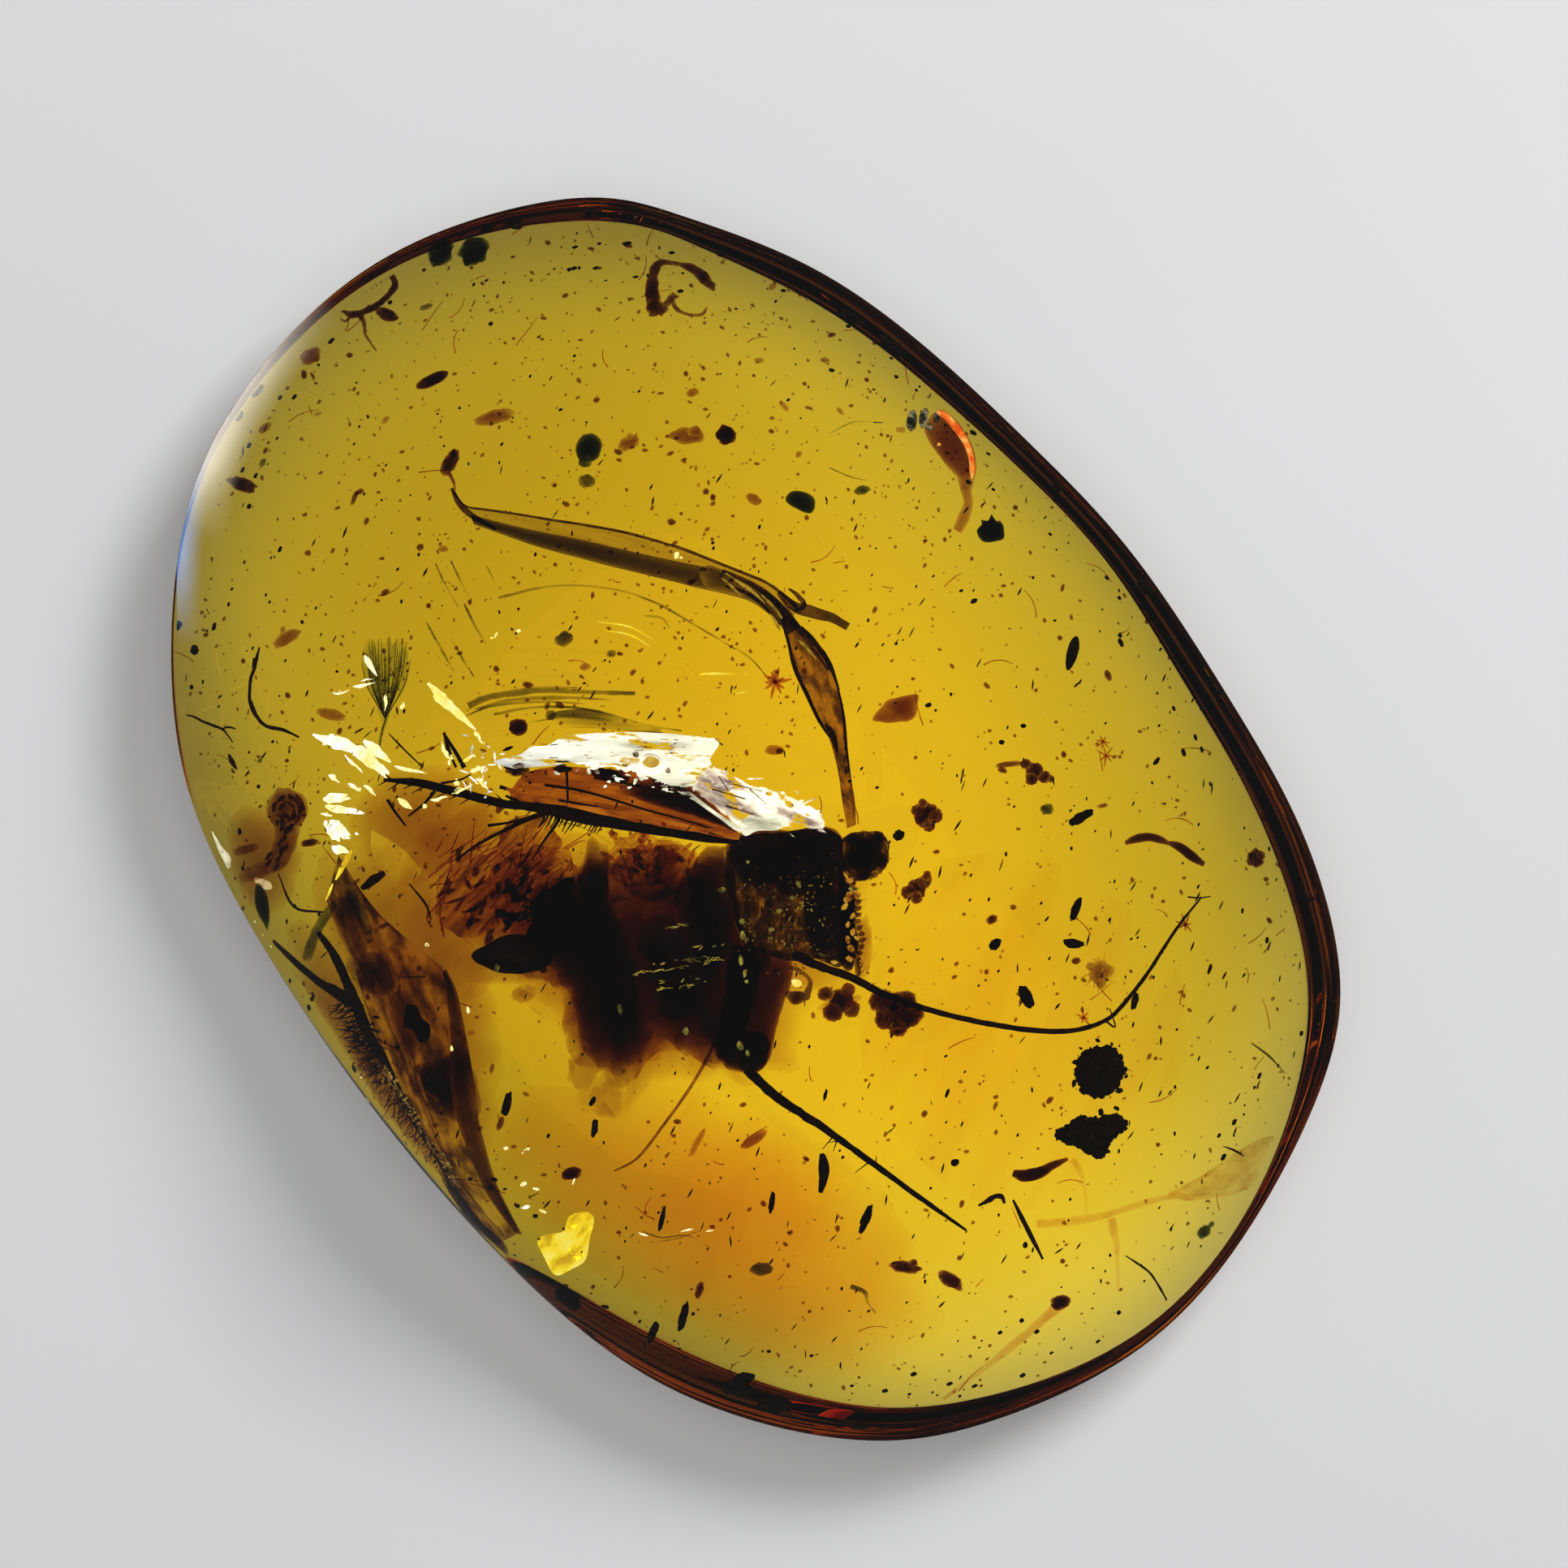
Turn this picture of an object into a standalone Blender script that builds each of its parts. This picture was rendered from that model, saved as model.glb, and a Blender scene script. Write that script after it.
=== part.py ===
"""Insect in amber: a polished amber pebble with an insect and plant litter sealed in it.

Everything is drawn in millimetres on a plan of the stone, with heights above the face it rests on. On the
plan the stone's long axis leans to the left of +Y. The empty named stone_frame turns the plan, so that the
long axis lies along +Y, centres the stone over the origin and brings millimetres to metres.

The amber is parted level with the insect into two halves, and each thing sealed in it lies across that
parting, half in a pocket of each. Threads and films thinner than the parting lie in the parting itself.
"""

import math
import random

import bmesh
import bpy
import numpy as np
from mathutils import Matrix, Vector

MM = 0.001
LEAN = math.radians(41)

THICKNESS = 9.6
PARTING_HEIGHT = 4.0
PARTING_GAP = 0.3
POCKET_CLEARANCE = 0.28
POCKET_SWELL = 0.5  # clearance of a coarse ball, whose flats come nearer than its corners
THREAD_HEIGHT = 0.11  # half height of what lies in the parting, clear of both halves

# The stone's outline, clockwise from its blunt upper end.
OUTLINE = (
    (-5.3, 19.8), (-1.9, 19.2), (2.1, 17.6), (5.9, 14.9), (9.3, 11.7), (12.4, 8.3), (15.4, 3.8),
    (17.6, -0.2), (18.8, -4.3), (18.4, -8.1), (16.1, -12.8), (12.6, -16.7), (7.9, -19.0), (3.4, -19.6),
    (-2.1, -18.1), (-7.0, -14.5), (-12.0, -8.8), (-16.2, -2.4), (-18.0, 2.5), (-18.1, 7.5),
    (-16.9, 12.0), (-13.9, 16.0), (-10.0, 18.6),
)  # fmt: skip
POINTS_PER_SPAN = 3
UPPER_RINGS = 8
LOWER_RINGS = 4

# How the side is worked, by direction round the stone in degrees from the plan's +X: height of the widest
# line, fullness of the dome, softness of the upper edge, the share of the radius that is flat base, and the
# underside's rise, which is 2 for a quarter ellipse and nears 1 for a straight bevel.
SIDES = (
    (0, 3.6, 2.5, 1.0, 0.84, 1.4),  # right: thick
    (50, 3.9, 2.3, 1.0, 0.87, 1.4),  # upper right: thick
    (86, 3.2, 2.5, 1.0, 0.83, 1.4),
    (112, 3.6, 2.9, 1.0, 0.94, 1.5),
    (130, 3.8, 3.0, 1.0, 0.95, 1.6),  # upper left: the base reaches nearly to the edge
    (155, 3.8, 2.9, 1.0, 0.95, 1.8),
    (192, 3.4, 2.6, 1.0, 0.90, 2.0),
    (222, 4.0, 5.0, 0.46, 0.84, 2.0),  # lower left: cut off almost upright
    (262, 3.6, 2.6, 1.0, 0.80, 1.3),  # bottom: rounded well under
    (288, 3.3, 2.7, 1.0, 0.92, 1.4),
    (315, 2.6, 2.7, 1.0, 0.965, 1.6),  # lower right: a thin edge
)
SIDE_BLEND = 9.0  # how closely each direction keeps to its own values

ABDOMEN_TAIL = (-6.7, -4.1)
ABDOMEN_LENGTH = 5.6
ABDOMEN_HALF_WIDTH = 2.95
ABDOMEN_HALF_HEIGHT = 1.6
PLATE_STEP = 0.93
FEELER_LUMPS = ((4.5, -5.6, 0.62), (2.9, -5.0, 0.5))  # place and radius of the swellings on the feeler

# Broken bits of leaf, bark and frass: place on the plan, then length, width and direction in degrees.
CRUMBS = (
    (-4.85, 11.25, 1.0, 0.75, 80),
    (-9.6, 13.5, 1.1, 0.5, 25),
    (-9.0, 11.0, 0.9, 0.4, 60),
    (-7.7, 12.3, 1.2, 0.5, 10),
    (-15.6, 10.6, 1.1, 0.5, -20),
    (-2.0, 11.6, 1.1, 0.5, 0),
    (1.3, 9.6, 0.9, 0.6, -30),
    (7.4, 9.0, 1.0, 0.9, 0),
    (9.8, 5.0, 1.2, 0.4, 70),
    (4.4, 3.3, 1.5, 0.9, 10),
    (8.5, 1.4, 1.0, 0.7, -40),
    (5.3, 0.1, 0.9, 0.9, 0),
    (5.2, -2.0, 0.9, 0.8, 0),
    (15.8, -1.2, 0.8, 0.6, 0),
    (10.6, -4.5, 1.1, 0.9, 20),
    (8.4, -5.3, 0.8, 0.5, -60),
    (10.7, -7.6, 1.7, 1.4, 0),
    (10.4, -9.4, 2.1, 1.3, 5),
    (8.8, -10.5, 1.6, 0.5, 15),
    (2.4, -10.5, 1.3, 0.3, 85),
    (0.4, -9.4, 0.9, 0.4, 30),
    (4.9, -13.5, 1.0, 0.4, -10),
    (6.3, -13.9, 0.9, 0.5, -35),
    (9.8, -14.9, 0.7, 0.6, 0),
)
CRUMB_FLATNESS = 0.75

AMBER = ("amber", (0.72, 0.42, 0.05), 0.08)
DARK_CUTICLE = ("dark_cuticle", (0.045, 0.015, 0.010), 0.35)
BROWN_LEAF = ("brown_leaf", (0.16, 0.09, 0.03), 0.7)
BROWN_FILM = ("brown_film", (0.20, 0.08, 0.02), 0.6)
ORANGE_CUTICLE = ("orange_cuticle", (0.45, 0.10, 0.01), 0.35)
GREY_FIBRE = ("grey_fibre", (0.14, 0.13, 0.07), 0.8)
BLACK_LITTER = ("black_litter", (0.03, 0.02, 0.015), 0.8)


def closed_spline(points, per_span):
    """Points along the closed curve of continuous curvature that passes through the given ones."""
    knots = np.array(points)
    count = len(knots)
    matrix = 4 * np.eye(count) + np.roll(np.eye(count), 1, 0) + np.roll(np.eye(count), -1, 0)
    slopes = np.linalg.solve(matrix, 3 * (np.roll(knots, -1, 0) - np.roll(knots, 1, 0)))
    found = []
    for i in range(count):
        after = (i + 1) % count
        for t in np.arange(per_span) / per_span:
            found.append(
                knots[i] * (2 * t**3 - 3 * t**2 + 1)
                + slopes[i] * (t**3 - 2 * t**2 + t)
                + knots[after] * (3 * t**2 - 2 * t**3)
                + slopes[after] * (t**3 - t**2)
            )
    return [Vector(point) for point in found]


def side_at(direction):
    """The worked side's five values at a direction, blended smoothly between the listed ones."""
    weights = [math.exp(SIDE_BLEND * math.cos(direction - math.radians(row[0]))) for row in SIDES]
    return [
        sum(weight * row[i] for weight, row in zip(weights, SIDES)) / sum(weights) for i in range(1, 6)
    ]


def stone_frame():
    """The empty that carries every piece from the plan's millimetres to the stone's own frame."""
    empty = bpy.data.objects.new("stone_frame", None)
    bpy.context.scene.collection.objects.link(empty)
    turn = Matrix.Rotation(-LEAN, 4, "Z")
    turned = [turn @ point.to_3d() for point in closed_spline(OUTLINE, POINTS_PER_SPAN)]
    middle = [(min(p[i] for p in turned) + max(p[i] for p in turned)) / 2 for i in (0, 1)]
    move = Matrix.Translation((-middle[0] * MM, -middle[1] * MM, 0))
    empty.matrix_world = move @ Matrix.Scale(MM, 4) @ turn
    return empty


def material_of(finish):
    name, colour, roughness = finish
    found = bpy.data.materials.get(name)
    if found:
        return found
    made = bpy.data.materials.new(name)
    made.use_nodes = True
    shader = made.node_tree.nodes["Principled BSDF"]
    shader.inputs["Base Color"].default_value = (*colour, 1)
    shader.inputs["Roughness"].default_value = roughness
    made.diffuse_color = (*colour, 1)
    return made


def place(mesh, name, finish, frame):
    """An object of the bmesh, facing out, in the stone's frame."""
    bmesh.ops.recalc_face_normals(mesh, faces=mesh.faces)
    data = bpy.data.meshes.new(name)
    mesh.to_mesh(data)
    mesh.free()
    data.shade_smooth()
    data.set_sharp_from_angle(angle=math.radians(40))
    data.materials.append(material_of(finish))
    made = bpy.data.objects.new(name, data)
    bpy.context.scene.collection.objects.link(made)
    made.parent = frame
    return made


def bridge(mesh, ring, following):
    """Quads from one ring of vertices to the next, or a fan where either has shrunk to a single one."""
    count = max(len(ring), len(following))
    for i in range(count):
        j = (i + 1) % count
        corners = [ring[i % len(ring)], ring[j % len(ring)]]
        corners += [following[j % len(following)], following[i % len(following)]]
        mesh.faces.new(dict.fromkeys(corners))


def amber_stone():
    """The whole pebble: a dome over a widest line, rounded under to a flat base."""
    mesh = bmesh.new()
    outline = closed_spline(OUTLINE, POINTS_PER_SPAN)
    sides = [side_at(math.atan2(point.y, point.x)) for point in outline]
    rings = [[mesh.verts.new((0, 0, THICKNESS))]]
    for step in range(1, UPPER_RINGS + 1):
        share = math.sin(math.pi / 2 * step / UPPER_RINGS)
        ring = []
        for point, (waist, fullness, softness, _, _) in zip(outline, sides):
            height = waist + (THICKNESS - waist) * (1 - share**fullness) ** softness
            ring.append(mesh.verts.new((point * share).to_3d() + Vector((0, 0, height))))
        rings.append(ring)
    for step in range(LOWER_RINGS - 1, -1, -1):
        along = math.sin(math.pi / 2 * step / LOWER_RINGS)
        ring = []
        for point, (waist, _, _, flat, rise) in zip(outline, sides):
            share = flat + (1 - flat) * along
            height = waist * (1 - (1 - along**rise) ** (1 / rise))
            ring.append(mesh.verts.new((point * share).to_3d() + Vector((0, 0, height))))
        rings.append(ring)
    for ring, following in zip(rings, rings[1:]):
        bridge(mesh, ring, following)
    mesh.faces.new(rings[-1])
    return mesh


def parted(side):
    """The half of the stone above the parting for side 1, or below it for side -1, with a flat face."""
    mesh = amber_stone()
    geometry = mesh.verts[:] + mesh.edges[:] + mesh.faces[:]
    level = PARTING_HEIGHT + side * PARTING_GAP / 2
    bmesh.ops.bisect_plane(
        mesh, geom=geometry, plane_co=(0, 0, level), plane_no=(0, 0, side), clear_inner=True
    )
    bmesh.ops.holes_fill(mesh, edges=[edge for edge in mesh.edges if edge.is_boundary])
    return mesh


def flat_path(points):
    """A plan path as a path level with the parting."""
    return [(x, y, 0) for x, y in points]


def limb(path, widths, heights, sides=8, swell=0.0):
    """A closed oval tube along a path of (x, y, height above the parting), pointed a little at both ends.

    widths and heights are half sizes at each point, across the plan and upright. swell widens and
    lengthens it all round, which makes the pocket for the same limb.
    """
    mesh = bmesh.new()
    points = [Vector((x, y, PARTING_HEIGHT + z)) for x, y, z in path]
    rings = []
    for i, point in enumerate(points):
        along = (points[min(i + 1, len(points) - 1)] - points[max(i - 1, 0)]).normalized()
        across = along.cross(Vector((0, 0, 1))).normalized()
        upright = across.cross(along)
        shift = {0: -swell, len(points) - 1: swell}.get(i, 0) * along
        ring = []
        for step in range(sides):
            turn = 2 * math.pi * (step + 0.5) / sides
            offset = across * (widths[i] + swell) * math.cos(turn)
            offset += upright * (heights[i] + swell) * math.sin(turn)
            ring.append(mesh.verts.new(point + shift + offset))
        rings.append(ring)
    start = (points[0] - points[1]).normalized() * (widths[0] * 0.6 + swell)
    end = (points[-1] - points[-2]).normalized() * (widths[-1] * 0.6 + swell)
    rings.insert(0, [mesh.verts.new(points[0] + start)])
    rings.append([mesh.verts.new(points[-1] + end)])
    for ring, following in zip(rings, rings[1:]):
        bridge(mesh, ring, following)
    return mesh


def thread(path, thick, thin, sides=5):
    """A hair or feeler along a plan path, tapering from thick to thin half sizes, lying in the parting."""
    shares = [i / (len(path) - 1) for i in range(len(path))]
    widths = [thick + (thin - thick) * share for share in shares]
    return limb(flat_path(path), widths, [min(w, THREAD_HEIGHT) for w in widths], sides)


def lump(x, y, size, turn=0.0, seed=0, detail=2, rough=0.18, swell=0.0, z=0.0):
    """A rough ball of the given half sizes, turned by degrees on the plan."""
    mesh = bmesh.new()
    bmesh.ops.create_icosphere(mesh, subdivisions=detail, radius=1)
    pick = random.Random(seed)
    for vert in mesh.verts:
        vert.co *= 1 + rough * pick.uniform(-1, 1)
    sizes = [half + swell for half in size]
    bmesh.ops.scale(mesh, vec=sizes, verts=mesh.verts)
    move = Matrix.Translation((x, y, PARTING_HEIGHT + z)) @ Matrix.Rotation(math.radians(turn), 4, "Z")
    bmesh.ops.transform(mesh, matrix=move, verts=mesh.verts)
    return mesh


def as_helper(made):
    made.hide_render = True
    made.display_type = "WIRE"
    return made


def collection_of(name, meshes, frame):
    """The meshes as hidden helper objects of one collection, for a Boolean to read."""
    found = bpy.data.collections.new(name)
    bpy.context.scene.collection.children.link(found)
    for i, mesh in enumerate(meshes):
        helper = as_helper(place(mesh, f"{name}_{i:02}", BLACK_LITTER, frame))
        bpy.context.scene.collection.objects.unlink(helper)
        found.objects.link(helper)
    return found


def boolean(made, operation, collection):
    modifier = made.modifiers.new(operation.lower(), "BOOLEAN")
    modifier.operation = operation
    modifier.operand_type = "COLLECTION"
    modifier.collection = collection


def fused(name, meshes, finish, frame):
    """One piece grown from several overlapping meshes."""
    made = place(meshes[0], name, finish, frame)
    boolean(made, "UNION", collection_of(f"{name}_part", meshes[1:], frame))
    return made


def abdomen(rings, sides, swell=0.0):
    """The abdomen, blunt at the tail, in plates that each stand a little proud of the next."""
    stations = 2 * rings + 1
    path, widths, heights = [], [], []
    for i in range(stations):
        share = i / (stations - 1)
        bulge = math.sin(math.pi * (0.07 + 0.72 * share)) ** 0.6
        plate = 1.0 if i % 2 else PLATE_STEP
        path.append((ABDOMEN_TAIL[0] + ABDOMEN_LENGTH * share, ABDOMEN_TAIL[1] + 0.4 * share**2, 0))
        widths.append(ABDOMEN_HALF_WIDTH * bulge * plate)
        heights.append(ABDOMEN_HALF_HEIGHT * bulge * plate)
    return limb(path, widths, heights, sides, swell)


def insect_body(swell=0.0, sides=10, rings=7):
    """Abdomen, thorax and head shield, front leg's thick upper part, hind thigh, tip and eye."""
    shield = flat_path([(-1.3, -2.7), (-0.6, -2.6), (1.2, -2.4), (2.4, -2.3), (3.0, -2.4)])
    thigh = flat_path([(0.2, -0.9), (-0.6, -0.3), (-2.0, 0.4), (-3.8, 0.7), (-5.4, 0.6), (-6.0, 0.4)])
    upper_arm = flat_path([(0.5, -3.6), (0.5, -5.0), (0.6, -6.4), (0.5, -7.2)])
    tip = flat_path([(-8.0, -4.1), (-7.4, -4.1), (-6.7, -4.1), (-6.0, -4.1)])
    return [
        abdomen(rings, sides, swell),
        limb(shield, (1.5, 2.1, 2.15, 2.0, 1.5), (1.3, 1.6, 1.7, 1.5, 1.0), sides, swell),
        limb(thigh, (0.4, 0.45, 0.6, 0.8, 0.5, 0.2), (0.5, 0.5, 0.6, 0.6, 0.4, 0.25), 8, swell),
        limb(upper_arm, (0.7, 0.7, 0.6, 0.35), (0.7, 0.7, 0.55, 0.35), 8, swell),
        limb(tip, (0.15, 0.45, 0.5, 0.35), (0.15, 0.4, 0.45, 0.35), 8, swell),
        lump(3.4, -1.1, (0.8, 0.7, 0.7), swell=swell, rough=0.0, detail=1 if swell else 2),
    ]


def insect(frame):
    """The insect: body, feelers, hind shin with its spines, and the thin front leg, grown as one."""
    meshes = insect_body()
    shin = flat_path([(-5.8, 0.4), (-7.2, 0.8), (-8.8, 1.1), (-10.8, 1.5)])
    meshes.append(limb(shin, (0.2, 0.16, 0.13, 0.08), (0.14, 0.14, 0.12, 0.08), 6))
    spines = (
        ((-5.9, 0.3), (-7.3, 1.6)), ((-6.1, 0.4), (-8.4, -1.1)), ((-5.8, 0.3), (-6.4, -1.2)),
        ((-7.4, 0.8), (-8.6, 0.0)), ((-8.6, 1.0), (-9.5, 0.4)),
    )  # fmt: skip
    meshes += [thread(spine, 0.09, 0.04, 4) for spine in spines]
    feeler = (
        (1.6, -3.8), (3.2, -4.7), (5.4, -5.6), (7.2, -6.1), (9.0, -6.35),
        (10.2, -6.25), (11.1, -5.8), (12.0, -4.7), (13.0, -3.3), (13.9, -2.4),
    )  # fmt: skip
    front_shin = ((0.4, -6.9), (1.6, -8.6), (3.1, -9.8), (4.7, -11.0), (7.0, -12.5))
    hair = ((-0.3, -3.6), (-0.6, -5.8), (-1.3, -7.1), (-2.3, -8.7), (-3.3, -9.9), (-4.0, -10.3))
    meshes += [thread(feeler, 0.12, 0.06), thread(front_shin, 0.14, 0.06), thread(hair, 0.08, 0.05, 4)]
    for x, y, radius in FEELER_LUMPS:
        meshes.append(lump(x, y, (radius, radius, radius * 0.7), seed=int(10 * x)))
    return fused("insect", meshes, DARK_CUTICLE, frame)


def insect_pockets():
    lumps = [lump(x, y, (r, r, r), swell=POCKET_SWELL, rough=0, detail=1) for x, y, r in FEELER_LUMPS]
    return insect_body(POCKET_CLEARANCE, sides=8, rings=2) + lumps


def film(corners, thickness=0.16):
    """A thin flat leaf or wing with the given plan corners, lying in the parting."""
    mesh = bmesh.new()
    low = PARTING_HEIGHT - thickness / 2
    face = mesh.faces.new([mesh.verts.new((x, y, low)) for x, y in corners])
    raised = bmesh.ops.extrude_face_region(mesh, geom=[face])
    verts = [item for item in raised["geom"] if isinstance(item, bmesh.types.BMVert)]
    bmesh.ops.translate(mesh, vec=(0, 0, thickness), verts=verts)
    return mesh


def leaf_strip(frame):
    """A curled strip of leaf, broad in two stretches, with a short side twig."""
    path = [
        (-8.8, 9.9), (-8.2, 9.35), (-6.9, 9.0), (-5.6, 8.6), (-3.6, 8.2), (-2.0, 7.7), (-0.9, 7.3),
        (0.4, 6.8), (1.2, 5.8), (1.75, 4.6), (2.2, 3.6), (2.65, 2.5), (2.95, 1.2),
    ]  # fmt: skip
    widths = (0.06, 0.18, 0.36, 0.46, 0.52, 0.48, 0.38, 0.3, 0.4, 0.52, 0.48, 0.3, 0.12)
    strip = limb(flat_path(path), widths, (THREAD_HEIGHT,) * len(path), 6)
    twig = thread([(0.9, 6.3), (2.9, 5.6)], 0.12, 0.1)
    return fused("leaf_strip", [strip, twig], BROWN_LEAF, frame)


def spiny_leg(frame):
    """A broken insect leg with a comb of bristles."""
    shaft = [
        (-14.2, -3.4), (-13.1, -4.3), (-11.6, -5.3), (-10.8, -6.7), (-9.7, -8.4), (-8.8, -9.9), (-8.5, -10.8),
    ]  # fmt: skip
    widths = (0.12, 0.17, 0.18, 0.16, 0.16, 0.16, 0.1)
    meshes = [limb(flat_path(shaft), widths, (THREAD_HEIGHT,) * len(shaft), 6)]
    meshes.append(thread([(-12.7, -2.9), (-11.5, -5.2)], 0.12, 0.12))
    for i in range(9):
        share = i / 8
        root = Vector((-11.2 + 2.4 * share, -5.9 - 3.9 * share))
        tip = root + Vector((-0.95, -0.75 + 0.2 * (i % 3)))
        meshes.append(thread([root, tip], 0.08, 0.04, 4))
    return fused("spiny_leg", meshes, DARK_CUTICLE, frame)


def beetle_fragment(frame):
    """A bent beetle shell with its plated end and a tail, standing across the parting."""
    back = flat_path([(5.3, 12.7), (6.1, 12.3), (6.7, 11.4), (6.8, 10.4)])
    shell = limb(back, (0.25, 0.6, 0.6, 0.25), (0.4, 0.6, 0.6, 0.35), 8)
    tail = thread([(6.8, 10.5), (6.7, 9.6), (6.4, 8.9)], 0.2, 0.1)
    plates = limb(flat_path([(4.6, 12.7), (5.0, 12.8), (5.6, 12.7)]), (0.3, 0.4, 0.3), (0.25, 0.35, 0.3), 6)
    return fused("beetle_fragment", [shell, tail, plates], ORANGE_CUTICLE, frame)


def feathery_tuft(frame):
    """A stalk that opens into a fan of fine plumes."""
    meshes = [thread([(-10.9, 2.4), (-10.8, 3.4), (-10.7, 4.3)], 0.12, 0.28)]
    for x in (-11.9, -11.5, -11.1, -10.7, -10.3, -9.9):
        meshes.append(thread([(-10.75, 3.9), (x * 0.5 - 5.4, 5.0), (x, 5.9)], 0.14, 0.09, 4))
    return fused("feathery_tuft", meshes, GREY_FIBRE, frame)


def stalked_knob(frame):
    """A round knob on a bent stem."""
    meshes = [lump(-14.0, 0.6, (0.72, 0.72, 0.6), seed=5)]
    meshes.append(thread([(-14.0, 0.4), (-14.5, -1.0), (-15.3, -1.5)], 0.28, 0.1))
    return fused("stalked_knob", meshes, BROWN_LEAF, frame)


def curled_fragment(frame):
    """A shred of bark curled into a hook."""
    path = [
        (-1.1, 16.4), (-1.4, 17.0), (-2.1, 17.3), (-2.8, 17.2), (-3.0, 16.2), (-2.8, 15.7), (-1.6, 15.6),
    ]  # fmt: skip
    widths = (0.1, 0.2, 0.16, 0.25, 0.3, 0.18, 0.12)
    shred = limb(flat_path(path), widths, (THREAD_HEIGHT,) * len(path), 6)
    return place(shred, "curled_fragment", BROWN_LEAF, frame)


def forked_fragment(frame):
    """A rootlet with two forks."""
    meshes = [thread([(-10.95, 17.0), (-11.1, 16.6), (-11.5, 16.15), (-12.2, 15.85)], 0.14, 0.1)]
    meshes.append(thread([(-11.65, 16.1), (-11.7, 15.3), (-11.35, 14.6)], 0.12, 0.06))
    meshes.append(thread([(-11.3, 16.4), (-10.95, 15.7)], 0.11, 0.13))
    return fused("forked_fragment", meshes, BLACK_LITTER, frame)


def curved_fragment(frame):
    """A small bent twig, thick at both ends."""
    path = [(11.4, -0.9), (12.4, -0.55), (13.1, -0.9), (13.9, -1.5)]
    twig = limb(flat_path(path), (0.12, 0.2, 0.14, 0.24), (THREAD_HEIGHT,) * len(path), 6)
    return place(twig, "curved_fragment", BROWN_LEAF, frame)


def wing_blade(frame):
    """A torn brown wing, from its tip down to its broad broken base."""
    edge = [
        (-12.4, -0.9), (-11.4, -2.5), (-10.2, -3.8), (-8.8, -4.4), (-8.2, -5.8), (-7.9, -7.6), (-7.7, -9.2),
        (-7.2, -11.0), (-6.9, -12.3), (-7.9, -12.0), (-8.2, -10.6), (-9.2, -8.6), (-10.2, -6.6),
        (-11.1, -4.9), (-12.0, -3.2),
    ]  # fmt: skip
    return place(film(edge), "wing_blade", BROWN_FILM, frame)


def crumb_sizes(length, width):
    return length / 2, width / 2, max(0.2, width / 2 * CRUMB_FLATNESS)


def crumbs(frame):
    for i, (x, y, length, width, turn) in enumerate(CRUMBS):
        detail = 2 if length * width > 0.7 else 1
        mesh = lump(x, y, crumb_sizes(length, width), turn, seed=i, detail=detail)
        place(mesh, f"crumb_{i + 1:02}", BLACK_LITTER, frame)


def pockets():
    """What is taken out of both halves, so that each sealed thing has room all round."""
    meshes = insect_pockets()
    for x, y, length, width, turn in CRUMBS:
        size = crumb_sizes(length, width)
        meshes.append(lump(x, y, size, turn, detail=1, rough=0, swell=POCKET_SWELL))
    shell = flat_path([(4.6, 12.75), (6.1, 12.3), (6.8, 10.6)])
    meshes.append(limb(shell, (0.5, 0.75, 0.35), (0.45, 0.75, 0.4), 6, POCKET_CLEARANCE))
    meshes.append(lump(-14.0, 0.5, (0.8, 0.8, 0.7), detail=1, rough=0, swell=POCKET_SWELL))
    return meshes


def main():
    for old in list(bpy.data.objects):
        bpy.data.objects.remove(old)
    frame = stone_frame()
    cuts = collection_of("pocket", pockets(), frame)
    for name, side in (("amber_upper", 1), ("amber_lower", -1)):
        boolean(place(parted(side), name, AMBER, frame), "DIFFERENCE", cuts)
    insect(frame)
    wing_blade(frame)
    leaf_strip(frame)
    spiny_leg(frame)
    beetle_fragment(frame)
    feathery_tuft(frame)
    stalked_knob(frame)
    curled_fragment(frame)
    forked_fragment(frame)
    curved_fragment(frame)
    crumbs(frame)


main()
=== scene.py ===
"""The looks of the insect in amber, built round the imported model.

Shapes are drawn in millimetres on the stone's plan, as the stone is looked at from above: x to the right,
y up the picture, and z above the face that the stone rests on. TO_ROW turns the plan into the frame's
metres.
"""

import math
import random

import bmesh
import bpy
import numpy as np
from mathutils import Matrix, Vector, noise


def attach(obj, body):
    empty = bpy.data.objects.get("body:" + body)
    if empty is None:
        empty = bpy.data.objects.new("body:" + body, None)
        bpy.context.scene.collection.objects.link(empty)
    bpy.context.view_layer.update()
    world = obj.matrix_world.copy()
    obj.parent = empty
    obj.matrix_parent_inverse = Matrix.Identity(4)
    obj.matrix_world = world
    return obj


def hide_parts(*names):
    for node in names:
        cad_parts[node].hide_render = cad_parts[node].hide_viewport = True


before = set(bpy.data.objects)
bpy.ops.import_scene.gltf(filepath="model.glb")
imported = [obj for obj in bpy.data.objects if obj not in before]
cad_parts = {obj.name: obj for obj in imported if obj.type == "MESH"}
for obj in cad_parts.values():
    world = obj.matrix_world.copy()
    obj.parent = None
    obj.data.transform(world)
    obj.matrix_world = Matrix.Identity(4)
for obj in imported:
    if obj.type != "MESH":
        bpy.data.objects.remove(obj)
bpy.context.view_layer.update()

MM = 0.001
LEAN = math.radians(41)  # how far the stone's long axis leans to the left of the plan's up
PARTING = 4.0  # height that everything sealed in the CAD's two halves lies at
THICKNESS = 9.6

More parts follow.
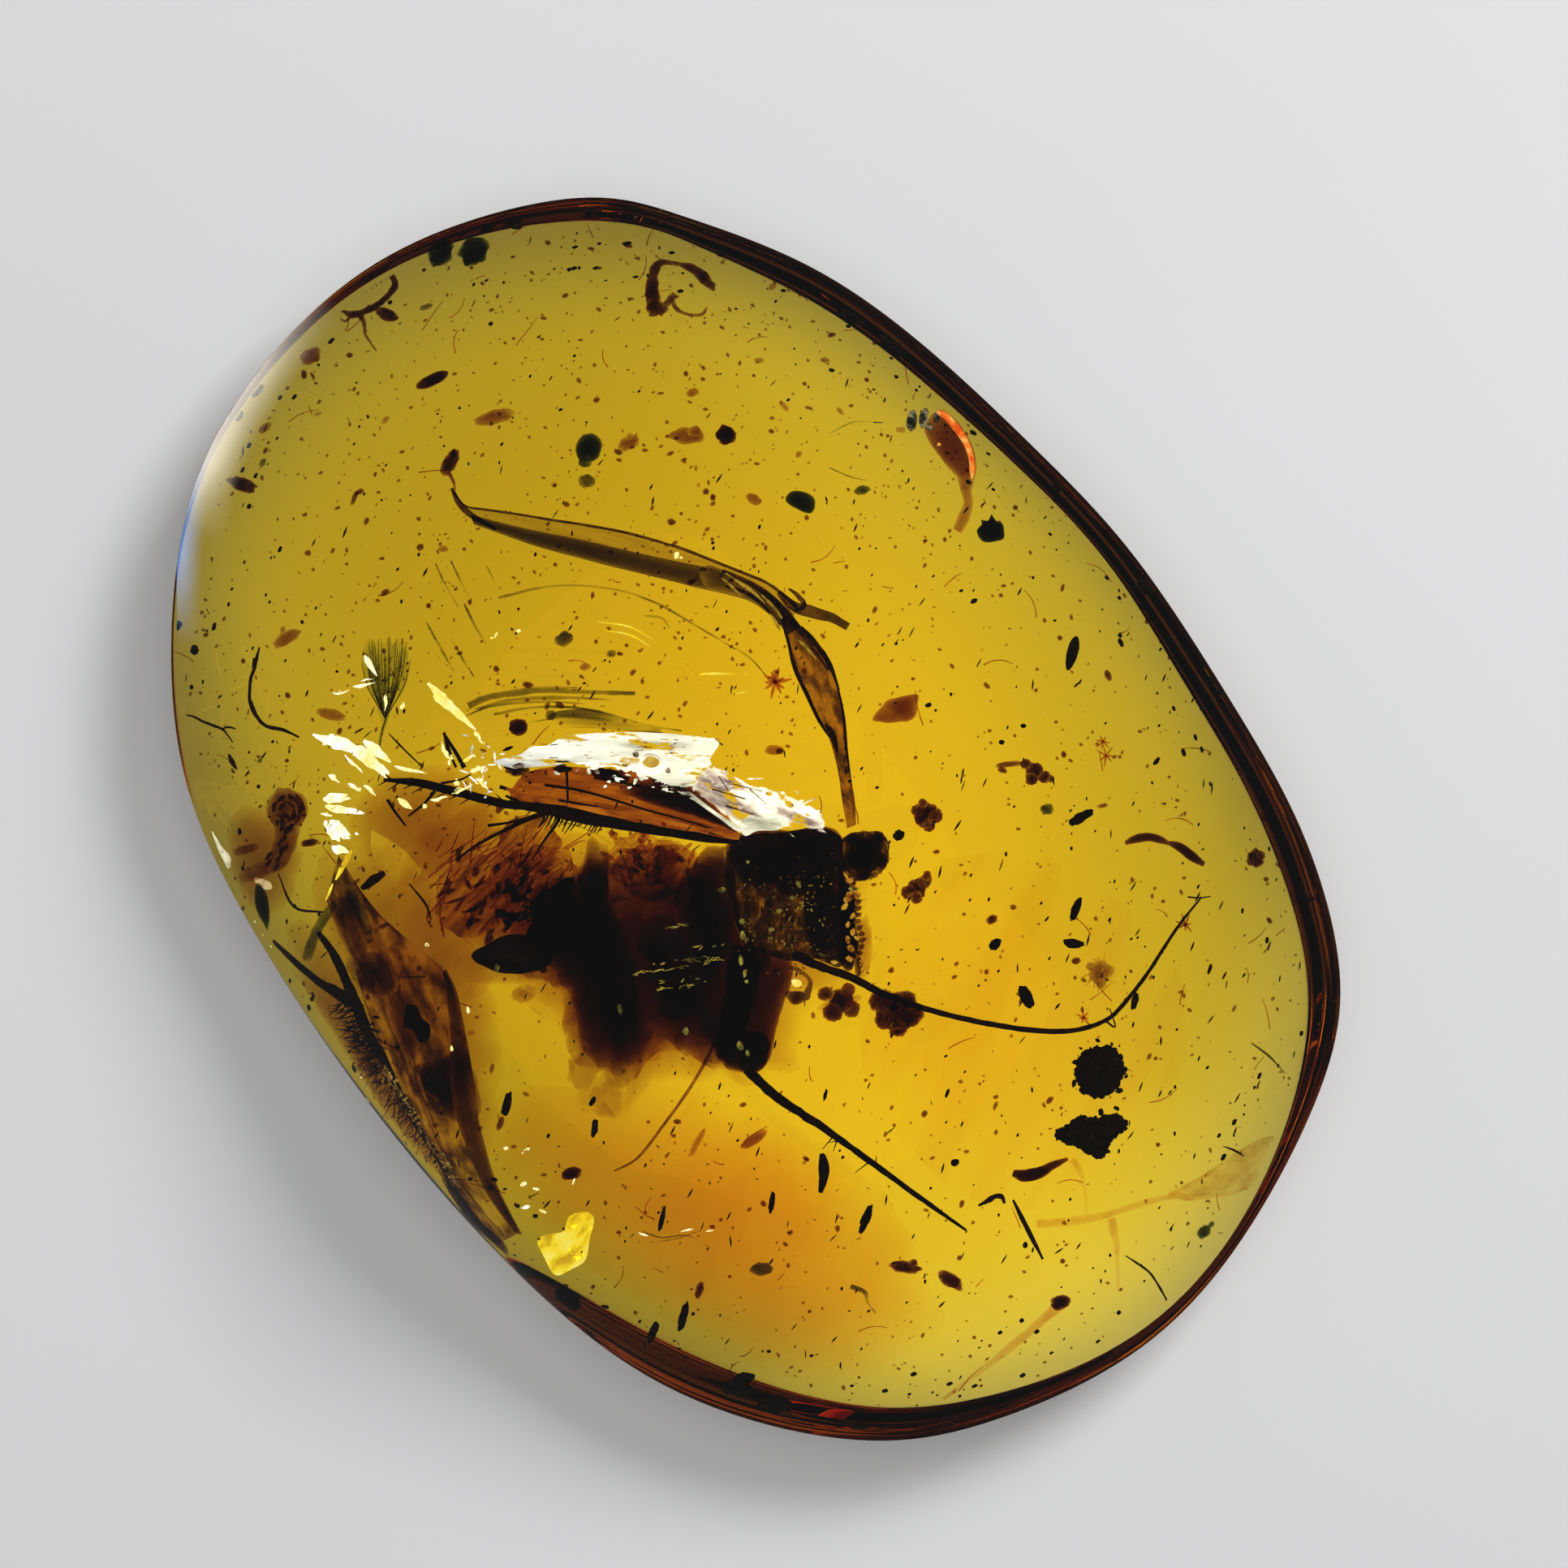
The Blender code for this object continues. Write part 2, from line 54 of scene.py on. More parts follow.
# The stone's outline, clockwise from its blunt upper end.
OUTLINE = (
    (-5.3, 19.8), (-1.9, 19.2), (2.1, 17.6), (5.9, 14.9), (9.3, 11.7), (12.4, 8.3), (15.4, 3.8),
    (17.6, -0.2), (18.8, -4.3), (18.4, -8.1), (16.1, -12.8), (12.6, -16.7), (7.9, -19.0), (3.4, -19.6),
    (-2.1, -18.1), (-7.0, -14.5), (-12.0, -8.8), (-16.2, -2.4), (-18.0, 2.5), (-18.1, 7.5),
    (-16.9, 12.0), (-13.9, 16.0), (-10.0, 18.6),
)
# Direction in degrees, then widest line's height, dome fullness, upper edge's softness, share of flat base,
# and how the underside rises to the widest line: 2 as a quarter ellipse, nearer 1 as a straight bevel.
SIDES = (
    (0, 3.6, 2.5, 1.0, 0.84, 1.4),
    (50, 3.9, 2.3, 1.0, 0.87, 1.4),
    (86, 3.2, 2.5, 1.0, 0.83, 1.4),
    (112, 3.6, 2.9, 1.0, 0.94, 1.5),
    (130, 3.8, 3.0, 1.0, 0.95, 1.6),
    (155, 3.8, 2.9, 1.0, 0.95, 1.8),
    (192, 3.4, 2.6, 1.0, 0.90, 2.0),
    (222, 4.0, 5.0, 0.46, 0.84, 2.0),
    (262, 3.6, 2.6, 1.0, 0.80, 1.3),
    (288, 3.3, 2.7, 1.0, 0.92, 1.4),
    (315, 2.6, 2.7, 1.0, 0.965, 1.6),
)
SIDE_BLEND = 9.0

# The painted glowing patch of the floor, in place of light from behind the stone: its reach in shares of the
# stone's half sizes, its brightness at its brightest place and 26 mm from there, and the floor's own beyond
# it.
STONE_HALF_WIDTH = 14.9
STONE_HALF_LENGTH = 21.0
PATCH_EDGE = (0.72, 1.05)
PATCH_GLOW = 1.09
PATCH_FALLS_TO = 0.56
PATCH_FALL = (4, 26)
BRIGHTEST = (6.5, -3.5)
FLOOR_GLOW = 0.12
# Its painted glow dims towards these sides, a painted shade: the side in degrees, the two distances from the
# middle in millimetres that it dims between, and to what share.
DIMMED_SIDES = ((222, 6, 14, 0.5), (20, 4, 14, 0.58))
# The brighter crescent of painted glow within it: its side in degrees, how far out it lies that way in
# millimetres, and its inner and outer edges in shares of the stone's half sizes.
CRESCENT_SIDE = 314
CRESCENT_OUT = (10, 16)
CRESCENT_INNER = (0.72, 0.88)
CRESCENT_OUTER = (0.93, 1.02)
CRESCENT_GLOW = 0.19

WHITE = (1.0, 1.0, 1.0)
CLEAR = (0.58, WHITE)  # where a steeped thing's blotches end
RELIEF = 0.03  # of a sealed thing's own surface

# Sealed things keep this far under the stone's faces, and this far out at most.
SKIN = 0.12
DEEPEST_SHARE = 0.965
SPECK_REACH = 0.93
BRISTLE_REACH = 0.93
HAIR_REACH = 0.94

# The camera looks straight down on this point of the plan, and its picture is this wide there.
VIEW_CENTRE = (1.21, 1.21)
PICTURE_WIDTH = 49.65
CAMERA_DISTANCE = 190.0
SENSOR_WIDTH = 36.0
WIDEST_LINE = 3.5

# The stage: the floor's distance under the stone in millimetres, its half width in metres, and the lights
# in watts.
FLOOR_GAP = 0.03
FLOOR_REACH = 2.0
ROOM_COLOUR = (0.95, 0.97, 1.0)
ROOM_LIGHT = 0.12
WINDOW_POWER = 0.54208
BLUE_WINDOW_POWER = 0.10164
OVERHEAD_POWER = 0.29
KEY_POWER = 0.68

# Heights in the plan's millimetres of what isn't at the parting.
FORK_HEIGHT = 3.9
STREAK_HEIGHT = 6.0
SHADE_HEIGHT = 6.2
GLINT_HEIGHT = 7.4
FLAW_HEIGHT = 9.0


# ---------------------------------------------------------------- curves


def closed_spline(points, per_span):
    """Points along the closed curve of continuous curvature that passes through the given ones."""
    knots = np.array(points, float)
    count = len(knots)
    matrix = 4 * np.eye(count) + np.roll(np.eye(count), 1, 0) + np.roll(np.eye(count), -1, 0)
    slopes = np.linalg.solve(matrix, 3 * (np.roll(knots, -1, 0) - np.roll(knots, 1, 0)))
    found = []
    for i in range(count):
        after = (i + 1) % count
        for t in np.arange(per_span) / per_span:
            found.append(
                knots[i] * (2 * t**3 - 3 * t**2 + 1)
                + slopes[i] * (t**3 - 2 * t**2 + t)
                + knots[after] * (3 * t**2 - 2 * t**3)
                + slopes[after] * (t**3 - t**2)
            )
    return [Vector(point) for point in found]


def smooth_rows(rows, per_span):
    """Rows of numbers resampled along a smooth open curve through them, per_span to each gap."""
    knots = np.array(rows, float)
    slopes = np.gradient(knots, axis=0)
    found = []
    for i in range(len(knots) - 1):
        for t in np.arange(per_span) / per_span:
            found.append(
                knots[i] * (2 * t**3 - 3 * t**2 + 1)
                + slopes[i] * (t**3 - 2 * t**2 + t)
                + knots[i + 1] * (3 * t**2 - 2 * t**3)
                + slopes[i + 1] * (t**3 - t**2)
            )
    return np.array(found + [knots[-1]])


def side_at(direction):
    """The worked side's five values at a direction, blended smoothly between the listed ones."""
    weights = [math.exp(SIDE_BLEND * math.cos(direction - math.radians(row[0]))) for row in SIDES]
    return [
        sum(weight * row[i] for weight, row in zip(weights, SIDES)) / sum(weights) for i in range(1, 6)
    ]


def to_row():
    """The matrix from the plan's millimetres to the frame's metres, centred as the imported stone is."""
    turn = Matrix.Rotation(-LEAN, 4, "Z")
    turned = [turn @ point.to_3d() for point in closed_spline(OUTLINE, 3)]
    middle = [(min(p[i] for p in turned) + max(p[i] for p in turned)) / 2 for i in (0, 1)]
    return Matrix.Translation((-middle[0] * MM, -middle[1] * MM, 0)) @ Matrix.Scale(MM, 4) @ turn


TO_ROW = to_row()
# How far the outline reaches in each direction, and the worked side's values there, in even steps round.
STEPS_ROUND = 1440
RIM_POINTS = sorted((math.atan2(point.y, point.x), point.length) for point in closed_spline(OUTLINE, 12))
DIRECTIONS = [2 * math.pi * i / STEPS_ROUND for i in range(STEPS_ROUND)]
REACHES = [float(r) for r in np.interp(DIRECTIONS, *zip(*RIM_POINTS), period=2 * math.pi)]
ROUND_SIDES = [side_at(direction) for direction in DIRECTIONS]


def step_at(x, y):
    return round(math.atan2(y, x) / (2 * math.pi) * STEPS_ROUND) % STEPS_ROUND


def share_at(x, y):
    """How far out a point of the plan lies, from 0 at the middle to 1 at the stone's outline."""
    return math.hypot(x, y) / REACHES[step_at(x, y)]


def stone_heights(x, y):
    """The heights of the stone's underside and top over a point of the plan."""
    share = min(share_at(x, y), 0.999)
    waist, fullness, softness, flat, rise = ROUND_SIDES[step_at(x, y)]
    along = max(0.0, (share - flat) / (1 - flat))
    bottom = waist * (1 - (1 - along**rise) ** (1 / rise))
    return bottom, waist + (THICKNESS - waist) * (1 - share**fullness) ** softness


def jitter(place, grain, seed=0):
    """Smooth noise from -1 to 1 at a place in millimetres, with features about 1 / grain mm across."""
    return noise.noise(Vector(place) * grain + Vector((seed * 7.3, seed * 3.1, seed * 1.7)))


def ragged(place, grain, seed=0):
    """Rougher noise, with finer features on the coarse ones."""
    return jitter(place, grain, seed) + 0.5 * jitter(place, 2.3 * grain, seed + 5)


def heading(turn):
    """The plan's direction at an angle in radians."""
    return Vector((math.cos(turn), math.sin(turn)))


def astray(draw, wide, tall):
    """A random step on the plan, with the given standard deviations."""
    return Vector((draw.gauss(0, wide), draw.gauss(0, tall)))


# ---------------------------------------------------------------- shapes in plan millimetres


def bridge(mesh, ring, following):
    """Quads from one ring of vertices to the next, or a fan where either is a single vertex."""
    count = max(len(ring), len(following))
    for i in range(count):
        j = (i + 1) % count
        corners = [ring[i % len(ring)], ring[j % len(ring)]]
        corners += [following[j % len(following)], following[i % len(following)]]
        mesh.faces.new(dict.fromkeys(corners))


def at_height(place, z):
    """A place with the height z, unless it has its own."""
    return (*place, z)[:3]


def limb(mesh, path, widths, heights=None, z=PARTING, sides=8, per_span=4, rough=0.0, grain=2.0, seed=0):
    """A closed tube along a path of (x, y) or (x, y, z), with its half widths and half heights.

    Two widths stand for an even run between them. The heights, where given, are as many as the points.
    """
    widths = np.linspace(*widths, len(path)) if len(widths) == 2 else widths
    heights = widths if heights is None else heights
    rows = [(*at_height(p, z), w, h) for p, w, h in zip(path, widths, heights)]
    rows = smooth_rows(rows, per_span)
    middles = [Vector(row[:3]) for row in rows]
    rings = [[mesh.verts.new(middles[0])]]
    for i, (middle, row) in enumerate(zip(middles, rows)):
        ahead = (middles[min(i + 1, len(rows) - 1)] - middles[max(i - 1, 0)]).normalized()
        across = ahead.cross(Vector((0, 0, 1))).normalized()
        up = across.cross(ahead)
        ring = []
        for k in range(sides):
            turn = 2 * math.pi * k / sides
            out = across * row[3] * math.cos(turn) + up * row[4] * math.sin(turn)
            swell = 1 + rough * ragged(middle + out, grain, seed)
            ring.append(mesh.verts.new(middle + out * swell))
        rings.append(ring)
    rings.append([mesh.verts.new(middles[-1])])
    for ring, following in zip(rings, rings[1:]):
        bridge(mesh, ring, following)


def bristle(mesh, start, end, widths, **shape):
    """A straight thin limb between two places."""
    limb(mesh, (start, (start + end) / 2, end), widths, **shape)


def lump(mesh, place, sizes, turn=0.0, tip=0.0, rough=0.25, grain=1.5, detail=2, seed=0):
    """An uneven lump of the given half sizes, turned in the plan and tipped about its width, in degrees."""
    made = bmesh.ops.create_icosphere(mesh, subdivisions=detail, radius=1)["verts"]
    stance = Matrix.Translation(place) @ Matrix.Rotation(math.radians(turn), 4, "Z")
    stance = stance @ Matrix.Rotation(math.radians(tip), 4, "Y")
    size = max(sizes)
    for vert in made:
        swell = 1 + rough * ragged(vert.co * size, grain / size, seed)
        vert.co = stance @ Vector([c * s * swell for c, s in zip(vert.co, sizes)])


def pad(mesh, outline, z, thick, middle=None, rings=6, per_span=4, rough=0.0, grain=2.0, edge=0.5, seed=0):
    """A pillow inside a closed outline, thick above and below its middle. A small edge makes it flat."""
    rim = closed_spline(outline, per_span)
    heart = Vector(middle) if middle else sum(rim, Vector((0, 0))) / len(rim)
    above, below = [], []
    for step in range(rings):
        share = math.cos(math.pi / 2 * step / rings)
        lift = thick * (1 - share**2) ** edge
        up, down = [], []
        for point in rim:
            place = heart + (point - heart) * share
            swell = 1 + rough * ragged((*point, 0), grain, seed) * share
            place = heart + (place - heart) * swell
            uneven = 1 + 2 * rough * ragged((*place, 3), grain, seed)
            up.append(mesh.verts.new((*place, z + lift * uneven)))
            if step:
                down.append(mesh.verts.new((*place, z - lift * uneven)))
        above.append(up)
        below.append(down if step else up)
    above.append([mesh.verts.new((*heart, z + thick))])
    below.append([mesh.verts.new((*heart, z - thick))])
    for ring, following in zip(above, above[1:]):
        bridge(mesh, ring, following)
    for ring, following in zip(below, below[1:]):
        bridge(mesh, ring, following)


def sheet(
    mesh, first, second, thick, z=PARTING, lanes=10, per_span=4, sag=0.0, wrinkle=0.0, grain=1.0, seed=0
):
    """A thin closed sheet between two edge lines of as many points, bowed down by sag and wrinkled."""
    edges = [smooth_rows([at_height(p, z) for p in edge], per_span) for edge in (first, second)]
    top, bottom = [], []
    for a, b in zip(*edges):
        up, down = [], []
        for lane in range(lanes + 1):
            across = lane / lanes
            place = Vector(a) * (1 - across) + Vector(b) * across
            place.z -= sag * math.sin(math.pi * across)
            place.z += wrinkle * ragged(place, grain, seed)
            half = thick / 2 * (0.35 + 0.65 * math.sin(math.pi * across))
            up.append(mesh.verts.new(place + Vector((0, 0, half))))
            down.append(mesh.verts.new(place - Vector((0, 0, half))))
        top.append(up)
        bottom.append(down)
    for i in range(len(top) - 1):
        for j in range(lanes):
            mesh.faces.new((top[i][j], top[i + 1][j], top[i + 1][j + 1], top[i][j + 1]))
            mesh.faces.new((bottom[i][j], bottom[i][j + 1], bottom[i + 1][j + 1], bottom[i + 1][j]))
        for j in (0, lanes):
            mesh.faces.new((top[i][j], bottom[i][j], bottom[i + 1][j], top[i + 1][j]))
    for i in (0, len(top) - 1):
        for j in range(lanes):
            mesh.faces.new((top[i][j], top[i][j + 1], bottom[i][j + 1], bottom[i][j]))


def keep_inside(point):
    """The nearest place inside the stone, a little under its faces, to a point in plan millimetres."""
    x, y, z = point
    share = share_at(x, y)
    if share > DEEPEST_SHARE:
        x, y = x * DEEPEST_SHARE / share, y * DEEPEST_SHARE / share
    low, high = stone_heights(x, y)
    return Vector((x, y, min(max(z, low + SKIN), max(high - SKIN, low + SKIN))))


def face_outwards(mesh):
    """Turns each closed shell of a mesh so that its faces look out of what it encloses."""
    bmesh.ops.recalc_face_normals(mesh, faces=mesh.faces)
    left = set(mesh.faces)
    while left:
        shell, front = [], [left.pop()]
        while front:
            face = front.pop()
            shell.append(face)
            for edge in face.edges:
                beside = [other for other in edge.link_faces if other in left]
                left.difference_update(beside)
                front.extend(beside)
        volume, origin = 0.0, shell[0].verts[0].co
        for face in shell:
            first, *rest = [vert.co - origin for vert in face.verts]
            volume += sum(first.dot(one.cross(other)) for one, other in zip(rest, rest[1:]))
        if volume < 0:
            bmesh.ops.reverse_faces(mesh, faces=shell)


def add_piece(mesh, name, material, node_names=(), smooth=60, inside=True):
    """A bmesh in plan millimetres as a piece of the object, which may stand for CAD nodes."""
    if inside:
        for vert in mesh.verts:
            vert.co = keep_inside(vert.co)
    face_outwards(mesh)
    bmesh.ops.transform(mesh, matrix=TO_ROW, verts=mesh.verts)
    data = bpy.data.meshes.new(name)
    mesh.to_mesh(data)
    mesh.free()
    data.shade_smooth()
    data.set_sharp_from_angle(angle=math.radians(smooth))
    data.materials.append(material)
    made = bpy.data.objects.new(name, data)
    bpy.context.scene.collection.objects.link(made)
    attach(made, "root")
    if node_names:
        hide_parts(*node_names)
    return made


def insect_piece(mesh, name, material):
    return add_piece(mesh, name, material, ("insect",))


# ---------------------------------------------------------------- materials


def new_material(name):
    made = bpy.data.materials.new(name)
    made.use_nodes = True
    return made, made.node_tree, made.node_tree.nodes["Principled BSDF"]


def noise_of(tree, per_mm, detail=3.0, lean=None, stretch=1.0, roughness=0.55):
    """A noise with per_mm features to the millimetre, drawn out along a direction of the plan if given."""
    made = tree.nodes.new("ShaderNodeTexNoise")
    made.inputs["Scale"].default_value = per_mm / MM
    made.inputs["Detail"].default_value = detail
    made.inputs["Roughness"].default_value = roughness
    where = object_place(tree)
    if lean is not None:
        # A Texture mapping turns the drawn-out direction onto X and then shrinks X.
        turn = tree.nodes.new("ShaderNodeMapping")
        turn.vector_type = "POINT"
        turn.inputs["Rotation"].default_value = (0, 0, LEAN - math.radians(lean))
        tree.links.new(where, turn.inputs["Vector"])
        squeeze = tree.nodes.new("ShaderNodeMapping")
        squeeze.inputs["Scale"].default_value = (1 / stretch, 1, 1)
        tree.links.new(turn.outputs["Vector"], squeeze.inputs["Vector"])
        where = squeeze.outputs["Vector"]
    tree.links.new(where, made.inputs["Vector"])
    return made.outputs["Fac"]


def ramp(tree, value, stops):
    """A colour ramp through (position, colour) stops, read at a value."""
    made = tree.nodes.new("ShaderNodeValToRGB")
    elements = made.color_ramp.elements
    for element, (position, colour) in zip(elements, stops):
        element.position, element.color = position, (*colour, 1)
    for position, colour in stops[2:]:
        elements.new(position).color = (*colour, 1)
    tree.links.new(value, made.inputs["Fac"])
    return made.outputs["Color"]


def spread(tree, value, low, high, start=0.3, end=0.7, easing="LINEAR"):
    """A value brought from low at start to high at end."""
    made = tree.nodes.new("ShaderNodeMapRange")
    made.interpolation_type = easing
    made.inputs["From Min"].default_value, made.inputs["From Max"].default_value = start, end
    made.inputs["To Min"].default_value, made.inputs["To Max"].default_value = low, high
    tree.links.new(value, made.inputs["Value"])
    return made.outputs["Result"]


def eased(tree, value, ends, low=0.0, high=1.0):
    return spread(tree, value, low, high, *ends, easing="SMOOTHSTEP")


def maths(tree, operation, first, second):
    """The sum or product of two values."""
    made = tree.nodes.new("ShaderNodeMath")
    made.operation = operation
    tree.links.new(first, made.inputs[0])
    tree.links.new(second, made.inputs[1])
    return made.outputs["Value"]


def measure(tree, operation, vector, other=(0, 0, 0)):
    """A vector's length, or its distance from or dot product with another."""
    made = tree.nodes.new("ShaderNodeVectorMath")
    made.operation = operation
    tree.links.new(vector, made.inputs[0])
    made.inputs[1].default_value = other
    return made.outputs["Value"]


def object_place(tree):
    return tree.nodes.new("ShaderNodeTexCoord").outputs["Object"]


def soak(tree, colour, strength):
    """Has a material take out light: colour is what passes, and strength how fast, in each millimetre."""
    absorb = tree.nodes.new("ShaderNodeVolumeAbsorption")
    absorb.inputs["Color"].default_value = (*colour, 1)
    absorb.inputs["Density"].default_value = strength / MM
    tree.links.new(absorb.outputs["Volume"], tree.nodes["Material Output"].inputs["Volume"])


def raise_bump(tree, shader, value, depth):
    """Relief from a value, depth millimetres high."""
    made = tree.nodes.new("ShaderNodeBump")
    made.inputs["Distance"].default_value = depth * MM
    made.inputs["Strength"].default_value = 1.0
    tree.links.new(value, made.inputs["Height"])
    tree.links.new(made.outputs["Normal"], shader.inputs["Normal"])


def sealed(name, stops, per_mm=2.0, clear=0.0, lean=None, stretch=1.0, gloss=(0.35, 0.7), glow=0.0):
    """A thing sealed in the amber: its colours through noise, and how far light passes through it.

    The index of refraction is close to 1, because what it meets is amber and not air."""
    made, tree, shader = new_material(name)
    coarse = noise_of(tree, per_mm, lean=lean, stretch=stretch)
    colour = ramp(tree, coarse, stops)
    tree.links.new(colour, shader.inputs["Base Color"])
    shader.inputs["IOR"].default_value = 1.0 if clear else 1.12
    shader.inputs["Transmission Weight"].default_value = clear
    if clear:
        shader.inputs["Roughness"].default_value = 0.0
    else:
        fine = noise_of(tree, 4 * per_mm, lean=lean, stretch=stretch)
        tree.links.new(spread(tree, fine, *gloss), shader.inputs["Roughness"])
        raise_bump(tree, shader, fine, RELIEF)
    # glow paints light into the thing's colour: a painted glow that no lamp gives.
    if glow:
        tree.links.new(colour, shader.inputs["Emission Color"])
        shader.inputs["Emission Strength"].default_value = glow
    return made


BLOTCHES = ((0.36, (0.75, 0.62, 0.5)), CLEAR)


def steeped(name, body, strength, stops=BLOTCHES, per_mm=1.5, lean=None, stretch=1.0):
    """Matter soaked through with resin, which darkens with its thickness and so is soft towards its edges.

    body is the colour that passes, and strength how fast the rest is taken out in each millimetre."""
    made, tree, shader = new_material(name)
    tint = noise_of(tree, per_mm, lean=lean, stretch=stretch)
    tree.links.new(ramp(tree, tint, stops), shader.inputs["Base Color"])
    shader.inputs["Roughness"].default_value = 0.0
    shader.inputs["IOR"].default_value = 1.0
    shader.inputs["Transmission Weight"].default_value = 1.0
    soak(tree, body, strength)
    return made


def flaw(name, stops, per_mm, lean, stretch, glow, open_from, open_to):
    """A film whose shine is a painted glow, open where a finer noise is under open_from and whole where it
    is over open_to.
    """
    made = sealed(name, stops, per_mm, lean=lean, stretch=stretch, gloss=(0.15, 0.4), glow=glow)
    tree, shader = made.node_tree, made.node_tree.nodes["Principled BSDF"]
    breaks = noise_of(tree, 1.6 * per_mm, detail=6.0, lean=lean, stretch=0.6 * stretch, roughness=0.62)
    tree.links.new(spread(tree, breaks, 0.0, 1.0, open_from, open_to), shader.inputs["Alpha"])
    return made


def amber_material():
    """Clear fossil resin. It takes out nearly all the blue, some green and little red."""
    made, tree, shader = new_material("amber")
    shader.inputs["Base Color"].default_value = (1, 1, 1, 1)
    shader.inputs["Roughness"].default_value = 0.0
    shader.inputs["IOR"].default_value = 1.54
    shader.inputs["Transmission Weight"].default_value = 1.0
    # The polished face keeps a faint unevenness.
    raise_bump(tree, shader, noise_of(tree, 0.25, detail=2.0, roughness=0.4), 0.02)
    soak(tree, (0.940, 0.845, 0.0), 0.5)
    return made


def plan_side(side):
    """The frame's direction that is at side degrees on the plan."""
    turn = math.radians(side) - LEAN
    return math.cos(turn), math.sin(turn), 0


def blend(tree, factor, first, second):
    """A colour that goes from first to second. The first may be another node's."""
    # Its colours are the inputs 6 and 7 and the output 2.
    made = tree.nodes.new("ShaderNodeMix")
    made.data_type = "RGBA"
    tree.links.new(factor, made.inputs["Factor"])
    if isinstance(first, tuple):
        made.inputs[6].default_value = (*first, 1)
    else:
        tree.links.new(first, made.inputs[6])
    made.inputs[7].default_value = (*second, 1)
    return made.outputs[2]


def floor_material():
    """A pale floor with a painted glow in a patch a little smaller than the stone that lies on it, in place
    of light from behind.
    """
    made, tree, shader = new_material("pale_floor_painted_glow")
    grain = noise_of(tree, 0.02, detail=2.0)
    pale = ramp(tree, grain, ((0.3, (0.62, 0.63, 0.64)), (0.7, (0.66, 0.66, 0.66))))
    shader.inputs["Roughness"].default_value = 0.6
    shader.inputs["Specular IOR Level"].default_value = 0.0
    place = object_place(tree)
    shape = tree.nodes.new("ShaderNodeMapping")
    shape.inputs["Scale"].default_value = (1 / (STONE_HALF_WIDTH * MM), 1 / (STONE_HALF_LENGTH * MM), 0)
    tree.links.new(place, shape.inputs["Vector"])
    out = measure(tree, "LENGTH", shape.outputs["Vector"])
    patch = eased(tree, out, PATCH_EDGE, 1.0, 0.0)
    # Where it glows it gives back no other light.
    tree.links.new(blend(tree, patch, pale, (0, 0, 0)), shader.inputs["Base Color"])
    # The glow is painted yellow there, in place of light that comes back through the amber.
    tree.links.new(blend(tree, patch, (0.99, 1.0, 1.0), (1.0, 0.93, 0.55)), shader.inputs["Emission Color"])
    # The painted glow is brightest under the middle right of the stone.
    away = measure(tree, "DISTANCE", place, TO_ROW @ Vector((*BRIGHTEST, 0)))
    glow = eased(tree, away, [end * MM for end in PATCH_FALL], PATCH_GLOW, PATCH_FALLS_TO)
    # Painted shade: the glow dims towards the listed sides.
    for side, start, end, share in DIMMED_SIDES:
        across = measure(tree, "DOT_PRODUCT", place, plan_side(side))
        glow = maths(tree, "MULTIPLY", glow, eased(tree, across, (start * MM, end * MM), 1.0, share))
    mixed = tree.nodes.new("ShaderNodeMix")
    mixed.inputs["A"].default_value = FLOOR_GLOW
    tree.links.new(patch, mixed.inputs["Factor"])
    tree.links.new(glow, mixed.inputs["B"])
    # A crescent of painted glow is brighter again, just inside the stone's lower right edge.
    ring = maths(
        tree, "MULTIPLY", eased(tree, out, CRESCENT_INNER), eased(tree, out, CRESCENT_OUTER, 1.0, 0.0)
    )
    across = measure(tree, "DOT_PRODUCT", place, plan_side(CRESCENT_SIDE))
    lit_side = eased(tree, across, [end * MM for end in CRESCENT_OUT], 0.0, CRESCENT_GLOW)
    crescent = maths(tree, "MULTIPLY", ring, lit_side)
    total = maths(tree, "ADD", mixed.outputs["Result"], crescent)
    tree.links.new(total, shader.inputs["Emission Strength"])
    return made


BLACK = sealed("black_cuticle", (
    (0.3, (0.006, 0.003, 0.003)), (0.6, (0.016, 0.006, 0.005)), (0.75, (0.05, 0.016, 0.01))
), 2.5)
DARK_BROWN = sealed("dark_brown_cuticle", (
    (0.3, (0.012, 0.005, 0.004)), (0.6, (0.05, 0.018, 0.01)), (0.75, (0.12, 0.04, 0.015))
), 3.0)
RED_SHELL = sealed("red_brown_film", (
    (0.36, (0.30, 0.13, 0.06)), (0.46, (0.62, 0.36, 0.18)), (0.56, (0.93, 0.80, 0.62)),
    (0.68, (0.60, 0.36, 0.18)),
), 2.2, clear=1.0, lean=52, stretch=4)
DEEP_RED = steeped(
    "deep_red_cuticle", (0.36, 0.05, 0.01), 3.8, ((0.36, (0.6, 0.42, 0.3)), CLEAR), 1.4, 75, 3
)
THIGH_FILM = sealed("thigh_film", (
    (0.32, (0.12, 0.03, 0.012)), (0.46, (0.30, 0.085, 0.03)), (0.56, (0.62, 0.26, 0.09)),
    (0.68, (0.22, 0.06, 0.02)),
), 2.6, clear=1.0, lean=-10, stretch=7)
FIBRE_RED = sealed("red_fibre", ((0.35, (0.36, 0.11, 0.03)), (0.65, (0.70, 0.34, 0.12))), 2.0, clear=1.0)
MOTTLED = sealed("mottled_head", (
    (0.42, (0.012, 0.008, 0.005)), (0.52, (0.06, 0.035, 0.015)), (0.60, (0.24, 0.15, 0.06)),
    (0.68, (0.55, 0.46, 0.24)),
), 3.4, clear=1.0, lean=82, stretch=2.2)
# Painted shade round the insect's body.
BODY_PAINTED_SHADE = steeped(
    "body_painted_shade", (0.50, 0.20, 0.05), 0.72, ((0.38, (0.93, 0.87, 0.80)), (0.54, WHITE)), 1.0, 60, 2.0
)
LEAF_LIGHT = sealed("leaf_light", (
    (0.3, (0.50, 0.42, 0.32)), (0.5, (0.70, 0.62, 0.50)), (0.7, (0.88, 0.82, 0.70))
), 1.6, clear=1.0, lean=-17, stretch=8)
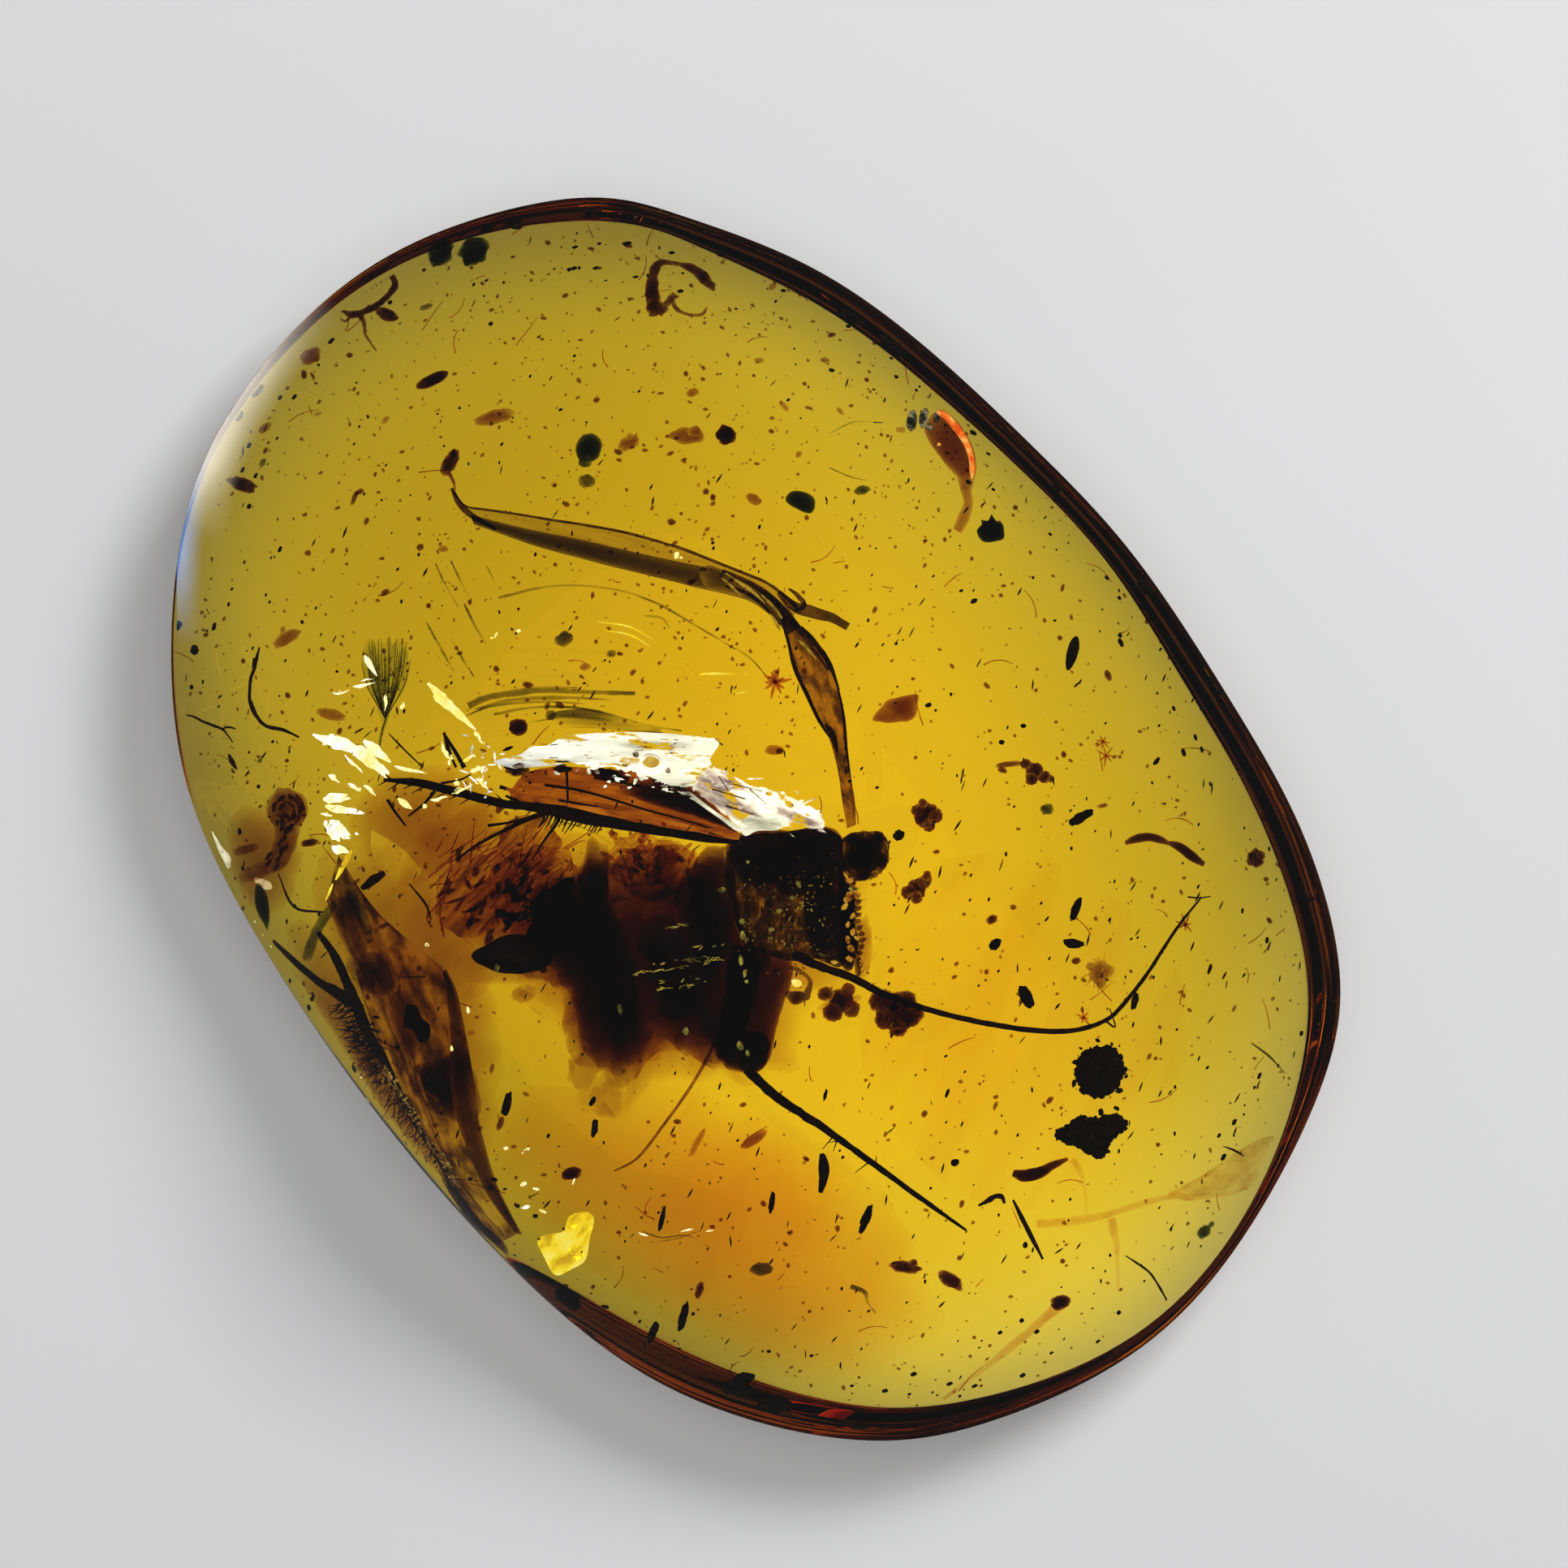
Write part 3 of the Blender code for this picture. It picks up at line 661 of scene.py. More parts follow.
# Painted shade for the leaf's lower fold.
LEAF_FOLD_SHADE = steeped("leaf_fold_painted_shade", (0.42, 0.36, 0.30), 7.0, ((0.36, (0.5, 0.44, 0.4)), CLEAR), 1.8, -17, 7)
LEAF_BROWN = sealed("leaf_brown", (
    (0.36, (0.07, 0.03, 0.015)), (0.48, (0.22, 0.11, 0.05)), (0.58, (0.50, 0.28, 0.12))
), 3.4, clear=1.0, lean=-65, stretch=2.2)
WING = sealed("wing_film", (
    (0.36, (0.08, 0.04, 0.02)), (0.45, (0.30, 0.17, 0.08)), (0.52, (0.58, 0.40, 0.20)),
    (0.60, (0.98, 0.82, 0.50)),
), 2.1, clear=1.0, lean=-65, stretch=2.4)
WING_DARK = steeped("wing_margin", (0.30, 0.09, 0.04), 9.0, ((0.36, (0.5, 0.34, 0.25)), CLEAR), 1.5, -70, 3)
# Orange with a painted glow in it.
ORANGE = sealed("orange_shell_painted_glow", (
    (0.40, (0.80, 0.10, 0.005)), (0.48, (1.0, 0.24, 0.02)), (0.58, (1.0, 0.50, 0.14))
), 2.4, glow=0.80)
BEETLE_BROWN = steeped(
    "beetle_brown", (0.50, 0.10, 0.02), 3.6, ((0.36, (0.62, 0.42, 0.3)), (0.58, (1.0, 0.95, 0.9))), 1.6, 80,
    2,
)
# Grey plates with a painted glow in their colour.
GREY_PLATE_GLOW = sealed("grey_plate_painted_glow", (
    (0.38, (0.015, 0.016, 0.014)), (0.48, (0.10, 0.11, 0.10)), (0.56, (0.42, 0.44, 0.40)),
    (0.64, (0.85, 0.85, 0.80)),
), 3.0, glow=0.25)
GREY_FIBRE = steeped(
    "grey_fibre", (0.55, 0.66, 0.60), 5.0, ((0.40, (0.60, 0.62, 0.62)), (0.56, WHITE)), 3.0, 88, 7
)
BROWN_SOFT = steeped("brown_soft_litter", (0.62, 0.34, 0.15), 9.0, ((0.36, (0.72, 0.55, 0.4)), CLEAR), 2.5)
BROWN_LITTER = steeped("brown_litter", (0.40, 0.12, 0.03), 20.0, ((0.36, (0.6, 0.42, 0.3)), CLEAR), 3.0)
GREEN_LITTER = steeped("green_litter", (0.30, 0.36, 0.20), 15.0, ((0.36, (0.5, 0.5, 0.45)), CLEAR), 2.5)
BLACK_LITTER = sealed("black_litter", (
    (0.3, (0.004, 0.003, 0.002)), (0.6, (0.02, 0.014, 0.008)), (0.75, (0.07, 0.04, 0.02))
), 5.0)
SPECK = steeped("speck", (0.50, 0.26, 0.10), 26.0, ((0.36, (0.75, 0.62, 0.5)), CLEAR), 1.0)
# Real cracks, whose white and streaked shine is a painted glow.
WHITE_GLOWING_CRACK = flaw("white_fracture_painted_glow", (
    (0.36, (0.42, 0.44, 0.42)), (0.46, (0.76, 0.79, 0.80)), (0.54, (0.96, 0.98, 1.0))
), 1.6, -4, 6, 0.88, 0.42, 0.50)
STREAKED_GLOWING_CRACK = flaw("streaked_fracture_painted_glow", (
    (0.38, (0.22, 0.16, 0.18)), (0.47, (0.60, 0.52, 0.56)), (0.54, (1.0, 0.98, 0.97))
), 1.7, -22, 3, 0.86, 0.43, 0.50)
# Golden glints: a painted glow.
GOLD_GLINT = flaw("golden_glint", (
    (0.34, (0.90, 0.78, 0.25)), (0.5, (1.0, 0.98, 0.68)), (0.62, (1.0, 1.0, 0.96))
), 2.4, 40, 2, 0.95, 0.36, 0.44)
# A painted yellow glow, for the bright facet and the golden streaks.
YELLOW_GLOW = flaw("yellow_painted_glow", (
    (0.38, (0.62, 0.42, 0.02)), (0.48, (0.98, 0.84, 0.05)), (0.60, (1.0, 0.98, 0.40))
), 1.6, 60, 2, 0.85, 0.34, 0.42)
CRACK_SHADE = steeped(
    "crack_shade", (0.40, 0.38, 0.22), 11.0, ((0.38, (0.2, 0.2, 0.15)), (0.56, WHITE)), 1.6, 0, 8
)
VEIN = steeped("resin_vein", (0.78, 0.36, 0.06), 1.5, ((0.36, (0.85, 0.72, 0.6)), (0.55, WHITE)), 1.2)
SHELL = steeped(
    "see_through_shell", (0.72, 0.42, 0.16), 0.22, ((0.38, (0.80, 0.62, 0.45)), (0.52, WHITE)), 0.9, 60, 3
)
CORE = steeped("dark_body", (0.30, 0.07, 0.025), 2.7, ((0.36, (0.6, 0.42, 0.3)), CLEAR), 1.6)
BODY_HAZE = steeped(
    "red_brown_body", (0.42, 0.13, 0.03), 2.3, ((0.38, (0.55, 0.32, 0.2)), (0.56, WHITE)), 1.6, 55, 2.5
)
# Painted brown shade in the resin.
BROWN_SHADE_CLOUD = steeped("brown_shade_cloud", (0.60, 0.28, 0.05), 2.1, (
    (0.38, (0.93, 0.86, 0.78)), (0.50, (0.98, 0.95, 0.90)), (0.57, WHITE)
), 1.5, 50, 2.5)
ORANGE_CLOUD = steeped(
    "orange_cloud", (0.86, 0.50, 0.05), 0.45, ((0.38, (0.97, 0.91, 0.82)), (0.54, WHITE)), 0.6, 66, 3.5
)
CLOT = steeped("clot", (0.40, 0.12, 0.05), 13.0, ((0.36, (0.5, 0.32, 0.22)), CLEAR), 2.6)
DENSE = steeped("dense_cuticle", (0.26, 0.07, 0.03), 11.0, ((0.36, (0.5, 0.36, 0.25)), CLEAR), 2.6)
KNOB = steeped("knob_brown", (0.45, 0.13, 0.04), 3.6, ((0.36, (0.6, 0.42, 0.3)), CLEAR), 2.4)
LEG_HAIR = sealed("leg_hair", (
    (0.35, (0.20, 0.10, 0.03)), (0.55, (0.46, 0.28, 0.10)), (0.7, (0.80, 0.62, 0.30))
), 2.5, clear=1.0)
ORANGE_SCALE = sealed(
    "orange_scale", ((0.36, (0.30, 0.12, 0.05)), (0.55, (0.72, 0.44, 0.22))), 3.0, clear=1.0
)
# Bead colour with a painted glint in it.
JAW_BEAD_GLINT = sealed("jaw_bead_glint", (
    (0.38, (0.35, 0.14, 0.06)), (0.48, (0.80, 0.42, 0.22)), (0.6, (1.0, 0.74, 0.50))
), 5.0, glow=0.45)
# Red cuticle with a painted highlight glow.
GLOWING_RED_CUTICLE = sealed("red_cuticle_painted_highlight", (
    (0.38, (0.42, 0.10, 0.04)), (0.5, (0.72, 0.24, 0.08)), (0.62, (1.0, 0.42, 0.16))
), 2.5, lean=-12, stretch=3, glow=0.30)
HAIR = sealed("hair", ((0.35, (0.16, 0.08, 0.03)), (0.6, (0.42, 0.26, 0.10))), 2.0, clear=1.0)
# Grey glints with a painted glow.
GREY_GLINT = sealed("grey_glint", (
    (0.40, (0.07, 0.08, 0.07)), (0.50, (0.30, 0.35, 0.32)), (0.62, (0.80, 0.85, 0.80))
), 2.2, glow=0.42)
# Warm speckle colour with a painted glint in it.
WARM_GLINT_SPECKLE = sealed("warm_glint_speckle", (
    (0.40, (0.05, 0.03, 0.015)), (0.52, (0.22, 0.17, 0.09)), (0.64, (0.60, 0.54, 0.36))
), 1.8, glow=0.26)
# Painted highlight along the leaf's fold.
LEAF_EDGE_HIGHLIGHT = sealed(
    "leaf_edge_painted_highlight", ((0.36, (0.36, 0.28, 0.14)), (0.6, (0.90, 0.80, 0.50))), 3.0, glow=0.32
)
LEAF_RIB = sealed("leaf_rib", ((0.35, (0.05, 0.028, 0.012)), (0.65, (0.20, 0.12, 0.06))), 2.5, clear=1.0)
DARK_RIB = sealed("dark_rib", ((0.4, (0.14, 0.15, 0.12)), (0.6, (0.34, 0.36, 0.30))), 2.0, clear=1.0)
# Straw colour with a painted glint in it.
STRAW_GLINT = sealed("straw_glint", (
    (0.38, (0.16, 0.12, 0.05)), (0.5, (0.46, 0.38, 0.20)), (0.62, (0.95, 0.88, 0.58))
), 4.0, glow=0.34)
ORANGE_WEDGE = steeped("orange_wedge", (0.86, 0.55, 0.20), 0.5)
FRACTURE_EDGE = sealed("fracture_edge", (
    (0.38, (0.05, 0.025, 0.015)), (0.5, (0.18, 0.10, 0.05)), (0.62, (0.45, 0.32, 0.2))
), 3.0, clear=1.0)
# A small golden window, its brightness a painted glow.
FRACTURE_WINDOW_GLOW = sealed(
    "fracture_window_painted_glow", ((0.35, (0.55, 0.33, 0.05)), (0.65, (0.85, 0.60, 0.12))), 3.0, glow=0.5
)
# A painted highlight on the cut edge.
CUT_EDGE_HIGHLIGHT = sealed("cut_edge_highlight", ((0.36, (0.55, 0.55, 0.52)), (0.5, (0.95, 0.95, 0.94))), 3.0, glow=0.72)


# ---------------------------------------------------------------- the stone


STONE_SPAN_POINTS = 10
UPPER_RINGS = 40
LOWER_RINGS = 18
STONE_TRIM = 0.9985  # the fine curve bulges a little past the CAD's straight runs


def amber_stone():
    """The whole pebble as one clear solid: a dome over a widest line, rounded under to a flat base."""
    mesh = bmesh.new()
    outline = [point * STONE_TRIM for point in closed_spline(OUTLINE, STONE_SPAN_POINTS)]
    sides = [side_at(math.atan2(point.y, point.x)) for point in outline]
    rings = [[mesh.verts.new((0, 0, THICKNESS))]]
    for step in range(1, UPPER_RINGS + 1):
        share = math.sin(math.pi / 2 * step / UPPER_RINGS)
        ring = []
        for point, (waist, fullness, softness, _, _) in zip(outline, sides):
            height = waist + (THICKNESS - waist) * max(0.0, 1 - share**fullness) ** softness
            ring.append(mesh.verts.new((*(point * share), height)))
        rings.append(ring)
    for step in range(LOWER_RINGS - 1, -1, -1):
        along = math.sin(math.pi / 2 * step / LOWER_RINGS)
        ring = []
        for point, (waist, _, _, flat, rise) in zip(outline, sides):
            share = flat + (1 - flat) * along
            ring.append(mesh.verts.new((*(point * share), waist * (1 - (1 - along**rise) ** (1 / rise)))))
        rings.append(ring)
    for ring, following in zip(rings, rings[1:]):
        bridge(mesh, ring, following)
    mesh.faces.new(rings[-1])
    return mesh


# ---------------------------------------------------------------- the insect


def insect_abdomen():
    """See-through plated shell, with what is left of the body dark inside it."""
    shell = bmesh.new()
    tail, length, half_width, half_height, plates = Vector((-6.7, -4.1)), 5.6, 2.8, 1.5, 7
    rings = []
    for plate in range(plates):
        for share, lip in ((0.0, 1.0), (0.35, 1.03), (0.75, 1.06), (0.97, 1.07), (1.0, 0.99)):
            along = (plate + share) / plates
            bulge = math.sin(math.pi * (0.07 + 0.72 * along)) ** 0.6 * lip
            ring = []
            for k in range(28):
                turn = 2 * math.pi * k / 28
                place = Vector((tail.x + length * along, tail.y + half_width * bulge * math.cos(turn), 0))
                place.z = PARTING + half_height * bulge * math.sin(turn)
                place.y += 0.12 * ragged(place, 0.7, 3)
                place.z += 0.08 * ragged(place, 0.9, 4)
                ring.append(shell.verts.new(place))
            rings.append(ring)
    rings = [[shell.verts.new((tail.x - 0.12, tail.y, PARTING))], *rings]
    rings.append([shell.verts.new((tail.x + length + 0.3, tail.y + 0.2, PARTING))])
    for ring, following in zip(rings, rings[1:]):
        bridge(shell, ring, following)
    insect_piece(shell, "insect_abdomen_shell", SHELL)

    haze = bmesh.new()
    around = (
        (-7.27, -3.57), (-6.66, -2.08), (-5.63, -1.31), (-4.6, -1.21), (-3.68, -0.85), (-2.49, -0.8),
        (-1.52, -1), (-0.69, -1.93), (-0.18, -3.52), (-0.13, -6.4), (-0.9, -7.22), (-2.13, -6.91),
        (-3.06, -6.96), (-3.57, -7.53), (-4.5, -7.48), (-5.22, -6.55), (-5.63, -5.22), (-6.55, -4.7),
        (-7.17, -4.39),
    )
    pad(
        haze, around, PARTING, 1.0, (-3.32, -4.29), rings=9, per_span=5, rough=0.13, grain=1.5, edge=0.9,
        seed=5,
    )
    insect_piece(haze, "insect_body", BODY_HAZE)

    # A painted shade that darkens and reddens the amber round the whole body.
    shade = bmesh.new()
    whole = (
        (-8.46, -4.19), (-8.1, -2.49), (-7.17, -0.95), (-5.89, -0.23), (-4.34, -0.44), (-2.29, -0.59),
        (-0.49, -0.59), (1.57, -0.44), (3.37, -1.21), (3.68, -3.01), (3.52, -4.81), (2.08, -5.58),
        (1.31, -7.12), (0.28, -7.79), (-1.52, -7.68), (-3.06, -8.15), (-4.29, -8.46), (-5.11, -7.89),
        (-5.63, -6.35), (-6.45, -5.22), (-7.68, -4.96),
    )
    pad(shade, whole, PARTING - 0.4, 1.3, (-2.54, -4.29), rings=9, rough=0.16, grain=1.3, edge=1.0, seed=31)
    for x, y, wide, tall, turn in (
        (-4.29, -8.04, 0.5, 0.6, 20), (-5.01, -7.38, 0.4, 0.5, 0), (3.57, -3.78, 0.25, 0.9, 0),
        (-5.63, -4.29, 0.9, 0.4, 5), (-5.94, -3.52, 0.5, 0.5, 0), (2.85, -5.47, 0.6, 0.25, 20),
        (-6.55, -5.22, 0.35, 0.25, 20),
    ):
        lump(
            shade, (x, y, PARTING - 0.3), (wide, tall, 0.9), turn, rough=0.35, grain=1.6, detail=4,
            seed=int(x * 7),
        )
    insect_piece(shade, "insect_body_painted_shade", BODY_PAINTED_SHADE)

    core = bmesh.new()
    column = (
        (-4.7, -0.69), (-4.29, -0.64), (-4.09, -1.11), (-4.16, -2.03), (-3.88, -3.01), (-3.57, -3.83),
        (-3.26, -4.7), (-3.01, -5.63), (-3.06, -6.55), (-3.42, -7.22), (-4.09, -7.45), (-4.7, -7.12),
        (-5.06, -6.4), (-5.22, -5.47), (-5.68, -4.75), (-6.14, -4.19), (-6.35, -3.26), (-6.37, -2.29),
        (-5.89, -1.77), (-5.22, -1.67), (-4.86, -1.26),
    )
    pad(core, column, PARTING, 0.95, rings=9, rough=0.11, grain=1.8, edge=0.9, seed=1)
    belly = (
        (-3.11, -3.06), (-2.08, -2.75), (-1.62, -1.52), (-0.9, -1.11), (-0.39, -2.24), (-0.08, -4.03),
        (-0.13, -5.94), (-0.44, -7.12), (-1.26, -7.07), (-2.39, -6.6), (-3.11, -5.83), (-3.37, -4.39),
    )
    pad(core, belly, PARTING + 0.1, 0.62, rings=8, rough=0.15, grain=2.2, edge=0.9, seed=7)
    insect_piece(core, "insect_abdomen_core", CORE)

    clots = bmesh.new()
    for i, (x, y, wide, tall, turn) in enumerate((
        (-1.72, -2.49, 0.42, 0.9, 8), (-1.21, -3.91, 0.42, 0.9, 4), (-2.08, -5.37, 0.7, 0.5, 20),
        (-2.93, -3.93, 0.42, 0.32, -30), (-0.95, -6.14, 0.42, 0.6, 10), (-2.72, -2.29, 0.40, 0.2, 8),
        (-2.39, -2.11, 0.16, 0.10, -40), (-4.55, -2.11, 0.42, 0.9, 4), (-4.39, -3.78, 0.55, 0.9, -10),
        (-5.32, -2.96, 0.5, 0.6, 20), (-3.93, -5.83, 0.5, 0.8, 10),
    )):
        lump(
            clots, (x, y, PARTING - 0.3 + 0.1 * (i % 3)), (wide, tall, 0.5), turn, rough=0.35, grain=2.2,
            detail=3, seed=i,
        )
    insect_piece(clots, "insect_body_clots", CORE)

    tail_end = bmesh.new()
    oval = (
        (-7.99, -4.14), (-7.68, -3.85), (-7.22, -3.6), (-6.71, -3.52), (-6.19, -3.68), (-5.78, -4.03),
        (-5.94, -4.45), (-6.45, -4.63), (-7.07, -4.65), (-7.63, -4.47),
    )
    pad(tail_end, oval, PARTING, 0.5, per_span=5, rough=0.05, grain=2.5, edge=0.7, seed=8)
    insect_piece(tail_end, "insect_tail", BLACK)
    scales = bmesh.new()
    draw = random.Random(6)
    for i in range(46):
        place = Vector((-2.9, -1.26)) + astray(draw, 0.75, 0.5)
        lump(
            scales, (*place, PARTING + draw.uniform(-0.4, 0.6)),
            (draw.uniform(0.07, 0.26), draw.uniform(0.05, 0.13), 0.09), draw.uniform(0, 180), rough=0.6,
            grain=1.6, detail=3, seed=i,
        )
    insect_piece(scales, "insect_back_scales", ORANGE_SCALE)


def insect_side_films():
    """Thin reddish skin torn from the body's left side, with fibres fanning out of it."""
    films = bmesh.new()
    pad(films, (
        (-7.48, -1.36), (-6.78, -0.85), (-5.89, -0.69), (-5.11, -1.26), (-5.01, -2.49), (-5.22, -4.03),
        (-5.94, -3.93), (-6.91, -3.52), (-7.53, -2.49),
    ), PARTING + 0.2, 0.22, per_span=6, rough=0.16, grain=1.6, seed=9)
    pad(films, (
        (-9.07, -1.98), (-8.46, -1), (-7.48, -0.9), (-6.66, -1.36), (-6.45, -2.49), (-6.78, -3.42),
        (-7.68, -3.57), (-8.51, -3.42), (-9.02, -2.88),
    ), PARTING - 0.3, 0.16, per_span=6, rough=0.22, grain=1.5, seed=11)
    pad(films, (
        (-7.17, 0.13), (-6.45, 0.23), (-5.89, 0.03), (-5.63, -0.69), (-5.89, -1.31), (-6.55, -1.52),
        (-7.17, -1.11), (-7.43, -0.44),
    ), PARTING - 0.1, 0.12, per_span=5, rough=0.22, grain=1.5, seed=12)
    pad(films, (
        (-3.98, -0.59), (-3.06, -0.44), (-1.88, -0.69), (-1.46, -1.26), (-1.72, -2.03), (-2.54, -2.34),
        (-3.57, -2.24), (-4.09, -1.46),
    ), PARTING - 0.2, 0.45, per_span=5, rough=0.25, grain=1.8, edge=1.0, seed=13)
    insect_piece(films, "insect_side_films", RED_SHELL)
    smudges = bmesh.new()
    draw = random.Random(15)
    for i in range(44):
        place = Vector((-6.96, -2.24)) + astray(draw, 0.95, 0.85)
        long = draw.uniform(0.10, 0.34)
        lump(
            smudges, (*place, PARTING + draw.uniform(-0.5, 0.5)), (long, draw.uniform(0.05, 0.12), 0.09),
            draw.gauss(52, 30), rough=0.4, grain=2.5, seed=i,
        )
    insect_piece(smudges, "insect_side_smudges", BROWN_LITTER)
    fibres = bmesh.new()
    draw = random.Random(5)
    for _ in range(80):
        start = Vector((-7.17, -2.24)) + Vector((draw.uniform(-2.2, 1.9), draw.uniform(-1.3, 1.5)))
        turn = math.radians(draw.gauss(52, 20))
        reach = draw.uniform(0.4, 1.7)
        end = start + reach * heading(turn)
        bow = (start + end) / 2 + Vector((draw.uniform(-0.12, 0.12), draw.uniform(-0.12, 0.12)))
        height = PARTING + draw.uniform(-0.4, 0.5)
        limb(fibres, (start, bow, end), (draw.uniform(0.02, 0.05), 0.012), z=height, sides=5, per_span=3)
    insect_piece(fibres, "insect_side_fibres", FIBRE_RED)


def insect_head():
    """The blocky fore part: a dark cap and pillar over mottled cuticle, an eye, and a beaded edge."""
    base = bmesh.new()
    outline = (
        (-0.13, -0.39), (1.05, -0.31), (2.18, -0.21), (2.85, -0.39), (2.96, -1.11), (3.01, -2.06),
        (3.06, -3.16), (2.96, -4.19), (2.49, -4.24), (1.98, -4.14), (1.23, -4.19), (0.59, -4.03),
        (-0.03, -3.73), (-0.44, -2.62), (-0.69, -1.59), (-0.59, -0.82),
    )
    pad(base, outline, PARTING, 1.1, per_span=6, rough=0.05, grain=1.6, edge=0.3, seed=12)
    insect_piece(base, "insect_head", MOTTLED)

    cap = bmesh.new()
    pad(cap, (
        (-0.18, -0.33), (0.64, -0.18), (1.57, -0.23), (2.24, -0.13), (2.8, -0.36), (3.01, -1.11),
        (2.8, -2.13), (2.18, -2.03), (1.57, -2.34), (0.8, -1.98), (0.18, -1.98), (-0.41, -1.41),
        (-0.69, -0.85),
    ), PARTING + 0.2, 1.1, per_span=5, rough=0.07, grain=1.8, edge=0.4, seed=13)
    pad(cap, (
        (1.98, -1.52), (2.8, -1.57), (2.85, -2.75), (2.8, -3.78), (2.39, -4.14), (1.98, -3.93),
        (1.77, -2.75),
    ), PARTING, 0.95, per_span=5, rough=0.08, edge=0.45, seed=14)
    pad(cap, (
        (-1.57, -1), (-0.95, -0.69), (-0.49, -0.95), (-0.28, -1.98), (-0.13, -3.01), (-0.03, -4.09),
        (-0.75, -4.29), (-1.41, -3.26), (-1.77, -1.98),
    ), PARTING - 0.1, 0.7, per_span=5, rough=0.12, seed=15)
    pad(cap, (
        (-0.36, -3.52), (0.15, -3.42), (0.67, -3.78), (0.8, -4.29), (0.28, -4.81), (-0.23, -4.7)
    ), PARTING, 0.6, rough=0.12, seed=16)
    insect_piece(cap, "insect_head_shield", CORE)

    eye = bmesh.new()
    pad(eye, (
        (3.01, -0.44), (3.52, -0.31), (4.09, -0.41), (4.32, -0.8), (4.21, -1.36), (3.8, -1.72),
        (3.29, -1.8), (2.96, -1.41), (2.85, -0.9),
    ), PARTING, 0.6, per_span=5, rough=0.07, grain=3.0, seed=16)
    lump(eye, (3.52, -1, PARTING), (0.5, 0.5, 0.5), rough=0.12, grain=3.0, detail=4, seed=16)
    for i in range(24):
        turn = 2 * math.pi * i / 24
        place = Vector((3.6, -1.05)) + 0.62 * heading(turn)
        lump(eye, (*place, PARTING + 0.25 * math.sin(5 * turn)), (0.12, 0.12, 0.12), rough=0.3, seed=i)
    insect_piece(eye, "insect_eye", DENSE)

    jaw = bmesh.new()
    pad(jaw, (
        (2.85, -1.57), (3.16, -1.67), (3.37, -2.13), (3.34, -3.01), (3.44, -3.68), (3.32, -4.39),
        (2.96, -4.45), (2.75, -3.78), (2.8, -2.49),
    ), PARTING, 0.5, rough=0.12, grain=3.0, seed=19)
    edge = smooth_rows((
        (3.16, -1.82), (3.32, -2.36), (3.29, -2.96), (3.44, -3.52), (3.29, -4.09), (3.32, -4.5)
    ), 3)
    draw = random.Random(19)
    for i, (x, y) in enumerate(edge):
        lump(
            jaw, (x + 0.10, y - 0.06, PARTING + 0.1), (0.12, 0.09, 0.12), draw.uniform(0, 90), rough=0.3,
            seed=i,
        )
        if i % 2:
            limb(jaw, (
                (x, y), (x + 0.16, y - 0.04), (x + draw.uniform(0.2, 0.34), y + 0.03)
            ), (0.05, 0.02), sides=5, per_span=2)
    insect_piece(jaw, "insect_jaw", DENSE)
    # Beads along the jaw's edge, with a painted glint in their colour.
    beads = bmesh.new()
    for i, (x, y, size) in enumerate((
        (3.16, -1.77, 0.10), (3.26, -2.21, 0.17), (3.11, -2.34, 0.12), (3.01, -2.57, 0.10),
        (3.26, -2.85, 0.09), (3.11, -3.11, 0.08), (3.26, -3.34, 0.10), (3.11, -3.57, 0.09),
        (3.21, -3.83, 0.11), (3.37, -3.52, 0.07), (3.16, -4.14, 0.10), (2.7, -4.24, 0.09),
    )):
        lump(
            beads, (x, y, PARTING + 0.62), (1.2 * size, 0.75 * size, 0.06), 15 * i, rough=0.45, grain=2.5,
            seed=i,
        )
    insect_piece(beads, "insect_jaw_bead_glints", JAW_BEAD_GLINT)

    foreleg = bmesh.new()
    lobe = (
        (-0.28, -3.91), (0.59, -3.78), (1.36, -4.09), (1.46, -4.7), (1.21, -5.47), (0.95, -6.4),
        (0.75, -7.17), (0.23, -7.5), (-0.44, -7.35), (-0.9, -6.96), (-0.75, -6.09), (-0.49, -5.17),
    )
    pad(foreleg, lobe, PARTING - 0.1, 0.75, per_span=5, rough=0.06, seed=17)
    insect_piece(foreleg, "insect_foreleg", DEEP_RED)
    shade = bmesh.new()
    pad(shade, (
        (-0.44, -3.91), (0.28, -3.98), (0.39, -5.06), (0.08, -6.14), (-0.13, -7.38), (-0.85, -7.02),
        (-0.85, -5.83), (-0.64, -4.81),
    ), PARTING - 0.2, 0.5, per_span=5, rough=0.10, edge=0.8, seed=18)
    pad(shade, (
        (-0.08, -6.4), (0.54, -6.3), (0.8, -6.76), (0.59, -7.38), (0.03, -7.48), (-0.28, -7.12)
    ), PARTING - 0.1, 0.3, rough=0.15, seed=20)
    limb(shade, (
        (1.36, -4.39), (1.67, -4.5), (1.98, -4.81), (1.82, -5.22), (1.52, -5.37), (1.26, -5.11)
    ), (0.06, 0.07, 0.08, 0.11, 0.13, 0.10), rough=0.3, seed=2)
    lump(shade, (1.67, -5.24, PARTING), (0.32, 0.15, 0.2), -10, rough=0.3, detail=3, seed=3)
    insect_piece(shade, "insect_foreleg_joint", DENSE)


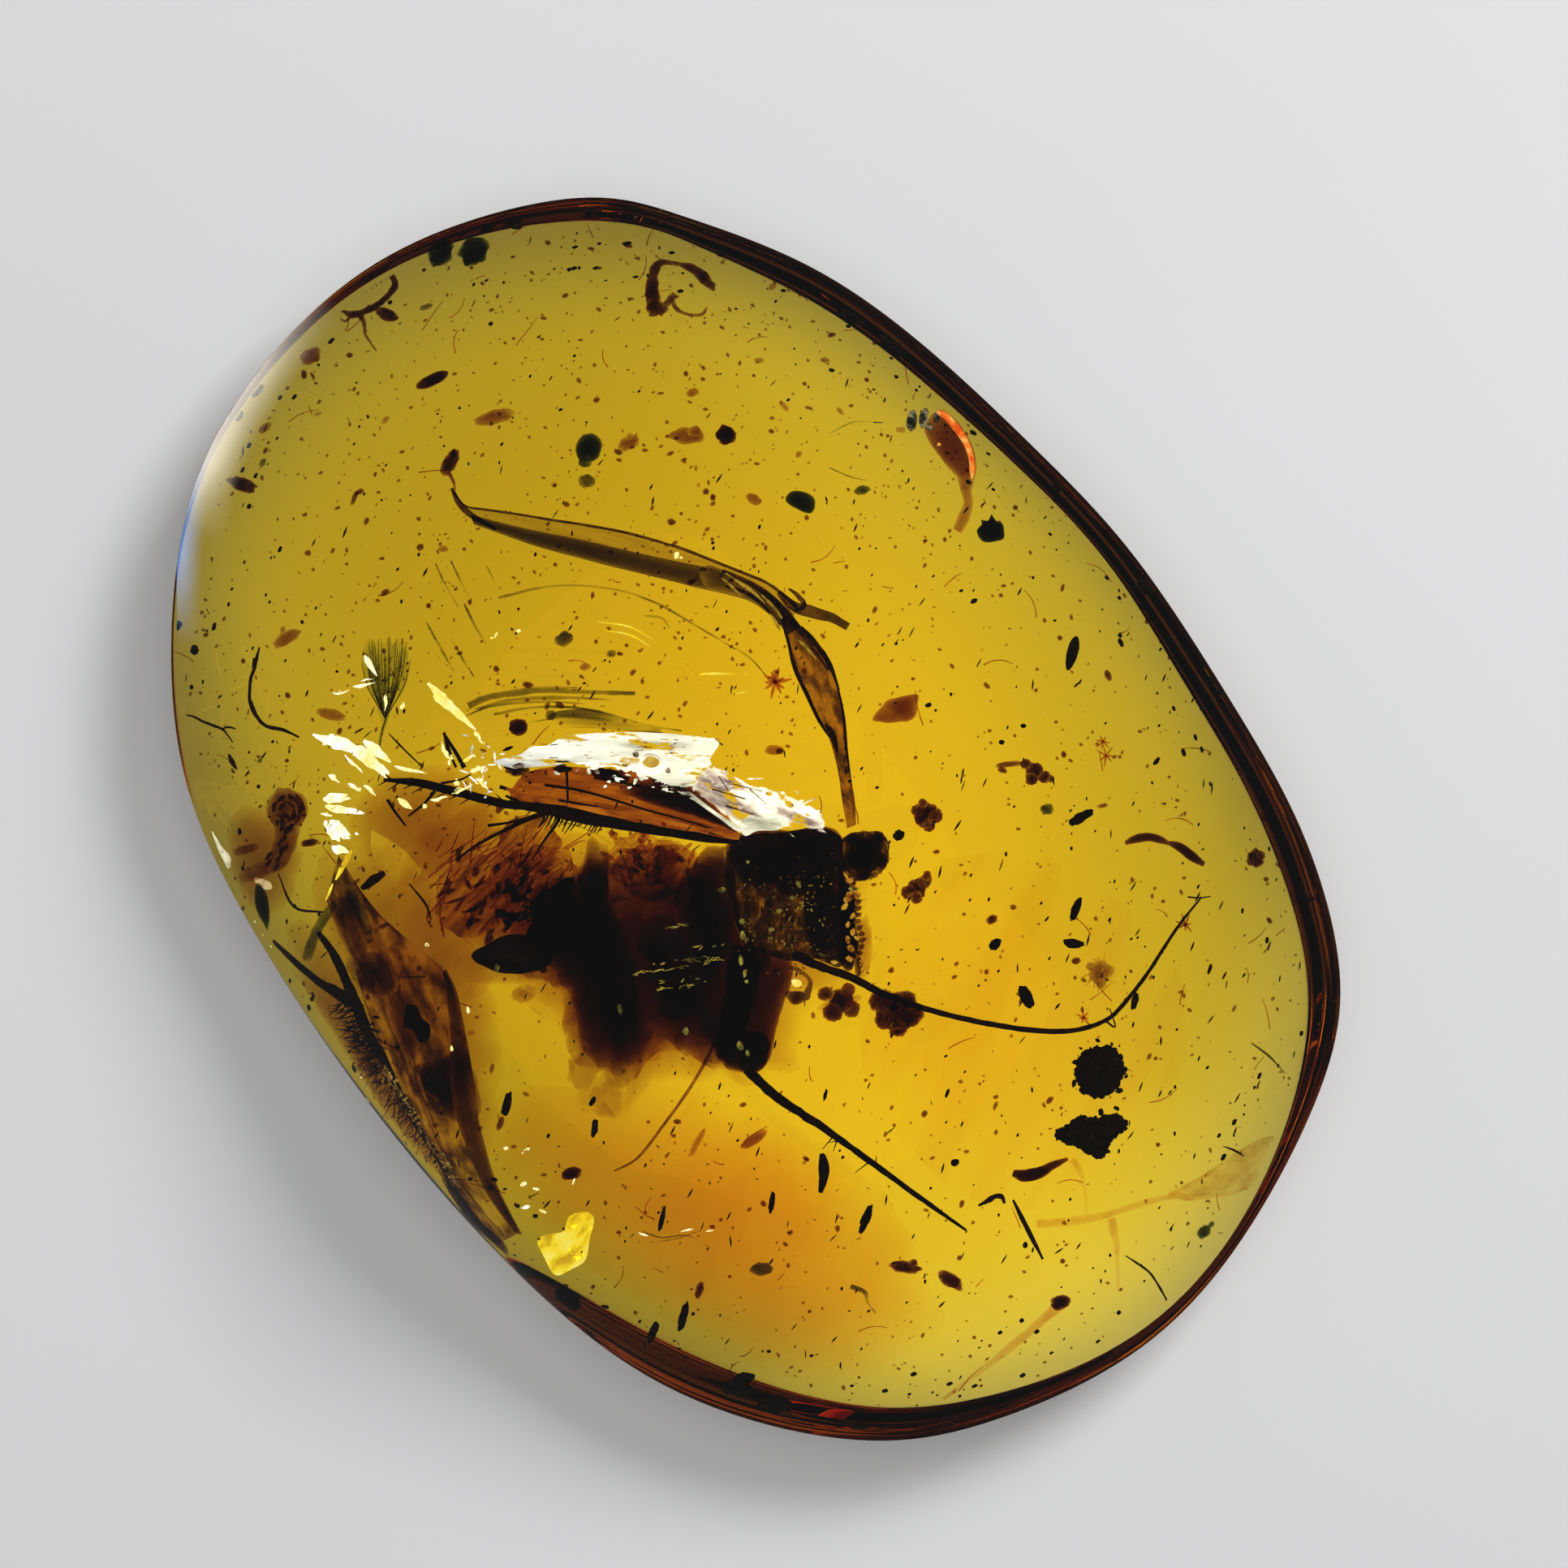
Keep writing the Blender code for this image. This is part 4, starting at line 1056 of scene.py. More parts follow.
def insect_hind_leg():
    """A see-through reddish thigh over a black lower edge, and the spined shin that leaves its knee."""
    film = bmesh.new()
    upper = (
        (-7.07, 1), (-6.6, 1.57), (-5.63, 1.77), (-4.29, 1.67), (-2.96, 1.57), (-1.77, 1.21), (-0.9, 0.49),
        (-0.15, -0.41),
    )
    lower = (
        (-7.02, 0.8), (-6.14, 0.59), (-5.01, 0.33), (-3.7, 0.03), (-2.49, -0.23), (-1.52, -0.41),
        (-0.75, -0.51), (-0.1, -0.57),
    )
    sheet(
        film, upper, lower, 0.22, z=PARTING + 0.15, lanes=12, per_span=6, sag=-0.45, wrinkle=0.04,
        grain=1.5, seed=4,
    )
    insect_piece(film, "insect_thigh", THIGH_FILM)
    patch = bmesh.new()
    pad(patch, (
        (-3.83, 1.16), (-2.9, 1.46), (-1.98, 1.31), (-1.21, 0.75), (-0.44, 0.03), (-0.28, -0.28),
        (-1, -0.03), (-1.88, 0.28), (-3.06, 0.64),
    ), PARTING + 0.75, 0.32, rings=8, rough=0.10, edge=1.2, seed=19)
    for i, (x, y, wide, tall, turn) in enumerate((
        (-6.86, 1.7, 0.35, 0.22, 0), (-5.58, 1.7, 0.22, 0.10, 0), (-4.29, 1.54, 0.42, 0.17, -5),
        (-3.78, 1.36, 0.25, 0.12, 0), (-2.6, 1.31, 0.22, 0.12, 10), (-2.08, 1.16, 0.2, 0.15, -30),
    )):
        lump(patch, (x, y, PARTING + 1.0), (wide, tall, 0.25), turn, rough=0.4, grain=2.5, detail=3, seed=i)
    insect_piece(patch, "insect_thigh_patch", DENSE)

    lines = bmesh.new()
    main_line = (
        (-10.77, 1.44), (-9.74, 1.34), (-8.87, 1.11), (-7.94, 0.85), (-7.17, 0.64), (-6.53, 0.57),
        (-5.83, 0.44), (-4.78, 0.21), (-3.37, -0.05), (-2.21, -0.31), (-1.23, -0.49), (-0.28, -0.62),
    )
    limb(lines, main_line, (
        0.05, 0.12, 0.13, 0.14, 0.14, 0.13, 0.19, 0.25, 0.25, 0.18, 0.13, 0.06
    ), sides=10, rough=0.12, grain=3, seed=1)
    for i, (path, widths, height) in enumerate((
        ((
            (-6.04, 1.21), (-5.06, 1.05), (-4.03, 0.75), (-3.01, 0.41), (-1.77, 0.05), (-0.39, -0.41)
        ), (0.045, 0.027), 0.45),
        (((-5.63, 0.75), (-4.6, 0.54), (-3.32, 0.26), (-1.9, -0.13), (-0.62, -0.44)), (0.04, 0.024), 0.3),
        (((-4.6, 1.41), (-3.32, 1.16), (-2.13, 0.75), (-1, 0.13), (-0.33, -0.28)), (0.035, 0.021), 0.6),
        (((-7.35, 1.18), (-6.78, 0.98), (-6.27, 0.72), (-5.83, 0.49)), (0.06, 0.036), 0.2),
        (((-7.17, 0.9), (-6.6, 0.64), (-5.89, 0.41)), (0.045, 0.027), 0.1),
        (((-5.4, 1.64), (-5.37, 1.11), (-5.35, 0.46)), (0.045, 0.027), 0.5),
        (((-8.58, -1.13), (-7.97, -0.64), (-7.17, -0.18), (-6.45, 0.18), (-5.83, 0.39)), (0.03, 0.1), 0.1),
        (((-6.37, -1.21), (-6.04, -0.59), (-5.68, -0.03), (-5.58, 0.23)), (0.021, 0.07), 0.1),
        (((-7.68, -0.03), (-6.96, 0.08), (-6.14, 0.33)), (0.05, 0.03), 0.15),
        (((-9.07, 1.31), (-8.51, 1.41), (-8.2, 1.57)), (0.04, 0.024), 0.1),
        (((-9.23, 1.08), (-9.53, 0.72), (-10, 0.33)), (0.05, 0.03), -0.1),
        (((-10.64, 0.85), (-10.38, 0.44), (-10.07, 0.03)), (0.05, 0.03), -0.1),
        (((-8.4, 1.77), (-8.66, 2.24), (-9.02, 2.83)), (0.07, 0.042), 0.2),
    )):
        limb(lines, path, widths, z=PARTING + height, sides=6, rough=0.15, grain=4, seed=i)
    draw = random.Random(11)
    for i in range(17):
        start = Vector((-5.9881, 0.3341)).lerp(Vector((-4.2611, 0.1491)), i / 16)
        end = start + Vector((-draw.uniform(0.15, 0.32), -draw.uniform(0.32, 0.6)))
        limb(
            lines, (start, (start + end) / 2 + Vector((0.03, 0)), end), (0.045, 0.015), sides=5, per_span=2
        )
    for i in range(26):
        along = i / 25
        start = Vector((-10.64, 1.44)).lerp(Vector((-6.14, 0.49)), along)
        side = 1 if i % 2 else -1
        end = start + Vector((-draw.uniform(0.2, 0.4), side * draw.uniform(0.12, 0.3)))
        bristle(lines, start, end, (0.03, 0.01), sides=4, per_span=1)
    insect_piece(lines, "insect_hind_leg", BLACK)
    # Painted highlights: thin red strips that glow along the thigh.
    tip = bmesh.new()
    limb(
        tip, ((-1.16, -0.23), (-0.69, -0.31), (-0.39, -0.41), (-0.18, -0.46)), (0.06, 0.11, 0.12, 0.06),
        z=PARTING + 1.2, rough=0.4, grain=3.0, seed=3,
    )
    limb(
        tip, ((-5.37, 0.59), (-4.09, 0.33), (-2.54, 0), (-1.11, -0.31)), (0.05, 0.11, 0.12, 0.08),
        heights=(0.03,) * 4, z=PARTING + 0.75, rough=0.4, seed=5,
    )
    limb(
        tip, ((-1.31, 1.16), (-0.9, 0.64), (-0.57, 0.18), (-0.33, -0.18)), (0.09, 0.12, 0.10, 0.05),
        heights=(0.04,) * 4, z=PARTING + 1.5, rough=0.4, seed=6,
    )
    limb(
        tip, ((-7.17, 1.11), (-6.6, 0.9), (-6.04, 0.67)), (0.05, 0.09, 0.04), heights=(0.03,) * 3,
        z=PARTING + 0.8, rough=0.3, seed=7,
    )
    insect_piece(tip, "insect_thigh_lights", GLOWING_RED_CUTICLE)


def insect_threads():
    """The long feeler with two clots on it, the front shin, and a loose hair under the belly."""
    feeler = bmesh.new()
    path = (
        (1.44, -3.98), (2.08, -4.29), (3.24, -4.7), (4.14, -5.17), (5.42, -5.63), (7.22, -6.07),
        (8.89, -6.3), (10.05, -6.25), (10.95, -5.91), (11.54, -5.32), (12.16, -4.55), (13, -3.39),
        (13.85, -2.44),
    )
    limb(feeler, path, (
        0.14, 0.13, 0.12, 0.11, 0.085, 0.085, 0.085, 0.075, 0.07, 0.07, 0.06, 0.05, 0.03
    ), per_span=10, rough=0.2, grain=5, seed=2)
    fine = ((10.82, -5.99), (11.13, -6.19), (10.95, -5.63))
    limb(feeler, fine, (0.04, 0.02), sides=5)
    limb(feeler, ((13.39, -2.44), (13.78, -2.47), (14.16, -2.42)), (0.03, 0.02), sides=5)
    insect_piece(feeler, "insect_feeler", DARK_BROWN)
    clots = bmesh.new()
    for i, (x, y, size) in enumerate((
        (4.55, -5.68, 0.60), (4.09, -5.37, 0.36), (4.96, -5.78, 0.40), (4.6, -6.09, 0.36),
        (4.19, -5.94, 0.3), (4.86, -5.37, 0.3), (2.9, -5.37, 0.38), (2.65, -5.73, 0.30),
        (2.44, -5.17, 0.24), (3.21, -5.63, 0.26), (3.11, -5.06, 0.22),
    )):
        lump(
            clots, (x, y, PARTING + 0.05 * (i % 3)), (size, 0.9 * size, 0.7 * size), 25 * i, rough=0.22,
            grain=3.2, detail=4, seed=30 + i,
        )
    insect_piece(clots, "insect_feeler_clots", CLOT)
    shin = bmesh.new()
    path = (
        (0.08, -7.38), (0.39, -7.68), (1.05, -8.25), (2.08, -8.94), (3.11, -9.69), (4.14, -10.46),
        (5.42, -11.41), (6.71, -12.36),
    )
    limb(
        shin, path, (0.17, 0.15, 0.14, 0.12, 0.10, 0.09, 0.08, 0.04), per_span=8, rough=0.2, grain=4, seed=3
    )
    draw = random.Random(3)
    for _ in range(22):
        along = draw.uniform(0.05, 0.6)
        start = Vector((0.39, -7.68)).lerp(Vector((6.71, -12.36)), along)
        end = start + Vector((draw.uniform(-0.5, 0.1), draw.uniform(-0.45, 0.3)))
        bristle(shin, start, end, (0.025, 0.01), sides=4, per_span=1)
    insect_piece(shin, "insect_front_shin", BLACK)
    hair = bmesh.new()
    path = (
        (-0.28, -4.19), (-0.36, -4.93), (-0.69, -5.96), (-1.21, -7.07), (-1.82, -8.04), (-2.6, -9.07),
        (-3.32, -9.95), (-4.01, -10.31),
    )
    limb(
        hair, path, (0.09, 0.08, 0.07, 0.06, 0.055, 0.05, 0.045, 0.03), z=PARTING + 0.3, sides=6,
        per_span=8, rough=0.2, grain=5, seed=4,
    )
    insect_piece(hair, "insect_hair", HAIR)


def insect_glints():
    """Painted glints: bright crumbs and rows of slits that glow, in place of light off thin air films on the
    body.
    """
    spots = bmesh.new()
    draw = random.Random(21)
    for i, (x, y, wide, tall, turn) in enumerate((
        (-0.75, -2.06, 0.13, 0.08, 10), (-0.1, -3.01, 0.10, 0.09, 0), (-0.08, -3.44, 0.08, 0.13, 0),
        (-0.13, -4.19, 0.07, 0.15, 10), (0, -4.55, 0.07, 0.13, -10), (0.05, -4.81, 0.06, 0.06, 0),
        (-7.38, -4.47, 0.08, 0.10, 0), (-3.88, -5.65, 0.07, 0.14, 10), (-1.9, -6.27, 0.10, 0.12, 0),
        (1.64, -1.88, 0.08, 0.12, 20), (1.44, -2.29, 0.07, 0.07, 0), (1.05, -2.7, 0.09, 0.07, 30),
        (3.26, -2.03, 0.10, 0.07, 0), (-0.15, -6.73, 0.10, 0.14, 20), (0.1, -6.96, 0.06, 0.10, 20),
        (2.34, -4.03, 0.12, 0.05, -25), (0.08, -1.21, 0.06, 0.05, 0), (0.8, -3.26, 0.08, 0.06, 0),
    )):
        lump(spots, (x, y, PARTING + 1.35), (wide, tall, 0.05), turn, rough=0.4, grain=1.0, seed=i)
    for start, end, count in (
        ((-3.37, -4.63), (-0.64, -4.09), 24), ((-3.06, -4.39), (-0.9, -4.03), 9),
        ((-2.75, -5.04), (-0.9, -4.78), 10), ((-2.9, -3.21), (-1.41, -3.11), 4),
        ((-3.16, -4.91), (-1.46, -4.7), 6), ((-1.77, -3.78), (-0.54, -3.73), 4),
    ):
        for i in range(count):
            place = Vector(start).lerp(Vector(end), draw.random())
            place.y += draw.gauss(0, 0.03)
            size = (draw.uniform(0.03, 0.2), draw.uniform(0.012, 0.03), 0.03)
            lump(spots, (*place, PARTING + 1.2), size, draw.gauss(12, 16), rough=0.5, detail=1, seed=i)
    insect_piece(spots, "insect_glints", GREY_GLINT)
    # Speckles on the head: their own mottled colour with a painted glint.
    warm = bmesh.new()
    for middle, wide, tall, count in (
        ((1.21, -3.26), 0.45, 0.42, 70), ((0.8, -2.39), 0.6, 0.5, 30), ((1.67, -2.18), 0.18, 0.5, 30),
        ((2.39, -2.7), 0.3, 0.8, 30), ((0.13, -3.01), 0.2, 0.6, 22),
    ):
        for i in range(count):
            place = Vector(middle) + astray(draw, wide, tall)
            size = (draw.uniform(0.015, 0.07), draw.uniform(0.012, 0.04), 0.03)
            lump(
                warm, (*place, PARTING + 1.25 + draw.uniform(0, 0.2)), size, draw.gauss(80, 40), rough=0.5,
                detail=1, seed=i,
            )
    insect_piece(warm, "insect_head_glint_speckles", WARM_GLINT_SPECKLE)


# ---------------------------------------------------------------- plant and insect scraps


def leaf():
    """A rolled grass-like strip: a pale upper turn, a painted shade over the lower fold, a twig and a brown
    blade.
    """
    strip = bmesh.new()
    upper = (
        (-8.87, 10.07), (-8.46, 9.59), (-7.79, 9.46), (-6.81, 9.3), (-5.89, 9.12), (-4.78, 8.94),
        (-3.55, 8.69), (-2.21, 8.28), (-1.34, 7.89), (-0.36, 7.48), (0.36, 7.17), (0.87, 6.81), (1.31, 6.4),
    )
    lower = (
        (-8.82, 9.89), (-8.4, 9.3), (-7.53, 8.87), (-6.37, 8.43), (-5.14, 8.07), (-3.98, 7.76),
        (-2.83, 7.4), (-1.77, 7.14), (-0.9, 6.96), (-0.18, 6.78), (0.26, 6.53), (0.69, 6.07), (1.11, 5.68),
    )
    sheet(strip, upper, lower, 0.13, lanes=8, per_span=5, sag=-0.18, wrinkle=0.03, grain=1.2)
    add_piece(strip, "leaf_strip", LEAF_LIGHT, ("leaf_strip",))

    # The lower fold is a dark sheet of painted shade.
    fold = bmesh.new()
    inner = (
        (-8.3, 9.33), (-7.38, 9.07), (-6.14, 8.76), (-4.93, 8.51), (-3.65, 8.2), (-2.34, 7.89),
        (-1.36, 7.63), (-0.36, 7.27), (0.41, 6.89), (1, 6.4), (1.41, 5.83),
    )
    outer = (
        (-8.2, 9.02), (-7.43, 8.74), (-6.35, 8.35), (-5.09, 7.99), (-3.73, 7.63), (-2.39, 7.3),
        (-1.52, 7.02), (-0.57, 6.78), (0.03, 6.55), (0.59, 6.12), (1.05, 5.58),
    )
    sheet(
        fold, inner, outer, 0.62, z=PARTING - 0.05, lanes=8, per_span=5, sag=0.1, wrinkle=0.03, grain=1.5,
        seed=2,
    )
    pad(fold, (
        (-1.46, 7.63), (-0.9, 7.58), (-0.36, 7.22), (-0.28, 6.81), (-1, 6.91), (-1.46, 7.17)
    ), PARTING - 0.1, 0.25, rough=0.15, edge=0.9, seed=3)
    add_piece(fold, "leaf_fold", LEAF_FOLD_SHADE, ("leaf_strip",))

    edges = bmesh.new()
    limb(edges, upper, (0.03, 0.05), z=PARTING + 0.02, sides=6, per_span=5, rough=0.3, grain=4)
    limb(edges, (
        (-8.87, 10.13), (-8.64, 9.66), (-8.25, 9.28), (-7.53, 8.87)
    ), (0.05, 0.09, 0.09, 0.05), sides=6)
    limb(edges, (
        (-0.9, 7.53), (-0.1, 7.17), (0.54, 6.71), (1.11, 6.09), (1.7, 5.32), (2.29, 4.5)
    ), (0.05, 0.07, 0.09, 0.10, 0.07, 0.03), z=PARTING + 0.08, rough=0.3, grain=3, seed=1)
    limb(
        edges, ((0.75, 6.86), (1.18, 6.45), (1.7, 6.25), (2.29, 6.09), (2.85, 5.78)),
        (0.06, 0.16, 0.17, 0.15, 0.12), heights=(0.06, 0.09, 0.09, 0.09, 0.08), sides=10, rough=0.2, seed=6,
    )
    limb(
        edges, ((-0.8, 7.07), (-0.18, 6.86), (0.39, 6.4), (0.85, 5.89)), (0.03, 0.05, 0.05, 0.03), sides=6,
        rough=0.3, seed=8,
    )
    limb(
        edges, ((1.05, 6.96), (1.31, 6.76), (1.52, 6.45), (1.26, 6.3)), (0.03, 0.08, 0.08, 0.04), sides=6,
        rough=0.4, grain=3.0, seed=9,
    )
    # Painted highlights along the fold.
    shine = bmesh.new()
    for path in (
        ((-0.8, 7.48), (-0.36, 7.17), (0.03, 6.91), (0.39, 6.55)),
        ((0.28, 6.81), (0.64, 6.45), (0.9, 6.09)), ((-0.9, 7.32), (-0.59, 7.07), (-0.28, 6.76)),
        ((1.36, 5.47), (1.67, 5.17), (1.93, 4.86)), ((0.54, 6.25), (0.69, 6.04), (0.85, 5.73)),
    ):
        limb(
            shine, path, [0.05 if 0 < k < len(path) - 1 else 0.02 for k in range(len(path))],
            heights=[0.02] * len(path), z=PARTING + 0.35, sides=5, rough=0.4, grain=3.0,
        )
    add_piece(shine, "leaf_fold_lights", LEAF_EDGE_HIGHLIGHT, ("leaf_strip",))
    add_piece(edges, "leaf_ribs", LEAF_RIB, ("leaf_strip",))

    blade = bmesh.new()
    left = (
        (0.8, 6.19), (1, 5.55), (1.23, 4.6), (1.67, 3.7), (2.03, 3.01), (2.39, 2.52), (2.62, 1.88),
        (2.78, 1.23), (2.9, 0.54), (3.06, -0.23),
    )
    right = (
        (1.31, 5.99), (1.7, 5.47), (2.18, 4.81), (2.6, 4.06), (2.8, 3.29), (2.9, 2.7), (2.96, 2.03),
        (3.11, 1.31), (3.26, 0.59), (3.32, -0.13),
    )
    sheet(blade, left, right, 0.14, lanes=8, per_span=5, sag=0.1, wrinkle=0.04, grain=1.5, seed=7)
    add_piece(blade, "leaf_blade", LEAF_BROWN, ("leaf_strip",))
    rim = bmesh.new()
    limb(
        rim, ((1.44, 5.83), (1.88, 5.32), (2.34, 4.65), (2.65, 3.88)), (0.03, 0.08, 0.07, 0.03),
        z=PARTING + 0.06, sides=6, rough=0.3, grain=4,
    )
    limb(rim, ((2.29, 2.9), (2.54, 2.52), (2.7, 2)), (0.04, 0.10, 0.03), rough=0.3, grain=4)
    limb(
        rim, ((0.85, 6.09), (1.05, 5.47), (1.31, 4.6), (1.72, 3.73), (2.13, 2.96), (2.44, 2.49)),
        (0.02, 0.045, 0.05, 0.05, 0.045, 0.02), z=PARTING + 0.04, sides=6, rough=0.45, grain=3.5, seed=5,
    )
    limb(
        rim, ((2.6, 3.98), (2.8, 3.21), (2.96, 2.13), (3.16, 0.98)), (0.03, 0.05, 0.04, 0.02),
        z=PARTING + 0.04, sides=6, rough=0.4, grain=3.5, seed=6,
    )
    add_piece(rim, "leaf_blade_edge", DARK_BROWN, ("leaf_strip",))


def scraps():
    tuft = bmesh.new()
    blade = (
        (-10.82, 3.16), (-11.03, 3.73), (-11.23, 4.19), (-11.41, 4.65), (-11.49, 5.17), (-11.36, 5.58),
        (-11.18, 5.68), (-11.08, 5.5), (-10.92, 5.78), (-10.79, 5.55), (-10.67, 5.73), (-10.54, 5.5),
        (-10.36, 5.71), (-10.2, 5.47), (-10.07, 5.17), (-10.1, 4.7), (-10.23, 4.24), (-10.46, 3.73),
        (-10.64, 3.32),
    )
    pad(tuft, blade, PARTING, 0.09, (-10.77, 4.81), per_span=3, rough=0.03, grain=2.5, edge=0.6, seed=8)
    limb(
        tuft, ((-10.97, 2.13), (-10.9, 2.6), (-10.79, 3.01), (-10.72, 3.42)), (0.03, 0.05, 0.08, 0.12),
        heights=(0.03, 0.04, 0.06, 0.07), rough=0.15,
    )
    add_piece(tuft, "feathery_tuft", GREY_FIBRE, ("feathery_tuft",))
    ribs = bmesh.new()
    draw = random.Random(8)
    for i in range(20):
        side = -1 + 2 * i / 19 + draw.gauss(0, 0.04)
        start = Vector((-10.74, 3.26)) + Vector((0.10 * side, 0.2 * abs(side)))
        end = Vector((-10.77, 5.47)) + Vector((0.72 * side, draw.uniform(-0.35, 0.3) - 0.25 * side * side))
        middle = start.lerp(end, 0.5) + Vector((0.12 * side, 0))
        limb(
            ribs, (start, middle, end), (0.014, 0.024, 0.010), z=PARTING + draw.uniform(-0.05, 0.16),
            sides=4, rough=0.4, grain=3,
        )
        for _ in range(2):
            along = draw.uniform(0.3, 0.85)
            root = start.lerp(end, along) + Vector((0.06 * side, 0))
            turn = math.radians(90 + 26 * draw.choice((-1, 1)))
            tip = root + draw.uniform(0.12, 0.3) * heading(turn)
            limb(ribs, (root, (root + tip) / 2, tip), (0.014, 0.008), z=PARTING + 0.1, sides=4, per_span=2)
    limb(ribs, (
        (-10.92, 2.13), (-10.87, 2.78), (-10.74, 3.29), (-10.64, 3.93)
    ), (0.02, 0.03, 0.03, 0.015), z=PARTING + 0.12, sides=5)
    add_piece(ribs, "feathery_tuft_ribs", DARK_RIB, ("feathery_tuft",))

    knob = bmesh.new()
    lump(knob, (-13.9, 0.54, PARTING), (0.72, 0.70, 0.42), rough=0.14, grain=2.4, detail=4, seed=41)
    stem = (
        (-13.9, 0.08), (-13.98, -0.44), (-14.21, -0.9), (-14.62, -1.21), (-15.19, -1.46), (-15.7, -1.67),
        (-16.14, -1.9),
    )
    limb(
        knob, stem, (0.46, 0.40, 0.38, 0.30, 0.24, 0.2, 0.1),
        heights=(0.3, 0.3, 0.25, 0.2, 0.14, 0.1, 0.05), sides=10, rough=0.25, seed=42,
    )
    add_piece(knob, "stalked_knob", KNOB, ("stalked_knob",))
    inner = bmesh.new()
    draw = random.Random(41)
    for i in range(26):
        turn, reach = draw.uniform(0, 2 * math.pi), draw.uniform(0.1, 0.62)
        place = Vector((-13.9, 0.49)) + reach * heading(turn)
        lump(
            inner, (*place, PARTING + draw.uniform(-0.1, 0.3)),
            (draw.uniform(0.08, 0.22), draw.uniform(0.05, 0.1), 0.08), math.degrees(turn) + 90, rough=0.4,
            seed=i,
        )
    for i in range(12):
        place = Vector((-13.93, 0.08)).lerp(Vector((-14.57, -1.26)), i / 11)
        place += Vector((draw.uniform(-0.25, 0.25), 0))
        lump(
            inner, (*place, PARTING + 0.1), (draw.uniform(0.1, 0.25), 0.07, 0.1), draw.uniform(30, 100),
            rough=0.4, seed=i,
        )
    lump(inner, (-13.11, -0.44, PARTING - 0.2), (0.3, 0.12, 0.12), 5, rough=0.35, detail=3, seed=44)
    add_piece(inner, "stalked_knob_folds", BROWN_LITTER, ("stalked_knob",))

    shell = bmesh.new()
    pad(shell, (
        (5.37, 12.05), (5.58, 12.52), (6.01, 12.88), (6.48, 12.57), (6.89, 11.95), (7.04, 11.26),
        (6.99, 10.61), (6.66, 10.36), (6.19, 10.72), (5.73, 11.33),
    ), PARTING, 0.5, per_span=6, rough=0.05, edge=0.6, seed=45)
    limb(
        shell, ((6.66, 10.67), (6.63, 10.15), (6.68, 9.69), (6.48, 9.17), (6.27, 8.76)),
        (0.34, 0.20, 0.17, 0.20, 0.15), heights=(0.3, 0.18, 0.16, 0.2, 0.14), sides=10, rough=0.15, seed=46,
    )
    limb(shell, ((4.75, 12.03), (4.45, 12)), (0.12, 0.085), (0.06, 0.03), rough=0.3, seed=47)
    add_piece(shell, "beetle_fragment", BEETLE_BROWN, ("beetle_fragment",))
    # The wing case's own orange, brightened by a painted glow.
    wing_case = bmesh.new()
    outer = (
        (5.99, 12.93), (6.32, 12.82), (6.66, 12.46), (6.94, 11.95), (7.07, 11.39), (7.07, 10.92),
        (6.96, 10.61),
    )
    inner = (
        (6.01, 12.77), (6.22, 12.59), (6.48, 12.26), (6.76, 11.8), (6.89, 11.33), (6.89, 10.92),
        (6.91, 10.67),
    )
    sheet(wing_case, outer, inner, 0.2, z=PARTING + 0.5, lanes=6, per_span=6, sag=-0.1)
    lump(wing_case, (5.94, 11.72, PARTING + 0.6), (0.07, 0.05, 0.04), 40, rough=0.3)
    add_piece(wing_case, "beetle_wing_case", ORANGE, ("beetle_fragment",))
    # Grey plates with a painted glow in their colour.
    plates = bmesh.new()
    for i, (x, y, wide, tall, turn) in enumerate((
        (4.99, 12.36, 0.17, 0.38, -12), (5.42, 12.52, 0.15, 0.38, -16), (5.86, 12.59, 0.10, 0.24, -20),
        (5.58, 12.21, 0.16, 0.12, 20),
    )):
        lump(
            plates, (x, y, PARTING + 0.06 * (i % 2)), (wide, tall, 0.14), turn, rough=0.2, detail=3,
            seed=50 + i,
        )
        lump(
            plates, (x + 0.02, y - 0.05, PARTING + 0.2), (0.45 * wide, 0.5 * tall, 0.05), turn, rough=0.3,
            seed=60 + i,
        )
    add_piece(plates, "beetle_plates", GREY_PLATE_GLOW, ("beetle_fragment",))

    curl = bmesh.new()
    for i, (path, widths) in enumerate((
        ((
            (-2.21, 17.37), (-2.67, 17.42), (-2.93, 17.17), (-3.03, 16.65), (-3.06, 16.01), (-3.03, 15.45)
        ), (0.09, 0.13, 0.16, 0.17, 0.22, 0.14)),
        ((
            (-2.39, 17.4), (-2.03, 17.35), (-1.64, 17.17), (-1.36, 16.88), (-1.11, 16.47)
        ), (0.09, 0.13, 0.19, 0.20, 0.07)),
        ((
            (-2.9, 15.55), (-2.65, 15.86), (-2.39, 16.27), (-2.44, 15.96), (-2.24, 15.65), (-1.88, 15.55),
            (-1.52, 15.6), (-1.36, 15.86),
        ), (0.16, 0.12, 0.08, 0.10, 0.07, 0.06, 0.06, 0.04)),
    )):
        limb(
            curl, path, widths, heights=[0.7 * w for w in widths], per_span=5, rough=0.4, grain=3,
            seed=55 + i,
        )
    limb(
        curl, ((-2.75, 17.5), (-2.9, 17.66)), (0.05, 0.035), (0.035, 0.014), per_span=5, rough=0.4, grain=3,
        seed=58,
    )
    for i, (x, y, size) in enumerate((
        (-2.98, 15.81, 0.24), (-1.46, 16.99, 0.2), (-1.21, 16.68, 0.14), (-2.75, 15.7, 0.15),
        (-2.49, 16.06, 0.13),
    )):
        lump(
            curl, (x, y, PARTING), (size, 1.2 * size, 0.7 * size), 40 * i, rough=0.4, detail=3, seed=60 + i
        )
    add_piece(curl, "curled_fragment", BROWN_LITTER, ("curled_fragment",))

